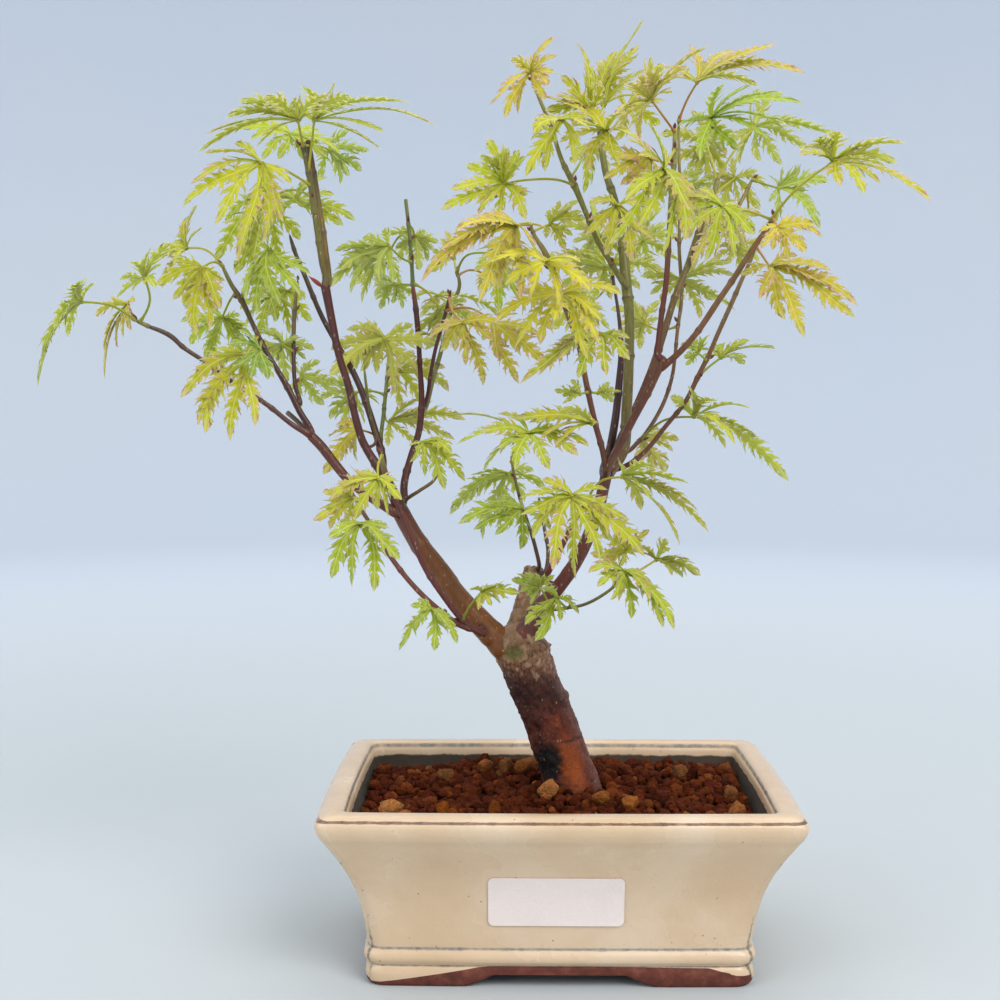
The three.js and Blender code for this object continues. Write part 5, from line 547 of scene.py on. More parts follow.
     "limbs": [[[52.5, -7, 192.4, 1.18], [51.6, -12.1, 195.9, 1.18], [51.2, -13.1, 198.7, 1.18], [47.3, -17.1, 213.1, 1.14], [43.8, -20.1, 228, 1.13], [40.4, -23.1, 243.8, 1.09], [36, -26.1, 255.6, 1.08], [32.9, -28.1, 264.5, 1.08], [27.1, -31.1, 278.2, 1.07], [22.7, -33, 285.3, 0.72], [21.9, -34, 288.9, 0.57]]],
     "leaves": [{"tint": "o", "stalk": [[22.2, -33.7, 287.7], [16.5, -54, 285.4]], "tips": [[-17.5, -62.7, 263.9], [3, -65.2, 256.6], [-10.6, -64.4, 275.5], [-14.3, -61.5, 269.3], [18, -63.7, 257.8], [10.1, -61.4, 261.5], [26.7, -73.3, 270.4], [-5.1, -66.7, 281.6]]},
                {"tint": "y", "stalk": [[22.7, -33, 285.3], [29.7, -11.1, 290.6]], "tips": [[38.6, -15.4, 285.5], [43.6, -16.1, 291.9], [42.7, -7.7, 299.9], [35.5, -15.2, 280.1], [33.5, -15.4, 299.3]]},
                {"tint": "y", "stalk": [[32.9, -28.1, 264.5], [33, -50, 260.8]], "tips": [[8.9, -55.7, 250], [16.2, -55.6, 240.9], [30.1, -67, 250.1], [42.7, -55.6, 236.6], [47.6, -58.1, 250.6], [54.8, -58, 259.9], [25.2, -57.2, 242], [46.9, -58.4, 241.9]]},
                {"tint": "y", "stalk": [[40.4, -23.1, 243.8], [44.5, -32.5, 245.4], [48.2, -42, 246.2]], "tips": [[32.2, -55, 236.6], [49.5, -58.2, 230.7], [39.2, -54.6, 229.7], [18, -49.5, 227.9], [57.7, -59.3, 236.5], [25.3, -51.7, 231.2]]},
                {"tint": "g", "stalk": [[44.5, -19.5, 225], [40.9, -30.1, 224.2]], "tips": [[31.1, -27.9, 225.8], [34, -32.8, 220.4], [37, -31.8, 229.5]]},
                {"tint": "g", "stalk": [[44.5, -19.5, 225], [48.7, -12.1, 224.6]], "tips": [[58.3, -10, 225.4], [54.9, -14.6, 221.1], [53.3, -14.3, 228.9]]},
                {"tint": "y", "stalk": [[47.3, -17.1, 213.1], [45, -41, 213]], "tips": [[21.1, -36, 213.3], [16.5, -35, 214.8], [25.4, -48.2, 207.2], [32.6, -54.2, 218.4], [31, -50.3, 205.1]]},
                {"tint": "y", "stalk": [[30.1, -29.5, 271.2], [27.3, -60, 271.6]], "tips": [[7.3, -67.2, 270.9], [12.6, -67.5, 262.8], [21.5, -71.1, 257.3], [32.3, -64.5, 254.2], [42.8, -66.7, 261.1], [39, -74, 270.3]]}]},
    {"name": "right_inner", "kind": "leaf",
     "limbs": [[[60.5, -0.1, 267.2, 1.2], [59.1, -6, 267.6, 1.2], [54.4, -8.1, 274.8, 1.11], [48.4, -10.1, 284.3, 1.07], [43.1, -11.1, 296.4, 1.07], [39.2, -12.1, 305.2, 1.26], [34.6, -13.1, 314, 0.95], [29.4, -14.1, 329.1, 0.79], [24.8, -15.1, 339.6, 0.71], [22.7, -15.1, 345.2, 0.59]]],
     "leaves": [{"tint": "y", "stalk": [[54.4, -8.1, 274.8], [52.9, 8.9, 274.8]], "tips": [[21.2, 2.2, 273.9], [24.6, 15.1, 279.4], [77.2, 17.3, 274.2], [34.4, 16.2, 266.9], [46.9, 18.1, 258.8], [67.6, 20.8, 267.2], [34.4, 16.1, 283.1]]},
                {"tint": "y", "stalk": [[39.2, -12.1, 305.2], [33, -18.7, 306.5], [20.2, -25.4, 305.6], [11.9, -32, 303.2]], "tips": [[5.7, -38.6, 319.2], [17.9, -41.3, 314.7], [20.5, -42.5, 311.9], [-11.6, -37.5, 292.9], [-8.1, -39.3, 300], [9, -41.1, 288], [20.2, -38.5, 289], [-2.6, -37.3, 309.5]]},
                {"tint": "o", "stalk": [[23.2, -15.1, 344], [22.1, -24.1, 346.3]], "tips": [[31.4, -29.9, 358], [32.2, -29.3, 351.1], [6.2, -28.5, 332.8], [12.3, -28.4, 328], [17.2, -30, 329.5], [14.2, -33.4, 348.8], [27.3, -29.4, 334.8]]},
                {"tint": "y", "stalk": [[29.4, -14.1, 329.1], [33.4, -42, 325.1]], "tips": [[22.6, -54.5, 317.8], [21.6, -51.8, 315.8], [19.8, -47.4, 303.6], [27.1, -49.3, 305.1], [43.1, -55.4, 319.1], [38, -48.2, 307.7]]},
                {"tint": "g", "stalk": [[37.6, -12.4, 308.2], [41.8, -1.2, 316], [44.6, 9.9, 324.1]], "tips": [[47, 15.8, 309], [43.3, 5.8, 304.4], [54.6, 14.8, 315.3], [36.4, 20.4, 324.2], [55.6, 18.3, 323.9]]},
                {"tint": "y", "stalk": [[45.3, -10.6, 291.4], [48.9, -17.3, 293.7], [55.4, -24.1, 295.9]], "tips": [[42.7, -28.2, 284.5], [50.1, -30.9, 276.7], [60.3, -31.9, 274], [69, -30.9, 282.3], [70.9, -30, 293.6], [44.1, -37.6, 294.6]]}]},
    {"name": "right_green_leaves", "kind": "leaf",
     "limbs": [[[50.5, 6.9, 325.6, 1.27], [50.5, 7, 326, 1.26], [48.5, 8, 336.1, 1.14]]],
     "leaves": [{"tint": "y", "stalk": [[48.7, 7.8, 334.8], [52, 13.9, 340.8]], "tips": [[68.7, 22.2, 376.9], [57.6, 21, 364.6], [44.7, 33.5, 357.2], [66.5, 33.9, 350.7], [67.2, 24.2, 367.4], [51.1, 29.7, 362.6], [71.1, 19.9, 356.3]]},
                {"tint": "y", "stalk": [[48.9, 7.8, 334.1], [44.2, -16.1, 333.2]], "tips": [[39.3, -10.2, 361.1], [44.9, -23.8, 347.8], [33.2, -21.1, 345.8], [31.1, -27.8, 336.9], [48, -29.3, 342.2], [27.4, -23.9, 332.1]]},
                {"tint": "y", "stalk": [[50.5, 7, 326], [50.4, -29.1, 323.3]], "tips": [[24.8, -22.9, 337.6], [35.7, -40.5, 322.4], [32.5, -35.6, 317.8], [57.2, -44.3, 327.1], [62.2, -41.9, 317.8], [54.9, -41.2, 308.8], [44, -38.2, 307.4]]},
                {"tint": "y", "stalk": [[49.2, 7.6, 332.4], [55.9, 24.8, 337.9], [62.5, 42, 345.2]], "tips": [[80, 48, 349.7], [78.1, 50, 339.5], [69.5, 49, 330.9], [59.1, 53.7, 333.8], [73.8, 51.1, 358.8], [56.8, 54.5, 359.5]]}]},
    {"name": "right_up_leaves", "kind": "leaf",
     "limbs": [[[75.7, -26.1, 301.3, 1.04], [76.5, -27.1, 315, 0.89], [76.4, -27.1, 324.7, 0.69]]],
     "leaves": [{"tint": "o", "stalk": [[76.4, -27.1, 323.4], [65.5, -54, 329.6]], "tips": [[49.6, -61.2, 315.9], [64.4, -65.1, 343], [68.4, -67.5, 340.1], [86.9, -47.9, 350.4], [74.7, -67.8, 335.5], [51.3, -67.6, 322.1], [60.2, -67.1, 313.5], [54.6, -70.2, 332]]},
                {"tint": "y", "stalk": [[76.5, -27.1, 316.5], [69.6, -58, 304.8]], "tips": [[68.1, -65, 272.1], [60.1, -66.1, 283.3], [49.6, -65.2, 277.4], [62, -70.3, 319.5], [54.8, -71.1, 292.1], [77.5, -71.7, 288.5], [76.3, -67.5, 278.6]]},
                {"tint": "o", "stalk": [[76.2, -26.8, 310.9], [69.3, -8.1, 316.1]], "tips": [[50.3, -12.4, 307.8], [59.5, -14.6, 299.8], [52.9, -13.8, 314.8], [56.8, -13.7, 305.3], [64.6, -14.7, 297.5], [58.5, -15.6, 322.2]]}]},
    {"name": "right_arc", "kind": "leaf",
     "limbs": [[[57.4, 3.2, 201.9, 0.93], [59.4, 4, 200.8, 0.93], [67, 9.9, 205.2, 0.9], [72.9, 14.9, 212.5, 0.83], [77.9, 18.9, 221.4, 0.83], [81.6, 21.9, 233, 0.79], [82.6, 22.9, 240.6, 0.75], [83.9, 24.9, 252.5, 0.76], [85.2, 25.9, 261.4, 0.8], [84.4, 27.9, 286.8, 0.72], [84.8, 28.9, 304.2, 0.68], [84.2, 29.9, 325.7, 0.63], [84, 30.9, 339, 0.55]]],
     "leaves": [{"tint": "o", "stalk": [[84, 30.9, 337.7], [87.3, 25.4, 346.1], [90.3, 19.9, 351.1]], "tips": [[124.5, 27.8, 368.4], [136.5, 29.6, 356.6], [108.9, 39.7, 368.3], [121.8, 31.1, 361.8], [104.4, 40, 357.2], [89.5, 40, 370.9], [74.9, 40, 360.6]]},
                {"tint": "g", "stalk": [[84, 30.9, 337.7], [88, 6.4, 333.7], [91.3, -18.1, 329.7]], "tips": [[93, -36.4, 339.1], [105.8, -27.9, 340.5], [117, -28.6, 337.3], [128.4, -10.3, 336.7], [118.6, -28.5, 325.8], [78.1, -37.7, 321.3], [100.2, -34.4, 315.2], [85.3, -34.4, 311.6], [112.6, -26.7, 320.2]]},
                {"tint": "g", "stalk": [[84.8, 28.9, 304.2], [86.9, 54, 315]], "tips": [[94.6, 59.5, 302], [104.1, 50.1, 313.6], [98.6, 58.5, 321.7], [74.7, 58.5, 313.1], [102, 50.1, 305.5]]},
                {"tint": "y", "stalk": [[85, 26.4, 267.5], [87.7, 50, 273.5]], "tips": [[110.3, 54.9, 281.2], [112.1, 55, 275.5], [110.7, 44.1, 259.8], [70.5, 56.3, 275.7], [103, 54.2, 265.1], [75.1, 58.8, 267.6], [96.9, 56.7, 256.6]]},
                {"tint": "y", "stalk": [[83.9, 24.9, 252.5], [77.3, 34.5, 251.3], [71.3, 44, 254.7]], "tips": [[56.9, 47.3, 260.4], [60.5, 48.3, 249.7], [70, 48.1, 243.3], [65.5, 48, 264.8], [78.5, 48.2, 264.8]]},
                {"tint": "o", "stalk": [[67, 9.9, 205.2], [70.2, 31.9, 205.2]], "tips": [[83.5, 36.8, 199.5], [79.7, 28.3, 191.4], [75.1, 28.1, 188], [85.5, 28.6, 204.9], [69.3, 34.8, 194.1]]},
                {"tint": "g", "stalk": [[67.4, 10.3, 205.6], [76.6, 2.1, 213.8], [87.3, -6, 215.1]], "tips": [[82.5, -26.1, 226.5], [91.8, -26.1, 222.3], [107.1, -23.8, 218.5], [123.6, -15.7, 189.8], [112.3, -14.2, 206.2], [100.8, -26.1, 204.7], [94.9, -26.1, 212.3]]},
                {"tint": "g", "stalk": [[84.4, 27.9, 286.8], [90.9, 46, 296.5], [97.3, 64, 305.1]], "tips": [[115.7, 70.4, 310.3], [113.3, 68.1, 299], [104.6, 68.1, 290.2], [94.1, 74.1, 293.1], [106.7, 70.3, 321.2], [89.4, 73.8, 317.4]]}]},
    {"name": "right_back_leaves", "kind": "leaf",
     "limbs": [[[96.2, 22.8, 302, 1.27], [96.8, 22.9, 303.3, 1.26], [99.9, 23.9, 314.1, 1.17]]],
     "leaves": [{"tint": "y", "stalk": [[99.6, 23.8, 312.8], [107.2, 27.9, 325.3], [116, 31.9, 335.4]], "tips": [[150.2, 24.2, 329.9], [140.8, 40.8, 327.3], [129.9, 43.7, 321.5], [137.1, 44.9, 340.6], [112.2, 47.4, 322.1], [120.6, 49, 354]]},
                {"tint": "y", "stalk": [[96.8, 22.9, 303.3], [102.7, 39.5, 310.5], [111.4, 56, 317.8]], "tips": [[127.5, 61.7, 313.4], [123.4, 62.2, 304.8], [96.7, 60.6, 317.7], [108, 61.9, 302.7], [117, 65.3, 331.3]]},
                {"tint": "y", "stalk": [[99.2, 23.7, 311.6], [99.5, 41.8, 323.4], [98.7, 60, 333.9]], "tips": [[79.7, 67, 338.2], [84.2, 66.9, 325.1], [95.1, 64.8, 316.1], [108.9, 70, 321.2], [115.7, 72.3, 336.8], [93.4, 72.1, 350]]}]},
    {"name": "right_out_leaves", "kind": "leaf",
     "limbs": [[[111.2, -35, 287, 1], [111.6, -35, 287.6, 0.99], [112.9, -36, 291, 0.76]]],
     "leaves": [{"tint": "y", "stalk": [[112.5, -35.7, 289.8], [117.9, -40.9, 297.4], [132.5, -46, 309]], "tips": [[128.6, -66, 316.7], [156.5, -55.9, 313.8], [154.8, -52, 307.6], [166.3, -54.4, 293.4], [139.8, -64.6, 294.9], [131.3, -66, 297.5], [116.7, -66, 310.1], [121.9, -66, 313.6]]},
                {"tint": "o", "stalk": [[112.5, -35.7, 289.8], [111.4, -54, 284.6]], "tips": [[126.6, -57.6, 280.2], [120.7, -59, 274.7], [123.8, -58.8, 284.7], [104, -60.3, 275.7], [115.1, -58.6, 272.3]]},
                {"tint": "y", "stalk": [[112.3, -35.5, 289.2], [103.6, -43.3, 291.2], [91.5, -51, 292.5]], "tips": [[71.9, -57.9, 288.5], [77.4, -57.6, 279.6], [84.5, -58.6, 271.6], [95.4, -58.3, 272.3], [102.6, -57.3, 281.4], [72.6, -57.7, 295.6]]}]},
    {"name": "right_far", "kind": "leaf",
     "limbs": [[[86.4, 19.4, 275.2, 0.96], [89.9, 24.9, 280.2, 0.97], [94.7, 30.9, 286.1, 0.93], [102.4, 36, 292.9, 0.9], [109.5, 40, 301.6, 0.86], [114.7, 43, 310.9, 0.78], [117.5, 44, 316.5, 0.65]]],
     "leaves": [{"tint": "b", "stalk": [[116.9, 43.7, 315.4], [121.2, 38.8, 312.9], [126.3, 34, 310.5]], "tips": [[148.5, 38.6, 314], [143.1, 28.6, 292.5], [143.7, 40.9, 300.1], [130.9, 48.9, 318.1], [124.6, 37.9, 295.6], [137, 42.7, 321.3]]},
                {"tint": "o", "stalk": [[109.5, 40, 301.6], [104.5, 20.9, 294.5]], "tips": [[88.4, 15.8, 276.1], [118.7, 27.7, 298.6], [92.9, 26.3, 288.2], [99.3, 26.8, 279.9], [112.4, 31.5, 286.6], [94.1, 30.3, 298.9]]},
                {"tint": "y", "stalk": [[114.7, 43, 310.9], [116.5, 51.5, 301.4], [114, 60, 289]], "tips": [[104.2, 64.4, 282.4], [123.9, 64.1, 282.4], [115.3, 64.5, 276.7], [126, 64, 289.8], [106.4, 65.4, 294.3]]}]},
    {"name": "right_outer", "kind": "leaf",
     "limbs": [[[52.5, -7, 192.4, 1.01], [55.6, 0, 193.3, 1.01], [62.1, -2, 196.2, 1.04], [68.5, -3, 201.6, 0.96], [76.3, -5, 211.6, 0.92], [83.9, -7, 221.5, 0.92], [88.3, -8.1, 230.7, 0.99], [92.6, -9.1, 239.8, 0.91], [96.3, -10.1, 248.8, 0.91], [101.3, -11.1, 260.4, 0.95], [105, -12.1, 269.4, 0.83], [108, -13.1, 276.4, 0.71], [110.2, -14.1, 282.8, 0.55]]],
     "leaves": [{"tint": "o", "stalk": [[109.8, -13.9, 281.6], [113, -28.1, 272.4]], "tips": [[134.9, -34.3, 270.3], [144.9, -35.9, 256.8], [144.1, -36.2, 252.7], [124.6, -38.7, 245.1], [105.8, -48, 259], [135.8, -37.4, 263], [116.9, -40, 251.8]]},
                {"tint": "g", "stalk": [[88.3, -8.1, 230.7], [93.8, -3, 235.4], [98.8, 2, 238.7]], "tips": [[121.6, 6.7, 242.4], [98.6, 15.7, 244.3], [111.2, 7.5, 246.1], [110.1, 12.9, 236.1], [91.8, 13.7, 242.2]]},
                {"tint": "g", "stalk": [[91.6, -8.8, 237.6], [86.9, -20.1, 240.1]], "tips": [[79.7, -22.7, 243.1], [83.5, -22.7, 246.9], [81.7, -22.5, 235.4], [91.7, -18.3, 247.1]]}]},
    {"name": "right_dark_leaves", "kind": "leaf",
     "limbs": [[[56.8, 16, 267.2, 0.62], [55.4, 16.9, 278.3, 0.54]]],
     "leaves": [{"tint": "y", "stalk": [[55.5, 16.8, 277], [54.2, 33.4, 284.8], [51.7, 50, 292.3]], "tips": [[35.4, 54.2, 297.6], [42.2, 59.5, 282.9], [53, 56.7, 274], [66.1, 56.3, 281.8], [68.2, 56.1, 291.2], [48.5, 56.4, 308.6]]},
                {"tint": "g", "stalk": [[55.6, 16.8, 276.7], [63.3, 36.4, 284.2], [71.2, 56, 291.2]], "tips": [[88.2, 60.2, 293.4], [89.5, 63, 282.3], [78, 62.8, 273.6], [66.4, 60.6, 276], [81.3, 62.2, 306.6], [62.7, 60.9, 305.6]]},
                {"tint": "y", "stalk": [[56.1, 16.5, 272.6], [51.7, 31.2, 265.8], [46, 46, 262.5]], "tips": [[28.9, 52.1, 265], [31.1, 52.5, 252.1], [44.2, 52.1, 245.6], [57.2, 50.9, 252], [35.4, 50.9, 273.6]]}]},
]

# ------------------------------------------------------------------ leaves
# colour of the blade, colour of the stalk, how far the margin has turned orange
TINTS = {
    "y": ("#aaa618", "#b3a746", 0.88),
    "g": ("#989e1b", "#a0a248", 0.58),
    "o": ("#b29e25", "#b87c50", 1.10),
    "d": ("#7c9026", "#8a9243", 0.28),
    "b": ("#959f35", "#a9a560", 0.45),
}
BLADE_T = [0, 0.08, 0.16, 0.3, 0.45, 0.6, 0.75, 0.86, 0.93, 1.0]
BLADE_W = [0.3, 0.24, 0.34, 0.78, 1.0, 0.98, 0.8, 0.52, 0.27, 0.02]
_templates = {}


def template(n):
    """Topology of a lobe with n side lobules on each side: (u, e, side, height code) per vertex, faces, lobule of each face."""
    if n in _templates:
        return _templates[n]
    V, F, Lb = [], [], []

    def v(u, e, s, h):
        V.append((u, e, s, h))
        return len(V) - 1

    mt = {k: v(k, 0, 0, 1) for k in [-1, -0.5] + list(range(n + 1)) + [n + 0.5]}
    mb = {k: v(k, 0, 0, -1) for k in [-1, -0.5] + list(range(n + 1)) + [n + 0.5]}
    tip = v(n + 1, 0, 0, 0)
    ends = {}
    for s in (1, -1):

        def face(f, top, lob):
            # top faces run counter-clockwise on the + side, and turn round on the other side and below
            keep = (s > 0) == top
            F.append(tuple(f) if keep else tuple(reversed(f)))
            Lb.append(lob)

        b0, b1 = v(-1, 0.9, s, 0), v(-0.5, 1.0, s, 0)
        ends[s] = b0
        S = [v(k, 0.24 if k else 0.9, s, 0) for k in range(n + 1)]
        for top, m in ((True, mt), (False, mb)):
            face((m[-1], m[-0.5], b1, b0), top, -1)
            face((m[-0.5], m[0], S[0], b1), top, -1)
        for i in range(n):
            Mt, Mb = v(i + 0.62, 0.37, s, 2), v(i + 0.62, 0.37, s, -2)
            B = [S[i], v(i + 0.46, 0.62, s, 0), v(i + 0.62, 0.56, s, 0), v(i + 0.98, 0.9, s, 0), v(i + 1.07, 0.78, s, 0), v(i + 1.68, 1.18, s, 0), v(i + 1.20, 0.70, s, 0), v(i + 1.08, 0.44, s, 0), S[i + 1]]
            for top, m, c in ((True, mt, Mt), (False, mb, Mb)):
                face((m[i], m[i + 1], c), top, i)
                face((m[i], c, S[i]), top, i)
                face((m[i + 1], S[i + 1], c), top, i)
                for a, b in zip(B[:-1], B[1:]):
                    face((c, b, a), top, i)
        q = [v(n + 0.28, 0.95, s, 0), v(n + 0.42, 0.7, s, 0), v(n + 0.72, 0.95, s, 0)]
        for top, m in ((True, mt), (False, mb)):
            c = m[n + 0.5]
            for a, b in ((tip, q[2]), (q[2], q[1]), (q[1], q[0]), (q[0], S[n]), (S[n], m[n])):
                face((c, a, b), top, -1)
    F.append((mt[-1], ends[1], mb[-1], ends[-1]))
    Lb.append(-1)
    idx = np.array([i for f in F for i in f])
    lob = np.array([l for f, l in zip(F, Lb) for _ in f])
    _templates[n] = (np.array(V, float), F, idx, lob)
    return _templates[n]


def unit(v):
    return v / (np.linalg.norm(v) + 1e-12)


def lobe(acc, B, T, N, W, rng, col, rim, blade_bias):
    d = T - B
    L = np.linalg.norm(d)
    n = int(np.clip(round(L * 0.76 / 4.2), 3, 9))
    V, F, idx, lob = template(n)
    t0, t1 = 0.15 + 0.03 * rng.random(), 0.86
    u = V[:, 0].copy()
    s, h, e = V[:, 2], V[:, 3], V[:, 1].copy()
    edge = (h == 0) & (s != 0)
    e[edge] *= 1 + rng.normal(0, 0.09, edge.sum())
    inner = (u > 0.3) & (u < n + 0.9) & edge
    u[inner] += rng.normal(0, 0.05, inner.sum())
    # each lobule has its own reach
    reach = {(i, k): 1 + rng.normal(0, 0.16) for i in range(n) for k in (1, -1)}
    tips = edge & (e > 0.56)
    for j in np.nonzero(tips)[0]:
        i = int(np.clip(math.floor(V[j, 0] - (0.7 if V[j, 1] > 1.0 else 0.3 if V[j, 0] % 1 < 0.3 else 0.0)), 0, n - 1))
        e[j] *= reach[(i, int(s[j]))]
    t = np.where(u < 0, t0 * (1 + u), np.where(u <= n, t0 + (t1 - t0) * (np.clip(u, 0, n) / n), t1 + (1 - t1) * np.clip(u - n, 0, 1)))
    w = s * e * W * np.interp(t, BLADE_T, BLADE_W)
    # the lobe's own curve
    dirn = d / L
    Nn = unit(N - dirn * (N @ dirn))
    X0 = np.cross(Nn, dirn)
    arch = (0.10 + 0.05 * rng.random()) * L
    bow = rng.normal(0, 0.035) * L
    upv = unit(Nn * 0.75 + np.array([0, 0, 0.45]) - dirn * (0.45 * dirn[2]))
    ts = np.linspace(0, 1, 15)
    k = 4 * ts * (1 - ts)
    # the tip third curls over a little
    Cc = B + np.outer(ts, d) + np.outer(k * arch * (1.0 - 0.25 * ts), upv) + np.outer(k * bow, X0) + np.outer(np.sin(ts * math.pi * 2.0) * -0.02 * L, X0 * rng.choice([-1, 1]))
    Tg = np.gradient(Cc, axis=0)
    Tg /= np.linalg.norm(Tg, axis=1)[:, None]
    tw = rng.normal(0, 0.30) + ts * rng.normal(0, 0.45)
    X = np.cross(np.broadcast_to(Nn, Tg.shape), Tg)
    X /= np.linalg.norm(X, axis=1)[:, None] + 1e-9
    Z = np.cross(Tg, X)
    X, Z = X * np.cos(tw)[:, None] + Z * np.sin(tw)[:, None], Z * np.cos(tw)[:, None] - X * np.sin(tw)[:, None]
    ip = lambda A: np.stack([np.interp(t, ts, A[:, c]) for c in range(3)], 1)
    c, x, z = ip(Cc), ip(X), ip(Z)
    fold = 0.30 + 0.12 * rng.random()
    aw = np.abs(w)
    lift = aw * fold - 0.055 * aw**2 + np.where(edge, rng.normal(0, 0.12, len(w)) * np.clip(aw / 2, 0, 1), 0)
    thick = np.choose((h + 2).astype(int), [-0.08, -0.20, 0.0, 0.10, 0.10]) * np.clip((1 - t) * 6, 0.25, 1)
    P = c + x * (w * math.cos(fold))[:, None] + z * (lift + thick)[:, None]
    # per-corner detail: margin, distance from midrib, distance from the side vein, along
    i0 = lob[...]
    uu, ww = u[idx], aw[idx]
    tipw = W * 1.05 * np.interp(t0 + (t1 - t0) * np.clip((i0 + 1.5) / n, 0, 1), BLADE_T, BLADE_W)
    axis = np.clip((uu - (i0 - 0.15)) / 1.65, 0, 1.2) * tipw
    vein = np.where(i0 >= 0, (ww - axis) * 0.75, 3.0)
    em = np.where(edge, 1.0, np.where(np.abs(h) == 2, 0.25, 0.0))
    em = np.maximum(em * np.clip((t - 0.1) * 4, 0, 1), np.clip((t - 0.80) / 0.2, 0, 1) * 0.85)
    D = np.stack([em[idx] * rim + (rim - 1) * 0.15, ww, vein, t[idx]], 1)
    jit = 1 + rng.normal(0, 0.05)
    top = np.where(h > 0, 1.0, np.where(h < 0, 0.0, 0.5))[idx]
    K = np.concatenate([np.tile(col * jit, (len(idx), 1)), top[:, None]], 1)
    acc.add(P, F, D, K, 0)


def stalk(acc, path, r0, r1, colA, colB, sides=8, m=0, foot=1.7, step=1.4, rng=None):
    Q, s = curve(path, step)
    T, A, Bn = frames(Q)
    L = s[-1]
    r = r0 + (r1 - r0) * s / L
    r = r * (1 + (foot - 1) * np.exp(-((s - 0.6) / 1.5) ** 2)) * (1 + 0.35 * np.exp(-((L - s) / 0.9) ** 2))
    a = np.arange(sides) * 2 * math.pi / sides
    V = (Q[:, None, :3] + A[:, None] * (np.cos(a)[None, :, None] * r[:, None, None]) + Bn[:, None] * (np.sin(a)[None, :, None] * r[:, None, None])).reshape(-1, 3)
    F = grid_faces(len(Q), sides)
    F.append(tuple(reversed(range(sides))))
    n = len(Q)
    F.append(tuple(range((n - 1) * sides, n * sides)))
    f = np.repeat(s / L, sides)[:, None]
    K = np.concatenate([colA * (1 - f) + colB * f, np.ones((len(V), 1))], 1)
    D = np.tile([-1.0, 9.0, 9.0, 0.0], (len(V), 1))
    acc.add(V, F, corners(F, D), corners(F, K), m)


def knob(acc, c, r, col, m=0, squash=(1, 1, 1)):
    bm = bmesh.new()
    bmesh.ops.create_icosphere(bm, subdivisions=2, radius=1)
    V = np.array([v.co for v in bm.verts]) * r * np.array(squash) + c
    F = [tuple(v.index for v in f.verts) for f in bm.faces]
    bm.free()
    D = np.tile([-1.0, 9.0, 9.0, 0.0], (len(V), 1))
    K = np.tile(np.append(col, 1.0), (len(V), 1))
    acc.add(V, F, corners(F, D), corners(F, K), m)


def build_leaf(acc, lf, seed):
    rng = np.random.default_rng(seed)
    path = np.array(lf["stalk"], float)
    B = path[-1]
    tips = [np.array(t, float) for t in lf["tips"]]
    colh, stemh, rim = TINTS[lf["tint"]]
    j = rng.normal(0, 0.06)
    col = C3(colh) * np.array([1 + j * 1.6, 1 + j * 0.6, 1 - j]) * (1 + rng.normal(0, 0.06))
    dirs = np.array([unit(t - B) for t in tips])
    # plane of the blade
    _, _, vt = np.linalg.svd(dirs)
    N = vt[2]
    out = np.array([B[0] - 15, B[1] * 1.3, 0.0])
    out = unit(out) if np.linalg.norm(out) > 1 else np.array([0, -1.0, 0])
    if N @ (np.array([0, 0, 1.0]) + 0.55 * out + np.array([0, -0.25, 0])) < 0:
        N = -N
    N = unit(N + 0.35 * np.array([0, 0, 1.0]))
    arrive = unit(B - path[-2]) if len(path) > 1 else np.array([0, 0, 1.0])
    # smaller lobes stand between the measured ones where the gap is wide, and two little ones at the base
    e1 = unit(np.mean(dirs, 0) - N * (np.mean(dirs, 0) @ N))
    e2 = np.cross(N, e1)
    ang = np.arctan2(dirs @ e2, dirs @ e1)
    order = np.argsort(ang)
    lens = np.array([np.linalg.norm(t - B) for t in tips])
    extra = []
    for a, b in zip(order[:-1], order[1:]):
        gap = ang[b] - ang[a]
        if 0.72 < gap < 2.2:
            m = 2 if gap > 1.3 else 1
            for q in range(m):
                f = (q + 1) / (m + 1)
                dd = unit(dirs[a] * (1 - f) + dirs[b] * f + rng.normal(0, 0.05, 3))
                extra.append(B + dd * (lens[a] * (1 - f) + lens[b] * f) * (0.70 + 0.18 * rng.random()))
    for a, sg in ((order[0], -1), (order[-1], 1)):
        if abs(ang[a]) < 2.2 and lens.max() > 14:
            na = ang[a] + sg * (0.62 + 0.15 * rng.random())
            dd = unit(e1 * math.cos(na) + e2 * math.sin(na) + N * ((dirs[a] @ N) * 0.8))
            extra.append(B + dd * lens[a] * (0.46 + 0.14 * rng.random()))
    for k, T in enumerate(tips + extra):
        L = np.linalg.norm(T - B)
        W = (3.2 + 0.046 * L) * (1 + rng.normal(0, 0.08)) * min(1.0, 0.42 + L / 30)
        Ni = unit(N + rng.normal(0, 0.16, 3))
        lobe(acc, B, T, Ni, W, rng, col * (1 + rng.normal(0, 0.03)), rim * (0.75 + 0.5 * rng.random()), 0)
    sc, sd = C3(stemh), C3(colh)
    stalk(acc, path, 0.52, 0.42, sc * 0.85, (sc + sd) / 2, rng=rng)
    knob(acc, B, 0.85, (sc + sd) / 2)
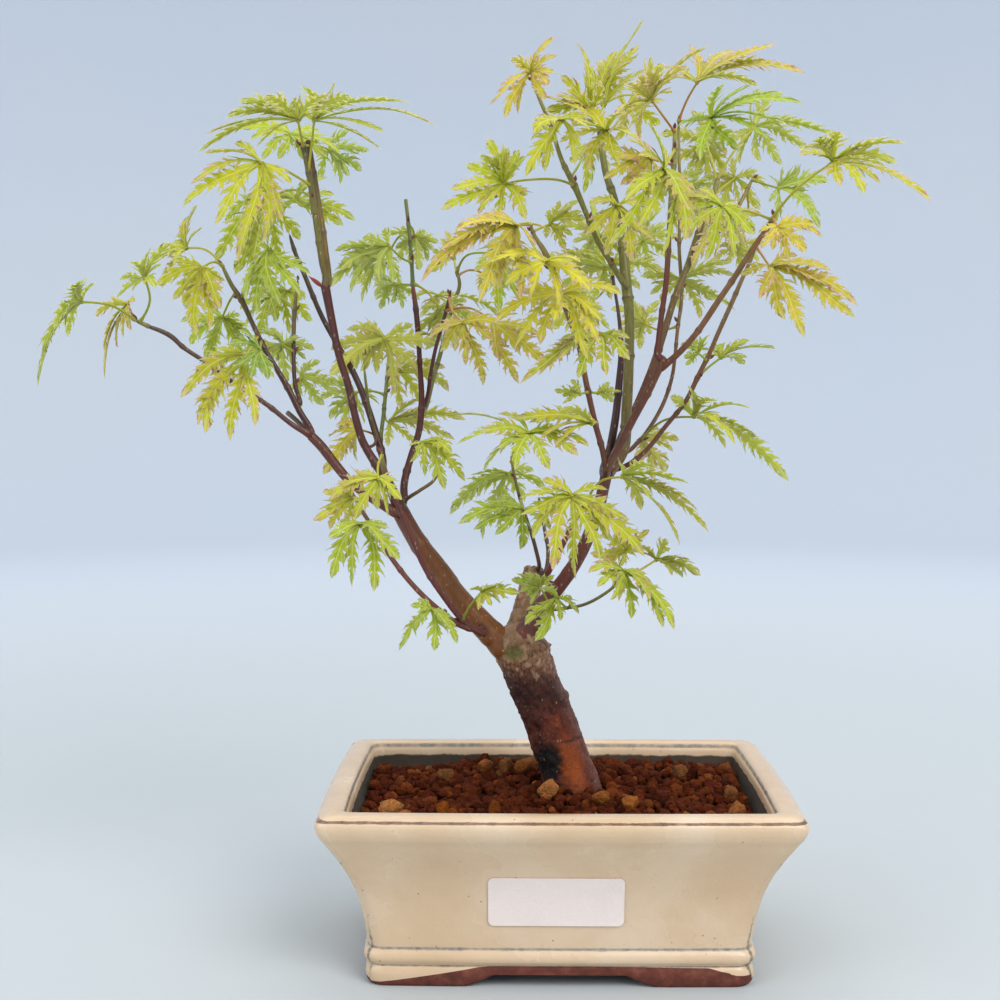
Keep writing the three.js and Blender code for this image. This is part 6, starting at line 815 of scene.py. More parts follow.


# ------------------------------------------------------------------ shoots and branches
# (node, limb): [(share along, colour)...], how it ends
RED, RED2, BRN, OLV, GRN, PNK, DRK = "#57231c", "#6b2e22", "#4a261b", "#6d6a2c", "#8a9a3e", "#b47a58", "#2d1712"
LOOK = {
    ("left_branch", 0): ([(0, "#a07f60"), (0.04, "#83481a"), (0.12, "#824a16"), (0.4, "#85501a"), (0.7, "#7a471c"), (1, "#633020")], "round"),
    ("right_branch", 0): ([(0, "#6b382a"), (0.3, "#6a3020"), (1, "#5a281c")], "round"),
    ("left_leader", 0): ([(0, "#5d3a22"), (0.3, "#54261c"), (1, "#4d1a16")], "round"),
    ("left_leader", 1): ([(0, "#6a5a2c"), (1, "#6d682c")], "round"),
    ("left_leader", 2): ([(0, "#6e5a30"), (0.6, "#74602f"), (1, "#3f2a1c")], "dark"),
    ("left_leader", 3): ([(0, RED), (1, "#7a8038")], "point"),
    ("left_leader_leaves", 0): ([(0, "#6d682c"), (0.75, "#66622c"), (1, "#33221a")], "dark"),
    ("left_second_twig", 0): ([(0, "#4e2018"), (0.6, "#3b1712"), (1, "#5a4a28")], "point"),
    ("left_fork", 0): ([(0, "#6a3a28"), (1, "#5a2c20")], "round"),
    ("left_fork", 1): ([(0, "#5b2c22"), (1, "#6a5a4c")], "grey"),
    ("left_reach", 0): ([(0, "#5a2a1e"), (1, "#4f3a24")], "round"),
    ("left_reach_leaves", 0): ([(0, "#6f6a34"), (1, "#8a8a40")], "point"),
    ("left_rise", 0): ([(0, "#4e1f18"), (1, "#43211a")], "round"),
    ("left_rise_leaves", 0): ([(0, "#4a261c"), (0.6, "#6d5a30"), (1, "#7f8038")], "point"),
    ("left_rise_side", 0): ([(0, "#4a2018"), (0.55, "#3d1c16"), (0.62, "#6a5530"), (1, "#7a7438")], "point"),
    ("left_upright", 0): ([(0, "#5b2c20"), (0.35, "#5a2018"), (0.9, "#4b1c16"), (1, "#7a3424")], "round"),
    ("left_upright_leaves", 0): ([(0, "#5f6a2a"), (1, "#6f7434")], "green"),
    ("left_right", 0): ([(0, "#7c8038"), (0.5, "#8a8c3c"), (1, "#8a7c3c")], "point"),
    ("left_right", 1): ([(0, "#5b241a"), (1, "#4c2a20")], "point"),
    ("left_inner", 0): ([(0, "#54402a"), (0.5, "#6f7a34"), (1, "#87903e")], "point"),
    ("left_side", 0): ([(0, RED), (1, "#8a7a3c")], "point"),
    ("left_front", 0): ([(0, "#6a3020"), (0.5, "#642a22"), (0.86, "#5e2a20"), (1, "#7f7a40")], "point"),
    ("left_low", 0): ([(0, "#5c281d"), (0.35, "#74402f"), (0.8, "#6e3c2c"), (1, "#84703f")], "point"),
    ("right_green_stem", 0): ([(0, "#5c3422"), (0.12, "#6e5a2c"), (0.45, "#77732f"), (1, "#7b7a31")], "round"),
    ("right_green_leaves", 0): ([(0, "#75742f"), (0.5, "#4a3424"), (1, "#2b1a14")], "dark"),
    ("right_dark_stem", 0): ([(0, "#3d2118"), (0.5, "#3f1c16"), (1, "#4a2a1e")], "round"),
    ("right_dark_leaves", 0): ([(0, "#4c3022"), (1, "#7a6a38")], "point"),
    ("right_front_twig", 0): ([(0, "#63402a"), (0.5, "#5e301e"), (1, "#6e3e24")], "round"),
    ("right_front_twig_up", 0): ([(0, "#5e2a1a"), (0.55, "#6e3420"), (0.66, "#6b4a26"), (1, "#76742e")], "round"),
    ("right_up_leaves", 0): ([(0, "#7f7e38"), (1, "#8c8a40")], "point"),
    ("right_front_twig_out", 0): ([(0, "#64301f"), (0.25, "#744726"), (0.8, "#7d5c2c"), (1, "#8a5530")], "round"),
    ("right_out_leaves", 0): ([(0, "#9a3c2c"), (0.3, "#8a7a3c"), (1, "#a0924a")], "point"),
    ("right_back_twig", 0): ([(0, "#57301f"), (0.4, "#64361f"), (0.7, "#74602c"), (1, "#767030")], "round"),
    ("right_back_leaves", 0): ([(0, "#80743a"), (1, "#8f8a40")], "point"),
    ("right_left", 0): ([(0, "#5a3423"), (0.3, "#6a3a26"), (0.7, "#7a6234"), (1, "#8a7c3c")], "point"),
    ("right_inner", 0): ([(0, "#75702f"), (0.5, "#7f7a34"), (1, "#8f8a40")], "point"),
    ("right_arc", 0): ([(0, "#6a3524"), (0.4, "#7a5a34"), (1, "#8f8640")], "point"),
    ("right_outer", 0): ([(0, "#5f3324"), (0.5, "#7a4a30"), (1, "#8f7a44")], "point"),
    ("right_far", 0): ([(0, "#7a5534"), (1, "#8f8240")], "point"),
    ("right_short", 0): ([(0, "#6a2c22"), (0.6, "#71302a"), (1, "#7a6038")], "point"),
    ("right_low", 0): ([(0, "#5c4a2c"), (0.5, "#6b6434"), (1, "#84813f")], "point"),
    ("centre", 0): ([(0, "#4a2a20"), (0.4, "#5c4a2e"), (1, "#85803f")], "point"),
    ("centre_cut_twig", 0): ([(0, "#553524"), (1, "#5f4a30")], "dark"),
}
CUTS = {"dark": "#2a1812", "green": "#7d8a44", "grey": "#6b5d50", "tan": "#a98f72"}


def stem(acc, limb, stops, end, seed, joints=(), sides=14, m_bark=1, m_cut=2, step=0.9, flare=1.25):
    rng = np.random.default_rng(seed)
    P = np.array(limb, float)
    Q, s = curve(P, step)
    L = s[-1]
    T, A, Bn = frames(Q)
    r = np.maximum(Q[:, 3], 0.45)
    if end == "point":
        r = r * np.clip(np.sqrt(np.clip((L - s) / 4.0, 0, 1)) * 0.75 + 0.25, 0.0, 1)
    r = r * (1 + (flare - 1) * np.exp(-((s / (2.2 + r[0])) ** 2)))
    ring = np.zeros(len(s))
    at = [x for x in joints]
    # regular nodes: pairs of old leaf scars
    k = 14 + 10 * rng.random()
    while k < L - 6:
        if all(abs(k - x) > 8 for x in at):
            at.append(k)
        k += 17 + 12 * rng.random()
    old = float(np.clip((P[:, 3].max() - 2.6) / 1.4, 0, 1))
    for x in at:
        g = np.exp(-((s - x) / (0.9 + 0.5 * old)) ** 2)
        r = r * (1 + (0.24 - 0.19 * old) * g)
        ring = np.maximum(ring, np.exp(-((s - x - 0.2) / 0.45) ** 2) * (1 - 0.55 * old))
    a = np.arange(sides) * 2 * math.pi / sides
    ca, sa = np.cos(a)[None, :, None], np.sin(a)[None, :, None]
    wob = 1 + 0.035 * vnoise((Q[:, :3]), 0.18, seed % 17)[:, None] + 0.03 * np.sin(a * 3 + seed)[None, :] * np.ones((len(s), 1))
    V = (Q[:, None, :3] + A[:, None] * (ca * (r[:, None] * wob)[:, :, None]) + Bn[:, None] * (sa * (r[:, None] * wob)[:, :, None])).reshape(-1, 3)
    F = grid_faces(len(s), sides)
    F.append(tuple(reversed(range(sides))))
    pos = np.array([x[0] for x in stops])
    cols = np.array([C3(x[1]) for x in stops])
    f = s / L
    col = np.stack([np.interp(f, pos, cols[:, c]) for c in range(3)], 1)
    K = np.concatenate([np.repeat(col, sides, 0), np.ones((len(V), 1))], 1)
    D = np.stack([np.full(len(V), old), np.repeat(s, sides), np.repeat(ring, sides), np.zeros(len(V))], 1)
    n = len(s)
    if end in CUTS:
        base = (n - 1) * sides
        c0 = Q[-1, :3]
        V2 = [V]
        cur = V[base:]
        V2.append(c0 + (cur - c0) * 0.86 + T[-1] * 0.22)
        V2.append(c0 + (cur - c0) * 0.45 - T[-1] * 0.05)
        V2.append((c0 - T[-1] * 0.15)[None, :])
        acc.add(V, F, corners(F, D), corners(F, K), m_bark)
        Vc = np.vstack([cur] + V2[1:])
        Fc = grid_faces(3, sides)
        for i in range(sides):
            Fc.append((2 * sides + i, 2 * sides + (i + 1) % sides, 3 * sides))
        cc = C3(CUTS[end])
        Kc = np.tile(np.append(cc, 1.0), (len(Vc), 1))
        Kc[: sides, :3] = col[-1] * 0.6
        acc.add(Vc, Fc, corners(Fc, np.zeros((len(Vc), 4))), corners(Fc, Kc), m_cut)
        # the skin stays closed by itself
        acc.F.append(tuple(acc.n - len(Vc) - len(V) + base + i for i in range(sides)))
        acc.M.append(m_bark)
        acc.D.append(np.zeros((sides, 4)))
        acc.K.append(np.tile(np.append(cc, 1.0), (sides, 1)))
    else:
        base = (n - 1) * sides
        c0 = Q[-1, :3]
        V = np.vstack([V, c0 + (V[base:] - c0) * 0.6 + T[-1] * r[-1] * 0.55, (c0 + T[-1] * r[-1] * 0.85)[None, :]])
        for i in range(sides):
            j = (i + 1) % sides
            F.append((base + i, base + j, base + sides + j, base + sides + i))
            F.append((base + sides + i, base + sides + j, base + 2 * sides))
        K = np.vstack([K, np.tile(K[base], (sides + 1, 1))])
        D = np.vstack([D, np.tile(D[base], (sides + 1, 1))])
        acc.add(V, F, corners(F, D), corners(F, K), m_bark)
    return Q, s, T, A, Bn, r


def bud(acc, c, d, length, rad, colh, m=1):
    """A pointed bud with two scales."""
    d = unit(np.asarray(d, float))
    for sgn, k in ((1, 1.0), (-1, 0.9)):
        off = unit(np.cross(d, np.array([0.3, 0.8, 0.2]))) * sgn * rad * 0.25
        pts = [list(c + off), list(c + off + d * length * 0.5 * k), list(c + d * length * k)]
        Q, s = curve(pts, length / 8)
        T, A, Bn = frames(Q)
        t = s / s[-1]
        r = rad * np.sin(np.clip(t * 0.9 + 0.12, 0, 1) * math.pi) ** 0.75 * (1 - 0.35 * t) + 0.04
        sides = 8
        a = np.arange(sides) * 2 * math.pi / sides
        V = (Q[:, None, :3] + A[:, None] * (np.cos(a)[None, :, None] * r[:, None, None]) + Bn[:, None] * (np.sin(a)[None, :, None] * r[:, None, None])).reshape(-1, 3)
        F = grid_faces(len(Q), sides) + [tuple(reversed(range(sides))), tuple(range((len(Q) - 1) * sides, len(Q) * sides))]
        K = np.tile(np.append(C3(colh) * (1.0 if sgn > 0 else 0.8), 1.0), (len(V), 1))
        acc.add(V, F, corners(F, np.zeros((len(V), 4))), corners(F, K), m)


def near_on(Q, p):
    d = np.linalg.norm(Q[:, :3] - np.asarray(p)[None], axis=1)
    i = int(d.argmin())
    return i, d[i]


def build_tree_node(nd, ni):
    acc = Acc()
    name = nd["name"]
    for li, limb in enumerate(nd["limbs"]):
        stops, end = LOOK.get((name, li), ([(0, RED2), (1, "#7f7a3c")], "point"))
        if name == "right_front_twig_out":
            # it leaves the fork in one even bend
            limb = [[72.4, -21.9, 234.3, 1.35], [76.9, -24.8, 238.0, 1.25]] + limb[3:]
        Q0, s0 = curve(np.array(limb, float), 1.0)
        at = []
        for lf in nd["leaves"]:
            i, dd = near_on(Q0, lf["stalk"][0])
            if dd < 2.5 and 3 < s0[i] < s0[-1] - 1:
                at.append(s0[i])
        at = sorted(at)
        at = [x for k, x in enumerate(at) if k == 0 or x - at[k - 1] > 5]
        big = max(p[3] for p in limb)
        Q, s, T, A, Bn, r = stem(acc, limb, stops, end, ni * 31 + li * 7 + 3, joints=at, sides=24 if big > 2.4 else 14, step=0.8)
        rng = np.random.default_rng(ni * 91 + li)
        for x in at:
            # a small bud sits above each leaf stalk
            i = int(np.searchsorted(s, x))
            i = min(i + 1, len(s) - 1)
            a = rng.random() * 6.283
            o = A[i] * math.cos(a) + Bn[i] * math.sin(a)
            bud(acc, Q[i, :3] + o * r[i] * 0.8, unit(T[i] + o * 0.7), 1.9 + rng.random(), 0.55, "#7d3527")
    for k, lf in enumerate(nd["leaves"]):
        build_leaf(acc, lf, 1000 + ni * 53 + k * 7)
    return acc


for ni, nd in enumerate(TREE):
    if nd["name"] == "trunk":
        continue
    acc = build_tree_node(nd, ni)
    nm = nd["name"]
    if nm == "left_leader":
        # the small red pointed bud on the left side of the leader
        Q, s = curve(np.array(nd["limbs"][0], float), 1.0)
        i = int(np.argmin(np.abs(Q[:, 2] - 274.0)))
        bud(acc, Q[i, :3] + np.array([-Q[i, 3] * 0.75, -0.4, 0.0]), (-0.78, -0.1, 0.62), 6.5, 0.75, "#9a2f2a")
    slot = {"twig": "twig_bark", "green": "green_bark", "leaf": "leaf"}[nd["kind"]]
    acc.done(nm + "_grown", [M_LEAF, M_SHOOT, M_CUT], sharp=62, node=(nm,), slot=slot)


# ------------------------------------------------------------------ trunk
def build_trunk(nd):
    limb = np.array(nd["limbs"][0], float)
    # let it run a little into the granules, and swell at the foot
    Q, s = curve(limb, 0.62)
    L = s[-1]
    T, A, Bn = frames(Q)
    r = Q[:, 3] * 1.0
    sides = 112
    a = np.arange(sides) * 2 * math.pi / sides
    base = Q[:, None, :3] + (A[:, None] * np.cos(a)[None, :, None] + Bn[:, None] * np.sin(a)[None, :, None]) * r[:, None, None]
    nrm = (A[:, None] * np.cos(a)[None, :, None] + Bn[:, None] * np.sin(a)[None, :, None])
    P = base.reshape(-1, 3)
    Nn = nrm.reshape(-1, 3)
    f = np.repeat(s / L, sides)
    h = np.zeros(len(P))
    disp = np.zeros(len(P))
    ang = np.tile(a, len(s))
    along = np.repeat(s, sides)
    for i in range(len(P)):
        # coordinates that follow the stem, so that flakes and furrows run along it
        q = Vector((math.cos(ang[i]) * 9.5, math.sin(ang[i]) * 9.5, along[i] * 0.55))
        flaky = min(1.0, max(0.0, (P[i][2] - 104.0) / 9.0))
        warp = noise.noise_vector(q * 0.30) * 0.9 + noise.noise_vector(q * 1.1) * 0.25
        d1 = noise.voronoi(q * 0.34 + Vector((3.1, 0, 7.7)) + warp)[0]
        plate = min(1.0, (d1[1] - d1[0]) * 2.0)
        ridg = noise.fractal(q * 0.5 + Vector((9, 2, 5)), 0.75, 2.1, 5)
        fine = noise.fractal(q * 1.7 + Vector((4, 8, 5)), 0.7, 2.2, 3)
        low = noise.noise(Vector((q.x * 0.12, q.y * 0.12, q.z * 0.12 + 3.0)))
        h[i] = min(1.0, max(0.0, 0.34 + 0.80 * flaky * (plate - 0.32) + 0.34 * ridg + 0.22 * fine))
        disp[i] = 0.7 * low + (0.10 + 0.85 * flaky) * (plate - 0.5) + 0.5 * ridg + 0.22 * fine
    # healed round scar on the front, near the fork
    sc = np.array([SCAR[0], 0.0, SCAR[2]])
    dd = np.linalg.norm((P - sc) * np.array([0.85, 0.0, 1.35]), axis=1) + np.where(Nn[:, 1] < -0.1, 0.0, 30.0)
    scar = np.clip(1.4 - dd / 4.3, 0, 1)
    disp = disp * (1 - 0.85 * np.clip(1.35 - dd / 6.2, 0, 1)) + 0.95 * np.exp(-((dd - 5.2) / 1.3) ** 2) - 0.55 * np.exp(-((dd / 3.4) ** 2))
    # the smooth orange patch low on the right, and the dark one low on the left
    wob = vnoise(P, 0.45, 21) * 1.6 + vnoise(P, 1.3, 22) * 0.6
    pr = np.clip(1.4 * np.exp(-(np.abs((P[:, 0] + wob - PATCH[0] - (PATCH[2] - P[:, 2]) * 0.28) / 4.6) ** 2.6 + np.abs((P[:, 2] + wob - PATCH[2]) / 10.0) ** 3)), 0, 1) * 0.77 * (P[:, 1] < 6)
    pd = np.clip(1.3 * np.exp(-(np.abs((P[:, 0] + wob - DARK[0]) / 5.0) ** 2.4 + np.abs((P[:, 2] - wob - DARK[2]) / 6.8) ** 2.4)), 0, 1) * (P[:, 1] < 6)
    disp = disp * (1 - 0.8 * np.clip(pr * 1.5, 0, 1)) - 0.7 * pd
    h = np.maximum(h, np.clip(pr * 1.6, 0, 0.42))
    h = h * (1 - 0.9 * np.clip(pd * 1.4, 0, 1))
    cut = np.exp(-(((P[:, 2] - PATCH[2] - 10.5 - 0.10 * (P[:, 0] - PATCH[0])) / 0.55) ** 2)) * (np.abs(P[:, 0] - PATCH[0] - 1.0) < 6.5) * (P[:, 1] < 6)
    h = h * (1 - cut)
    disp = disp - 0.45 * cut
    # a pointed flake of bark at the right below the fork, and a low knob farther down
    right = np.clip((Nn[:, 0] - 0.35) * 2.5, 0, 1)
    disp = disp + 2.6 * right * np.exp(-np.abs(P[:, 2] - 121.5) / 1.5) * np.exp(-((P[:, 1] / 4.5) ** 2)) + 0.9 * right * np.exp(-(((P[:, 2] - 101.0) / 2.0) ** 2))
    V = P + Nn * disp[:, None]
    stops = np.array([60, 72, 84, 95, 103, 109, 115, 124, 134.0])
    cols = np.array([C3(c) for c in ("#5c2410", "#68280f", "#6a2a10", "#521e0c", "#3f170b", "#54281a", "#9a6b4b", "#ad845f", "#a67a54")])
    zq = P[:, 2] + 2.0 * vnoise(P, 0.16, 6)
    col = np.stack([np.interp(zq, stops, cols[:, c]) for c in range(3)], 1)
    rust = np.exp(-(((P[:, 0] - 34.5 - (89.0 - P[:, 2]) * 0.42) / 3.6) ** 2 + ((P[:, 2] - 88) / 12.0) ** 2)) * (P[:, 1] < 8)
    col = col * (1 - 0.8 * rust)[:, None] + C3("#83340d") * (0.8 * rust)[:, None]
    col = col * (1 - np.clip(pr * 1.3, 0, 1))[:, None] + C3("#a24c12") * np.clip(pr * 1.3, 0, 1)[:, None]
    col = col * (1 - 0.93 * np.clip(pd * 1.4, 0, 1))[:, None]
    # the pale collar where the left branch leaves
    collar = np.exp(-(((P[:, 0] - 11.6) / 3.0) ** 2 + ((P[:, 2] - 127.6) / 3.4) ** 2)) * (P[:, 1] < 4) * np.clip(1.2 - scar, 0, 1)
    col = col * (1 - 0.75 * collar)[:, None] + C3("#bda48c") * (0.75 * collar)[:, None]
    zone = np.clip((zq - 106) / 7, 0.10, 1) * (1 - np.clip(pr * 1.6, 0, 1))
    # painted sheen: the right flank, the side that faces the key light, is painted a paler pinkish grey all the way up,
    # with more pale flakes
    sheen_flank = np.clip((Nn[:, 0] - 0.62) * 2.6, 0, 1)
    zone = np.maximum(zone, sheen_flank * 0.45)
    col = col * (1 - 0.6 * sheen_flank[:, None]) + C3("#94675a") * 0.6 * sheen_flank[:, None]
    F = grid_faces(len(s), sides)
    F.append(tuple(reversed(range(sides))))
    nring = len(s)
    top = Q[-1, :3]
    rows, ncols, nD = [V], [col], []
    D = np.stack([h, zone, scar, np.zeros(len(P))], 1)
    # rounded crown between the limbs
    prev = (nring - 1) * sides
    count = len(V)
    ringV, ringN, ringC, ringS = V[prev:], Nn[prev:], col[prev:], scar[prev:] * 0
    caps = [(0.93, 2.6), (0.78, 4.8), (0.55, 6.3), (0.28, 7.0)]
    for kk, up in caps:
        c0 = top
        Vn = c0 + (ringV - c0) * kk + T[-1] * up
        Vn = Vn + ringN * (vnoise(Vn, 0.5, 3)[:, None] * 0.7)
        rows.append(Vn)
        ncols.append(ringC)
        D = np.vstack([D, np.stack([np.clip(0.55 + 0.5 * vnoise(Vn, 0.4, 8), 0, 1), np.ones(sides), ringS, np.zeros(sides)], 1)])
        for i in range(sides):
            j = (i + 1) % sides
            F.append((prev + i, prev + j, count + j, count + i))
        prev = count
        count += sides
    F.append(tuple(prev + i for i in range(sides)))
    V = np.vstack(rows)
    col = np.vstack(ncols)
    acc = Acc()
    K = np.concatenate([col, np.ones((len(V), 1))], 1)
    acc.add(V, F, corners(F, D), corners(F, K), 0)
    # the cut stub between the two branches
    st = np.array(nd["limbs"][1], float)
    Q2, s2 = curve(st, 0.6)
    T2, A2, B2 = frames(Q2)
    sd = 48
    a = np.arange(sd) * 2 * math.pi / sd
    nr = (A2[:, None] * np.cos(a)[None, :, None] + B2[:, None] * np.sin(a)[None, :, None]).reshape(-1, 3)
    P2 = np.repeat(Q2[:, :3], sd, 0) + nr * np.repeat(Q2[:, 3], sd)[:, None]
    h2 = np.zeros(len(P2))
    dsp = np.zeros(len(P2))
    for i, p in enumerate(P2):
        q = Vector((p[0], p[1], p[2] * 0.6))
        d1 = noise.voronoi(q * 0.42 + Vector((1, 4, 2)))[0]
        plate = min(1.0, (d1[1] - d1[0]) * 2.2)
        rr = noise.fractal(q * 0.7, 0.7, 2.1, 3)
        h2[i] = min(1, max(0, 0.2 + plate * 0.6 + 0.3 * rr))
        dsp[i] = 0.55 * plate - 0.3 + 0.35 * rr
    V2 = P2 + nr * dsp[:, None]
    F2 = grid_faces(len(s2), sd)
    F2.append(tuple(reversed(range(sd))))
    b = (len(s2) - 1) * sd
    c0 = Q2[-1, :3]
    n0 = len(V2)
    r1 = c0 + (V2[b:] - c0) * 0.8 + T2[-1] * 0.5 + (vnoise(V2[b:], 0.9, 5)[:, None]) * T2[-1] * 1.0
    r2 = c0 + (V2[b:] - c0) * 0.4 - T2[-1] * 0.2 + (vnoise(V2[b:], 1.1, 6)[:, None]) * T2[-1] * 0.6
    V2 = np.vstack([V2, r1, r2, (c0 - T2[-1] * 0.5)[None]])
    for i in range(sd):
        j = (i + 1) % sd
        F2.append((b + i, b + j, n0 + j, n0 + i))
        F2.append((n0 + i, n0 + j, n0 + sd + j, n0 + sd + i))
        F2.append((n0 + sd + i, n0 + sd + j, n0 + 2 * sd))
    k2 = np.tile(C3("#ad8660"), (len(V2), 1)) * (1 + 0.25 * vnoise(V2, 0.35, 9))[:, None]
    k2[n0:] = C3("#b3916a")
    D2 = np.concatenate([np.append(h2, np.full(len(V2) - n0, 0.5))[:, None], np.ones((len(V2), 1)), np.zeros((len(V2), 2))], 1)
    K2 = np.concatenate([k2, np.ones((len(V2), 1))], 1)
    acc.add(V2, F2, corners(F2, D2), corners(F2, K2), 0)
    acc.done("trunk_bark_body", [M_BARK], node=("trunk",), slot="bark")


SCAR = (15.4, -6.5, 120.2)
PATCH = (39.3, 0, 73.0)
DARK = (29.8, 0, 74.3)
build_trunk([n for n in TREE if n["name"] == "trunk"][0])


# ------------------------------------------------------------------ pot
def outline(hx, hy, r, bow, ns=26, nc=14):
    """Closed rounded rectangle whose sides bow out a little, counter-clockwise from the front left."""
    pts = []
    corner = [((hx - r), -(hy - r), -math.pi / 2), ((hx - r), (hy - r), 0), (-(hx - r), (hy - r), math.pi / 2), (-(hx - r), -(hy - r), math.pi)]
    ends = []
    for cx, cy, a0 in corner:
        arc = [(cx + r * math.cos(a0 + math.pi / 2 * k / nc), cy + r * math.sin(a0 + math.pi / 2 * k / nc)) for k in range(nc + 1)]
        ends.append(arc)
    for i in range(4):
        a, b = ends[i - 1][-1], ends[i][0]
        for k in range(1, ns):
            t = k / ns
            x, y = a[0] + (b[0] - a[0]) * t, a[1] + (b[1] - a[1]) * t
            g = bow * 4 * t * (1 - t)
            if i == 0:
                y -= g
            elif i == 1:
                x += g
            elif i == 2:
                y += g
            else:
                x -= g
            pts.append((x, y))
        pts += ends[i]
    return np.array(pts)


OUT = [[18.2, 0.0], [17.4, 1.0], [16.9, 3.0], [16.8, 5.2], [17.2, 7.0], [17.9, 8.0], [17.3, 8.9], [16.5, 10.0], [16.2, 11.4], [16.4, 12.8], [17.1, 13.9], [17.8, 14.7], [17.6, 16], [17.2, 19], [16.1, 26.5], [13.9, 36], [10.7, 44.5], [6.9, 52], [4.5, 56], [2.9, 58.9], [1.5, 61.0], [0.5, 63.4], [0.1, 65.8], [0.45, 67.3], [1.6, 68.1]]
INN = [[3.6, 69.7], [10.2, 69.7], [10.6, 67.4], [11.4, 66.2], [12.3, 60], [14.6, 52], [18.2, 44.5], [21.4, 36], [23.6, 26.5], [24.6, 16]]


def smooth_profile(pts, n_each):
    P = np.array(pts, float)
    out = []
    for i in range(len(P) - 1):
        for k in range(n_each):
            out.append(P[i] + (P[i + 1] - P[i]) * k / n_each)
    out.append(P[-1])
    out = np.array(out)
    for _ in range(2):
        q = out.copy()
        q[1:-1] = 0.25 * out[:-2] + 0.5 * out[1:-1] + 0.25 * out[2:]
        out = q
    return out


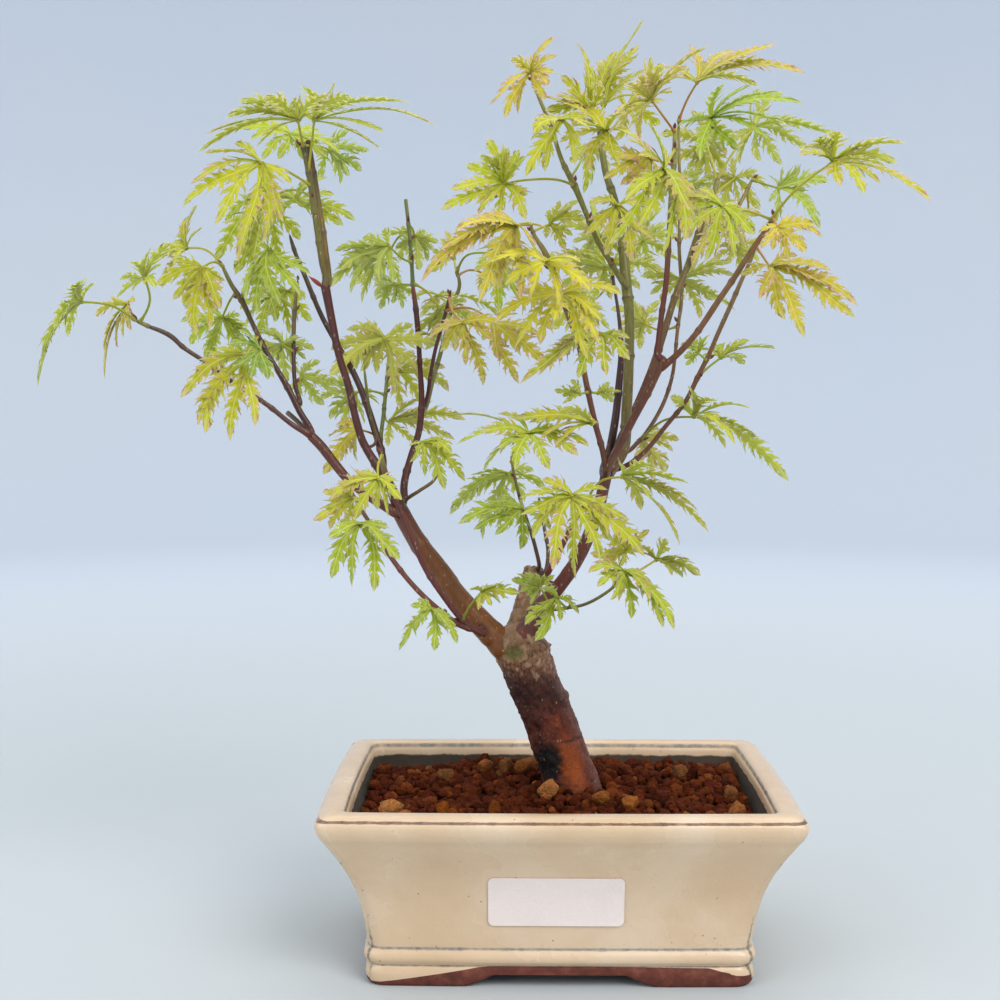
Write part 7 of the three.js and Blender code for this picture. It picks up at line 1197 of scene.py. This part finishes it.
def build_pot():
    hx, hy = 91.0, 65.5
    prof = smooth_profile(OUT, 4)
    rim = np.array([[2.6, 68.9], [4.2, 69.55], [6.2, 69.8], [8.4, 69.75], [9.6, 69.4], [10.2, 68.7]])
    inn = smooth_profile([[10.45, 67.9]] + INN[2:], 4)
    prof = np.vstack([prof, rim, inn])
    foot_in = np.array([[27.0, 7.0], [26.6, 1.2], [25.8, 0.25], [24.2, 0.0], [20.2, 0.0], [18.5, 0.15]])
    prof = np.vstack([foot_in, prof])
    ref = outline(hx, hy, 9, 1.2)
    n = len(ref)
    rings = []
    for ins, z in prof:
        ax, ay = hx - ins, hy - ins
        r = float(np.interp(ins, [0, 2, 10, 18, 27], [4.2, 4.4, 5.5, 7.0, 4.0])) if len(rings) < len(foot_in) + len(OUT) * 4 - 3 else float(np.interp(ins, [0, 2.6, 10, 13, 25], [4.2, 4.4, 4.2, 6.0, 8.0]))
        rings.append(np.column_stack([outline(ax, ay, r, 1.2 * (1 - ins / 60)), np.full(n, z)]))
    V = np.vstack(rings)
    # shallow arches between the feet, along every side
    x, y, z = V[:, 0], V[:, 1], V[:, 2]

    def arch(t, flat, end, rise):
        k = np.clip((end - np.abs(t)) / (end - flat), 0, 1)
        return rise * k * k * (3 - 2 * k)

    onx = (np.abs(y) > hy - 28.5) & (np.abs(x) < 45)
    lift = np.where(onx, arch(x, 18, 38, 6.3), 0)
    ony = (np.abs(x) > hx - 28.5) & (np.abs(y) < 30)
    lift = np.maximum(lift, np.where(ony, arch(y, 9, 21, 3.4), 0))
    foot = np.zeros(len(V), bool)
    m = len(foot_in) + 8
    idx = np.repeat(np.arange(len(prof)), n)
    f = np.clip((7.6 - z) / 7.6, 0, 1)
    low = (idx < m + 4) & (z < 7.6)
    z2 = np.where(low, z + lift * f * np.where(z < 7.0, 1, 1), z)
    V[:, 2] = z2 + 0.0
    F = grid_faces(len(prof), n)
    zz = prof[idx, 1]
    ii = prof[idx, 0]
    outer = (idx >= len(foot_in)) & (idx < len(foot_in) + len(smooth_profile(OUT, 4)))
    lip = np.zeros(len(V))
    front = (np.abs(V[:, 1]) > np.abs(V[:, 0]) * 0.62)
    lip = np.maximum(lip, np.exp(-((zz - 67.9) / 0.62) ** 2) * (ii < 2.4) * np.where(front, 1.0, 0.55))
    lip = np.maximum(lip, np.exp(-((zz - 12.9) / 0.45) ** 2) * outer * 0.25)
    # painted shade: the term at z 58.6 paints the soft grey shade under the rim's undercut; the two grooves lower down
    # carry the glaze's own pooling
    pool_and_shade = 0.95 * np.exp(-((zz - 14.8) / 0.75) ** 2) * outer + 0.85 * np.exp(-((zz - 8.15) / 0.6) ** 2) * outer + 0.26 * np.exp(-((zz - 58.6) / 1.5) ** 2) * outer
    pool_and_shade = pool_and_shade + 0.8 * np.exp(-((ii - 10.35) / 0.5) ** 2) * ((idx > len(foot_in)) & (zz > 66) & (~outer))
    # the bare clay begins where the dipped glaze ends: low at the front left corner, up in the groove across the middle
    xs, ys = V[:, 0], V[:, 1]
    zb = np.where(np.abs(ys) > 46, np.interp(xs, [-76, -64, -28, 12, 58, 66, 76], [1.2, 2.4, 8.2, 8.3, 7.6, 5.0, 4.6]), np.interp(np.abs(ys), [0, 20, 44], [8.2, 7.4, 3.0]))
    clay = np.where(idx < len(foot_in), 1.0, np.where(outer & (zz < 9.2), np.clip(0.5 + (zb - zz) / 1.6, 0, 1), 0.0))
    # inside, where soil and granules lie, the clay is bare as well
    inside = (~outer) & (idx > len(foot_in))
    clay = np.where(inside & (ii > 13.5), 1.0, clay)
    k = np.arange(len(V)) % n
    off = np.array([abs(((kk % (n // 4)) - 25 - 7.0)) for kk in k])
    cornerline = np.exp(-((off / 2.6) ** 2)) * np.clip(np.where(outer, np.interp(zz, [3, 8, 20, 46, 60, 68], [0.8, 0.95, 0.95, 0.15, 0.05, 0.9]), 0.15), 0, 1)
    D = np.stack([lip, np.clip(pool_and_shade, 0, 1), clay, cornerline], 1)
    D = D.tolist()
    V = V.tolist()
    # floor inside and recess ceiling below, with the two drainage holes
    bm = bmesh.new()
    bv = [bm.verts.new(v) for v in V]
    hn = 28
    holes = {}
    for lvl, zc in (("floor", 16.0), ("under", 7.0)):
        for sx in (-38, 38):
            ring = []
            for k in range(hn):
                a = 2 * math.pi * k / hn
                V.append([sx + 7.5 * math.cos(a), 7.5 * math.sin(a), zc])
                D.append([0, 0, 1.0, 0])
                bv.append(bm.verts.new(V[-1]))
                ring.append(bv[-1])
            holes[(lvl, sx)] = ring
    bm.verts.ensure_lookup_table()
    for fc in F:
        bm.faces.new([bv[i] for i in fc])
    last = (len(prof) - 1) * n
    for lvl, start, flip in (("floor", last, False), ("under", 0, True)):
        loop = [bv[start + i] for i in range(n)]
        edges = []
        for a, b in zip(loop, loop[1:] + loop[:1]):
            e = bm.edges.get((a, b)) or bm.edges.new((a, b))
            edges.append(e)
        for sx in (-38, 38):
            rg = holes[(lvl, sx)]
            for a, b in zip(rg, rg[1:] + rg[:1]):
                edges.append(bm.edges.new((a, b)))
        bmesh.ops.triangle_fill(bm, edges=edges, use_beauty=True, use_dissolve=False)
    for sx in (-38, 38):
        a, b = holes[("floor", sx)], holes[("under", sx)]
        for k in range(hn):
            j = (k + 1) % hn
            bm.faces.new([a[k], a[j], b[j], b[k]])
    # triangle_fill may also close the holes themselves
    bm.faces.ensure_lookup_table()
    dead = []
    for fc in bm.faces:
        c = fc.calc_center_median()
        if len(fc.verts) == 3 and any(math.hypot(c.x - sx, c.y) < 6.9 for sx in (-38, 38)) and (abs(c.z - 16) < 0.01 or abs(c.z - 7) < 0.01):
            if all(math.hypot(v.co.x - sx0, v.co.y) < 7.6 for v in fc.verts for sx0 in [(-38 if c.x < 0 else 38)]):
                dead.append(fc)
    bmesh.ops.delete(bm, geom=dead, context="FACES_ONLY")
    bmesh.ops.recalc_face_normals(bm, faces=bm.faces)
    bm.verts.index_update()
    VV = np.array([v.co for v in bm.verts]) + np.array([CX, CY, 0])
    FF = [tuple(v.index for v in fc.verts) for fc in bm.faces]
    bm.free()
    D = np.array(D)
    K = np.ones((len(VV), 4))
    # painted shade: the inner wall just above the granules is marked here to be painted near-black, the shade it lies
    # in under the rim
    vv = np.asarray(VV, float)
    shaded_inner_wall = (np.abs(vv[:, 0] - CX) < 81.8) & (np.abs(vv[:, 1] - CY) < 56.3) & (vv[:, 2] > 50)
    K[shaded_inner_wall, 3] = np.clip((vv[shaded_inner_wall, 2] - 63.8) / 1.5, 0, 1)
    make("pot_body", VV, FF, [M_POT], corner=dict(detail=corners(FF, D), tint=corners(FF, K)), sharp=48, node=("pot",), slot="glaze")


build_pot()


def inset_at(profile, z):
    p = np.array(sorted(profile, key=lambda q: q[1]))
    return float(np.interp(z, p[:, 1], p[:, 0]))


# ------------------------------------------------------------------ soil
def build_soil():
    hx, hy = 91.0, 65.5
    zs = [17.6, 26.5, 36, 44.5, 52, 55.2, 56.0]
    rings = []
    for z in zs:
        ins = inset_at(INN, z) + 0.3 + (0.8 if z == 56.0 else 0)
        rings.append(np.column_stack([outline(hx - ins, hy - ins, 6, 1.0), np.full(len(outline(1, 1, .1, 0)), z)]))
    n = len(rings[0])
    # the top is a lumpy sheet
    for k in (0.9, 0.75, 0.6, 0.45, 0.3, 0.15):
        ring = rings[6][:, :2] * k
        z = 56.3 + 0.9 * vnoise(np.column_stack([ring, np.zeros(n)]), 0.16, 4)
        rings.append(np.column_stack([ring, z]))
    V = np.vstack(rings)
    F = grid_faces(len(rings), n) + [tuple(reversed(range(n)))]
    V = np.vstack([V, [[0, 0, 56.4]]])
    b = (len(rings) - 1) * n
    F += [(b + i, b + (i + 1) % n, len(V) - 1) for i in range(n)]
    make("soil_block", V + np.array([CX, CY, 0]), F, [M_SOIL], node=("soil",), slot="soil", sharp=50)


build_soil()


# ------------------------------------------------------------------ baked clay granules
def build_granules():
    rng = np.random.default_rng(77)
    def ball(sub):
        bm = bmesh.new()
        bmesh.ops.create_icosphere(bm, subdivisions=sub, radius=1)
        U = np.array([v.co for v in bm.verts])
        UF = [tuple(v.index for v in f.verts) for f in bm.faces]
        bm.free()
        return U, UF

    # each shape twice: in fine faces for the granules on top, in coarse ones for those below
    U3, F3 = ball(3)
    U2, F2 = ball(2)
    shapes = []
    for k in range(16):
        chips = [(unit(rng.normal(size=3)), 0.60 + 0.24 * rng.random()) for _ in range(5)]
        sq = np.array([1, 0.84 + 0.22 * rng.random(), 0.76 + 0.24 * rng.random()])
        both = []
        for U in (U3, U2):
            d = 1 + 0.34 * vnoise(U, 1.1, 11 + k) + 0.27 * vnoise(U, 2.4, 50 + k) + 0.17 * vnoise(U, 5.2, 90 + k)
            S = U * d[:, None]
            for ax, lim in chips:
                S = S - np.outer(np.clip(S @ ax - lim, 0, None) * 0.8, ax)
            both.append(S * sq)
        shapes.append(both)
    hx, hy = 91.0 - 12.3, 65.5 - 12.3
    step = 1.0
    nx, ny = int(2 * hx / step) + 1, int(2 * hy / step) + 1
    gx, gy = np.linspace(-hx, hx, nx), np.linspace(-hy, hy, ny)
    X, Y = np.meshgrid(gx, gy, indexing="ij")
    H = np.full((nx, ny), 56.3)
    # the trunk's foot holds granules off
    tx, ty = 8.6, 9.0
    palette = [("#521d0b", 0.26), ("#5a240e", 0.30), ("#642a11", 0.22), ("#743414", 0.09), ("#80421d", 0.04), ("#3f1607", 0.08), ("#8c552a", 0.01)]
    pc = np.array([C3(c) for c, _ in palette])
    pp = np.array([w for _, w in palette])
    pp /= pp.sum()
    special = [(-65.0, -36, 4.7, "#a8683a"), (-59.0, -42, 3.6, "#99582f"), (-12, 24, 4.9, "#9a572a"), (-21, 27, 3.4, "#7f4c28"), (-30, 25, 3.5, "#97562c"), (-4.0, -10, 4.1, "#b87040"), (17.0, -22, 3.6, "#9c5828"), (27.5, -28, 3.7, "#985426"), (52, 20, 3.6, "#7d4c2a"), (-46, 14, 3.4, "#7c4a28"), (70, -6, 3.6, "#7d4a28"), (69, -32, 3.8, "#99582f"), (-45, -30, 3.2, "#84400f"), (-25, -33, 3.4, "#7c3c12"), (-41, -38, 3.3, "#82400f")]
    placed_list = []
    want = 1420
    placed = 0
    tries = 0
    target = lambda x, y: 62.3 + 3.0 * min(1.0, max(0.0, (y + 8) / 56)) + 2.6 * math.exp(-(((x - tx) / 34) ** 2 + ((y - ty + 8) / 30) ** 2)) + 1.0 * noise.noise(Vector((x * 0.05, y * 0.05, 1.0))) - 6.5 * math.exp(-(((x + 62) / 17) ** 2 + ((y - 50) / 9) ** 2)) - 4.0 * math.exp(-(((x - 66) / 12) ** 2 + ((y - 50) / 8) ** 2)) - 0.6 * math.exp(-(((y - 53) / 4) ** 2)) - 2.2 * math.exp(-((max(abs(x) - 73.5, 0) - 5.2) / 3.0) ** 2) * (abs(x) > 70)

    def drop(x, y, r):
        i0, i1 = np.searchsorted(gx, x - r), np.searchsorted(gx, x + r)
        j0, j1 = np.searchsorted(gy, y - r), np.searchsorted(gy, y + r)
        if i1 <= i0 or j1 <= j0:
            return None
        q = (X[i0:i1, j0:j1] - x) ** 2 + (Y[i0:i1, j0:j1] - y) ** 2
        ok = q < (r * 0.82) ** 2
        if not ok.any():
            return None
        bump = np.sqrt(np.clip(r * r - q, 0, None))
        zc = float(np.percentile((H[i0:i1, j0:j1] + bump * 0.9)[ok], 72))
        return zc, (i0, i1, j0, j1), bump, ok

    def settle(x, y, r, col):
        nonlocal placed
        got = drop(x, y, r)
        if got is None:
            return
        zc, (i0, i1, j0, j1), bump, ok = got
        zc -= r * 0.12
        H[i0:i1, j0:j1] = np.where(ok, np.maximum(H[i0:i1, j0:j1], zc + bump * 0.86), H[i0:i1, j0:j1])
        kind = int(rng.integers(len(shapes)))
        q = unit(np.append(rng.normal(size=3), rng.normal()))
        w, (a, b, c) = q[3], q[:3]
        R = np.array([[1 - 2 * (b * b + c * c), 2 * (a * b - c * w), 2 * (a * c + b * w)], [2 * (a * b + c * w), 1 - 2 * (a * a + c * c), 2 * (b * c - a * w)], [2 * (a * c - b * w), 2 * (b * c + a * w), 1 - 2 * (a * a + b * b)]])
        placed_list.append((kind, R, r, x, y, zc, col * (1 + rng.normal(0, 0.09)) * np.array((1.05, 1.24, 1.20))))
        placed += 1

    while placed < want and tries < 9000:
        tries += 1
        r = float(np.clip(rng.lognormal(math.log(2.85), 0.30), 1.5, 4.8))
        best = None
        for _ in range(5):
            x, y = rng.uniform(-hx + r * 0.9, hx - r * 0.9), rng.uniform(-hy + r * 0.9, hy - r * 0.9)
            if math.hypot(x - tx, y - ty) < 12.2 + r * 0.6:
                continue
            got = drop(x, y, r)
            if got and (best is None or got[0] < best[0]):
                best = (got[0], x, y)
        if best is None or best[0] + r * 0.8 > target(best[1], best[2]) + 0.6:
            continue
        settle(best[1], best[2], r, pc[rng.choice(len(pc), p=pp)])
    for x, y, r, c in special:
        if math.hypot(x - tx, y - ty) > 12.5 + r * 0.5:
            settle(x, y, r, C3(c))
    parts = {"granules_front": [], "granules_middle": [], "granules_back": []}
    for kind, R, r, x, y, zc, col in placed_list:
        i, j = min(nx - 1, max(0, int((x + hx) / step))), min(ny - 1, max(0, int((y + hy) / step)))
        top = zc + r * 0.8 > H[i, j] - 2.2
        parts["granules_front" if y < -18 else "granules_middle" if y < 18 else "granules_back"].append((kind, R, r, x, y, zc, col, top))
    for name, items in parts.items():
        oV, oF, oK, nv = [], [], [], 0
        for kind, R, r, x, y, zc, col, top in items:
            S, UF = (shapes[kind][0], F3) if top else (shapes[kind][1], F2)
            P = (S @ R.T) * r + np.array([x, y, zc])
            # none goes through the pot's wall
            P[:, 0] = np.clip(P[:, 0], -hx + 0.2, hx - 0.2)
            P[:, 1] = np.clip(P[:, 1], -hy + 0.2, hy - 0.2)
            oV.append(P)
            oF.append(np.array(UF) + nv)
            oK.append(np.tile(np.append(col, 1.0), (len(P), 1)))
            nv += len(P)
        FF = np.vstack(oF)
        make(name, np.vstack(oV) + np.array([CX, CY, 0]), FF, [M_GRAN], corner=dict(tint=np.vstack(oK)[FF.ravel()]), node=("granule_layer",), slot="granules")
    return placed


GRANULES = build_granules()


# ------------------------------------------------------------------ label
def build_label():
    x0, x1, z0, z1 = -27.0, 24.0, 24.6, 44.8
    prof = smooth_profile(OUT, 4)
    order = np.argsort(prof[:, 1])
    pz, pi = prof[order, 1], prof[order, 0]
    rad = 2.2
    nx, nz = 64, 30
    hxl, hzl, cxl, czl = (x1 - x0) / 2, (z1 - z0) / 2, (x0 + x1) / 2, (z0 + z1) / 2
    V, F = [], []
    for side in (0, 1):
        for j in range(nz + 1):
            for i in range(nx + 1):
                u, v = 2 * i / nx - 1, 2 * j / nz - 1
                lx, lz = u * hxl, v * hzl
                # pull the grid's corners in to round them
                ex, ez = abs(lx) - (hxl - rad), abs(lz) - (hzl - rad)
                if ex > 0 and ez > 0:
                    m = max(ex, ez)
                    k = m / math.hypot(ex, ez)
                    lx = math.copysign(hxl - rad + ex * k, lx)
                    lz = math.copysign(hzl - rad + ez * k, lz)
                X, Z = cxl + lx, czl + lz
                bow = 1.2 * (1 - (X / 74.0) ** 2)
                y = -(65.5 - np.interp(Z, pz, pi) + bow)
                edge = max(abs(u), abs(v))
                lift = 0.12 * max(0.0, noise.noise(Vector((X * 0.06, Z * 0.1, 2.0)))) + 0.10 * max(0.0, edge - 0.9) * 10 * max(0.0, noise.noise(Vector((X * 0.12, Z * 0.12, 5.0))))
                V.append((X, y - 0.06 - (0.28 + lift if side else 0.0), Z))
    def id_(s, i, j):
        return s * (nx + 1) * (nz + 1) + j * (nx + 1) + i
    for j in range(nz):
        for i in range(nx):
            F.append((id_(1, i, j), id_(1, i + 1, j), id_(1, i + 1, j + 1), id_(1, i, j + 1)))
            F.append((id_(0, i, j), id_(0, i, j + 1), id_(0, i + 1, j + 1), id_(0, i + 1, j)))
    for i in range(nx):
        F.append((id_(0, i, 0), id_(0, i + 1, 0), id_(1, i + 1, 0), id_(1, i, 0)))
        F.append((id_(1, i, nz), id_(1, i + 1, nz), id_(0, i + 1, nz), id_(0, i, nz)))
    for j in range(nz):
        F.append((id_(0, 0, j + 1), id_(0, 0, j), id_(1, 0, j), id_(1, 0, j + 1)))
        F.append((id_(0, nx, j), id_(0, nx, j + 1), id_(1, nx, j + 1), id_(1, nx, j)))
    make("blank_label", np.array(V) + np.array([CX, CY, 0]), F, [M_LABEL], node=("pot_label",), slot="label", sharp=50)


build_label()


# ------------------------------------------------------------------ drainage mesh
def build_drain(sx, name):
    """A square of moulded mesh: crossing round-backed bars with a heavier border."""
    V, F = [], []

    def bar(x0, x1, y0, y1, z0, z1, b=0.12):
        n = len(V)
        for z, k in ((z0, b), (z0 + b, 0), (z1 - b, 0), (z1, b)):
            V.extend([(x0 + k, y0 + k, z), (x1 - k, y0 + k, z), (x1 - k, y1 - k, z), (x0 + k, y1 - k, z)])
        for l in range(3):
            for i in range(4):
                j = (i + 1) % 4
                F.append((n + l * 4 + i, n + l * 4 + j, n + (l + 1) * 4 + j, n + (l + 1) * 4 + i))
        F.append((n + 3, n + 2, n + 1, n))
        F.append((n + 12, n + 13, n + 14, n + 15))

    z0, z1 = 16.3, 17.2
    k = 9
    for i in range(k):
        p = -12 + 24 * i / (k - 1)
        w = 0.55 if i in (0, k - 1) else 0.36
        p = max(-12 + w, min(12 - w, p))
        bar(sx + p - w, sx + p + w, -12, 12, z0 + 0.1, z1 - 0.25)
        bar(sx - 12, sx + 12, p - w, p + w, z0, z1 - 0.1)
    make(name + "_bars", np.array(V) + np.array([CX, CY, 0]), F, [M_MESH], node=(name,), slot="mesh", smooth=False)


build_drain(-38, "drainage_mesh_left")
build_drain(38, "drainage_mesh_right")


# ------------------------------------------------------------------ studio: a pale seamless floor and soft light
def build_stage():
    prof = [(0.0, 0.0), (0.3, 0.0), (1.7, 0.0)]
    for k in range(1, 13):
        a = math.pi / 2 * k / 12
        prof.append((1.7 + 0.9 * math.sin(a), 0.9 - 0.9 * math.cos(a)))
    prof.append((2.6, 2.6))
    n = 72
    V = [(0, 0, 0)]
    for r, z in prof[1:]:
        V += [(r * math.cos(2 * math.pi * i / n), r * math.sin(2 * math.pi * i / n), z) for i in range(n)]
    F = [(0, 1 + i, 1 + (i + 1) % n) for i in range(n)]
    for k in range(len(prof) - 2):
        for i in range(n):
            j = (i + 1) % n
            F.append((1 + k * n + i, 1 + (k + 1) * n + i, 1 + (k + 1) * n + j, 1 + k * n + j))
    me = bpy.data.meshes.new("floor")
    me.from_pydata(V, [], F)
    me.polygons.foreach_set("use_smooth", np.ones(len(me.polygons), bool))
    me.materials.append(M_FLOOR)
    o = bpy.data.objects.new("floor", me)
    bpy.context.scene.collection.objects.link(o)


build_stage()


def area(name, loc, target, size, power, col=(1, 1, 1)):
    li = bpy.data.lights.new(name, "AREA")
    li.shape = "RECTANGLE"
    li.size, li.size_y = size
    li.energy = power
    li.color = col
    o = bpy.data.objects.new(name, li)
    bpy.context.scene.collection.objects.link(o)
    o.location = loc
    o.rotation_euler = (Vector(target) - Vector(loc)).to_track_quat("-Z", "Y").to_euler()
    o.visible_camera = False
    return o


area("key", (0.85, -1.15, 1.25), (0.02, 0, 0.2), (1.0, 1.0), 21, (1.0, 0.98, 0.95))
area("fill", (-1.2, -0.9, 0.9), (0, 0, 0.2), (1.2, 1.2), 9, (0.96, 0.98, 1.0))
area("top", (0.0, 0.5, 1.7), (0, 0, 0.1), (1.6, 1.6), 12, (1.0, 1.0, 1.0))
world = bpy.data.worlds.new("world")
bpy.context.scene.world = world
world.use_nodes = True
world.node_tree.nodes["Background"].inputs[0].default_value = (0.80, 0.86, 0.93, 1)
world.node_tree.nodes["Background"].inputs[1].default_value = 0.89
bpy.context.scene.view_settings.view_transform = "Standard"
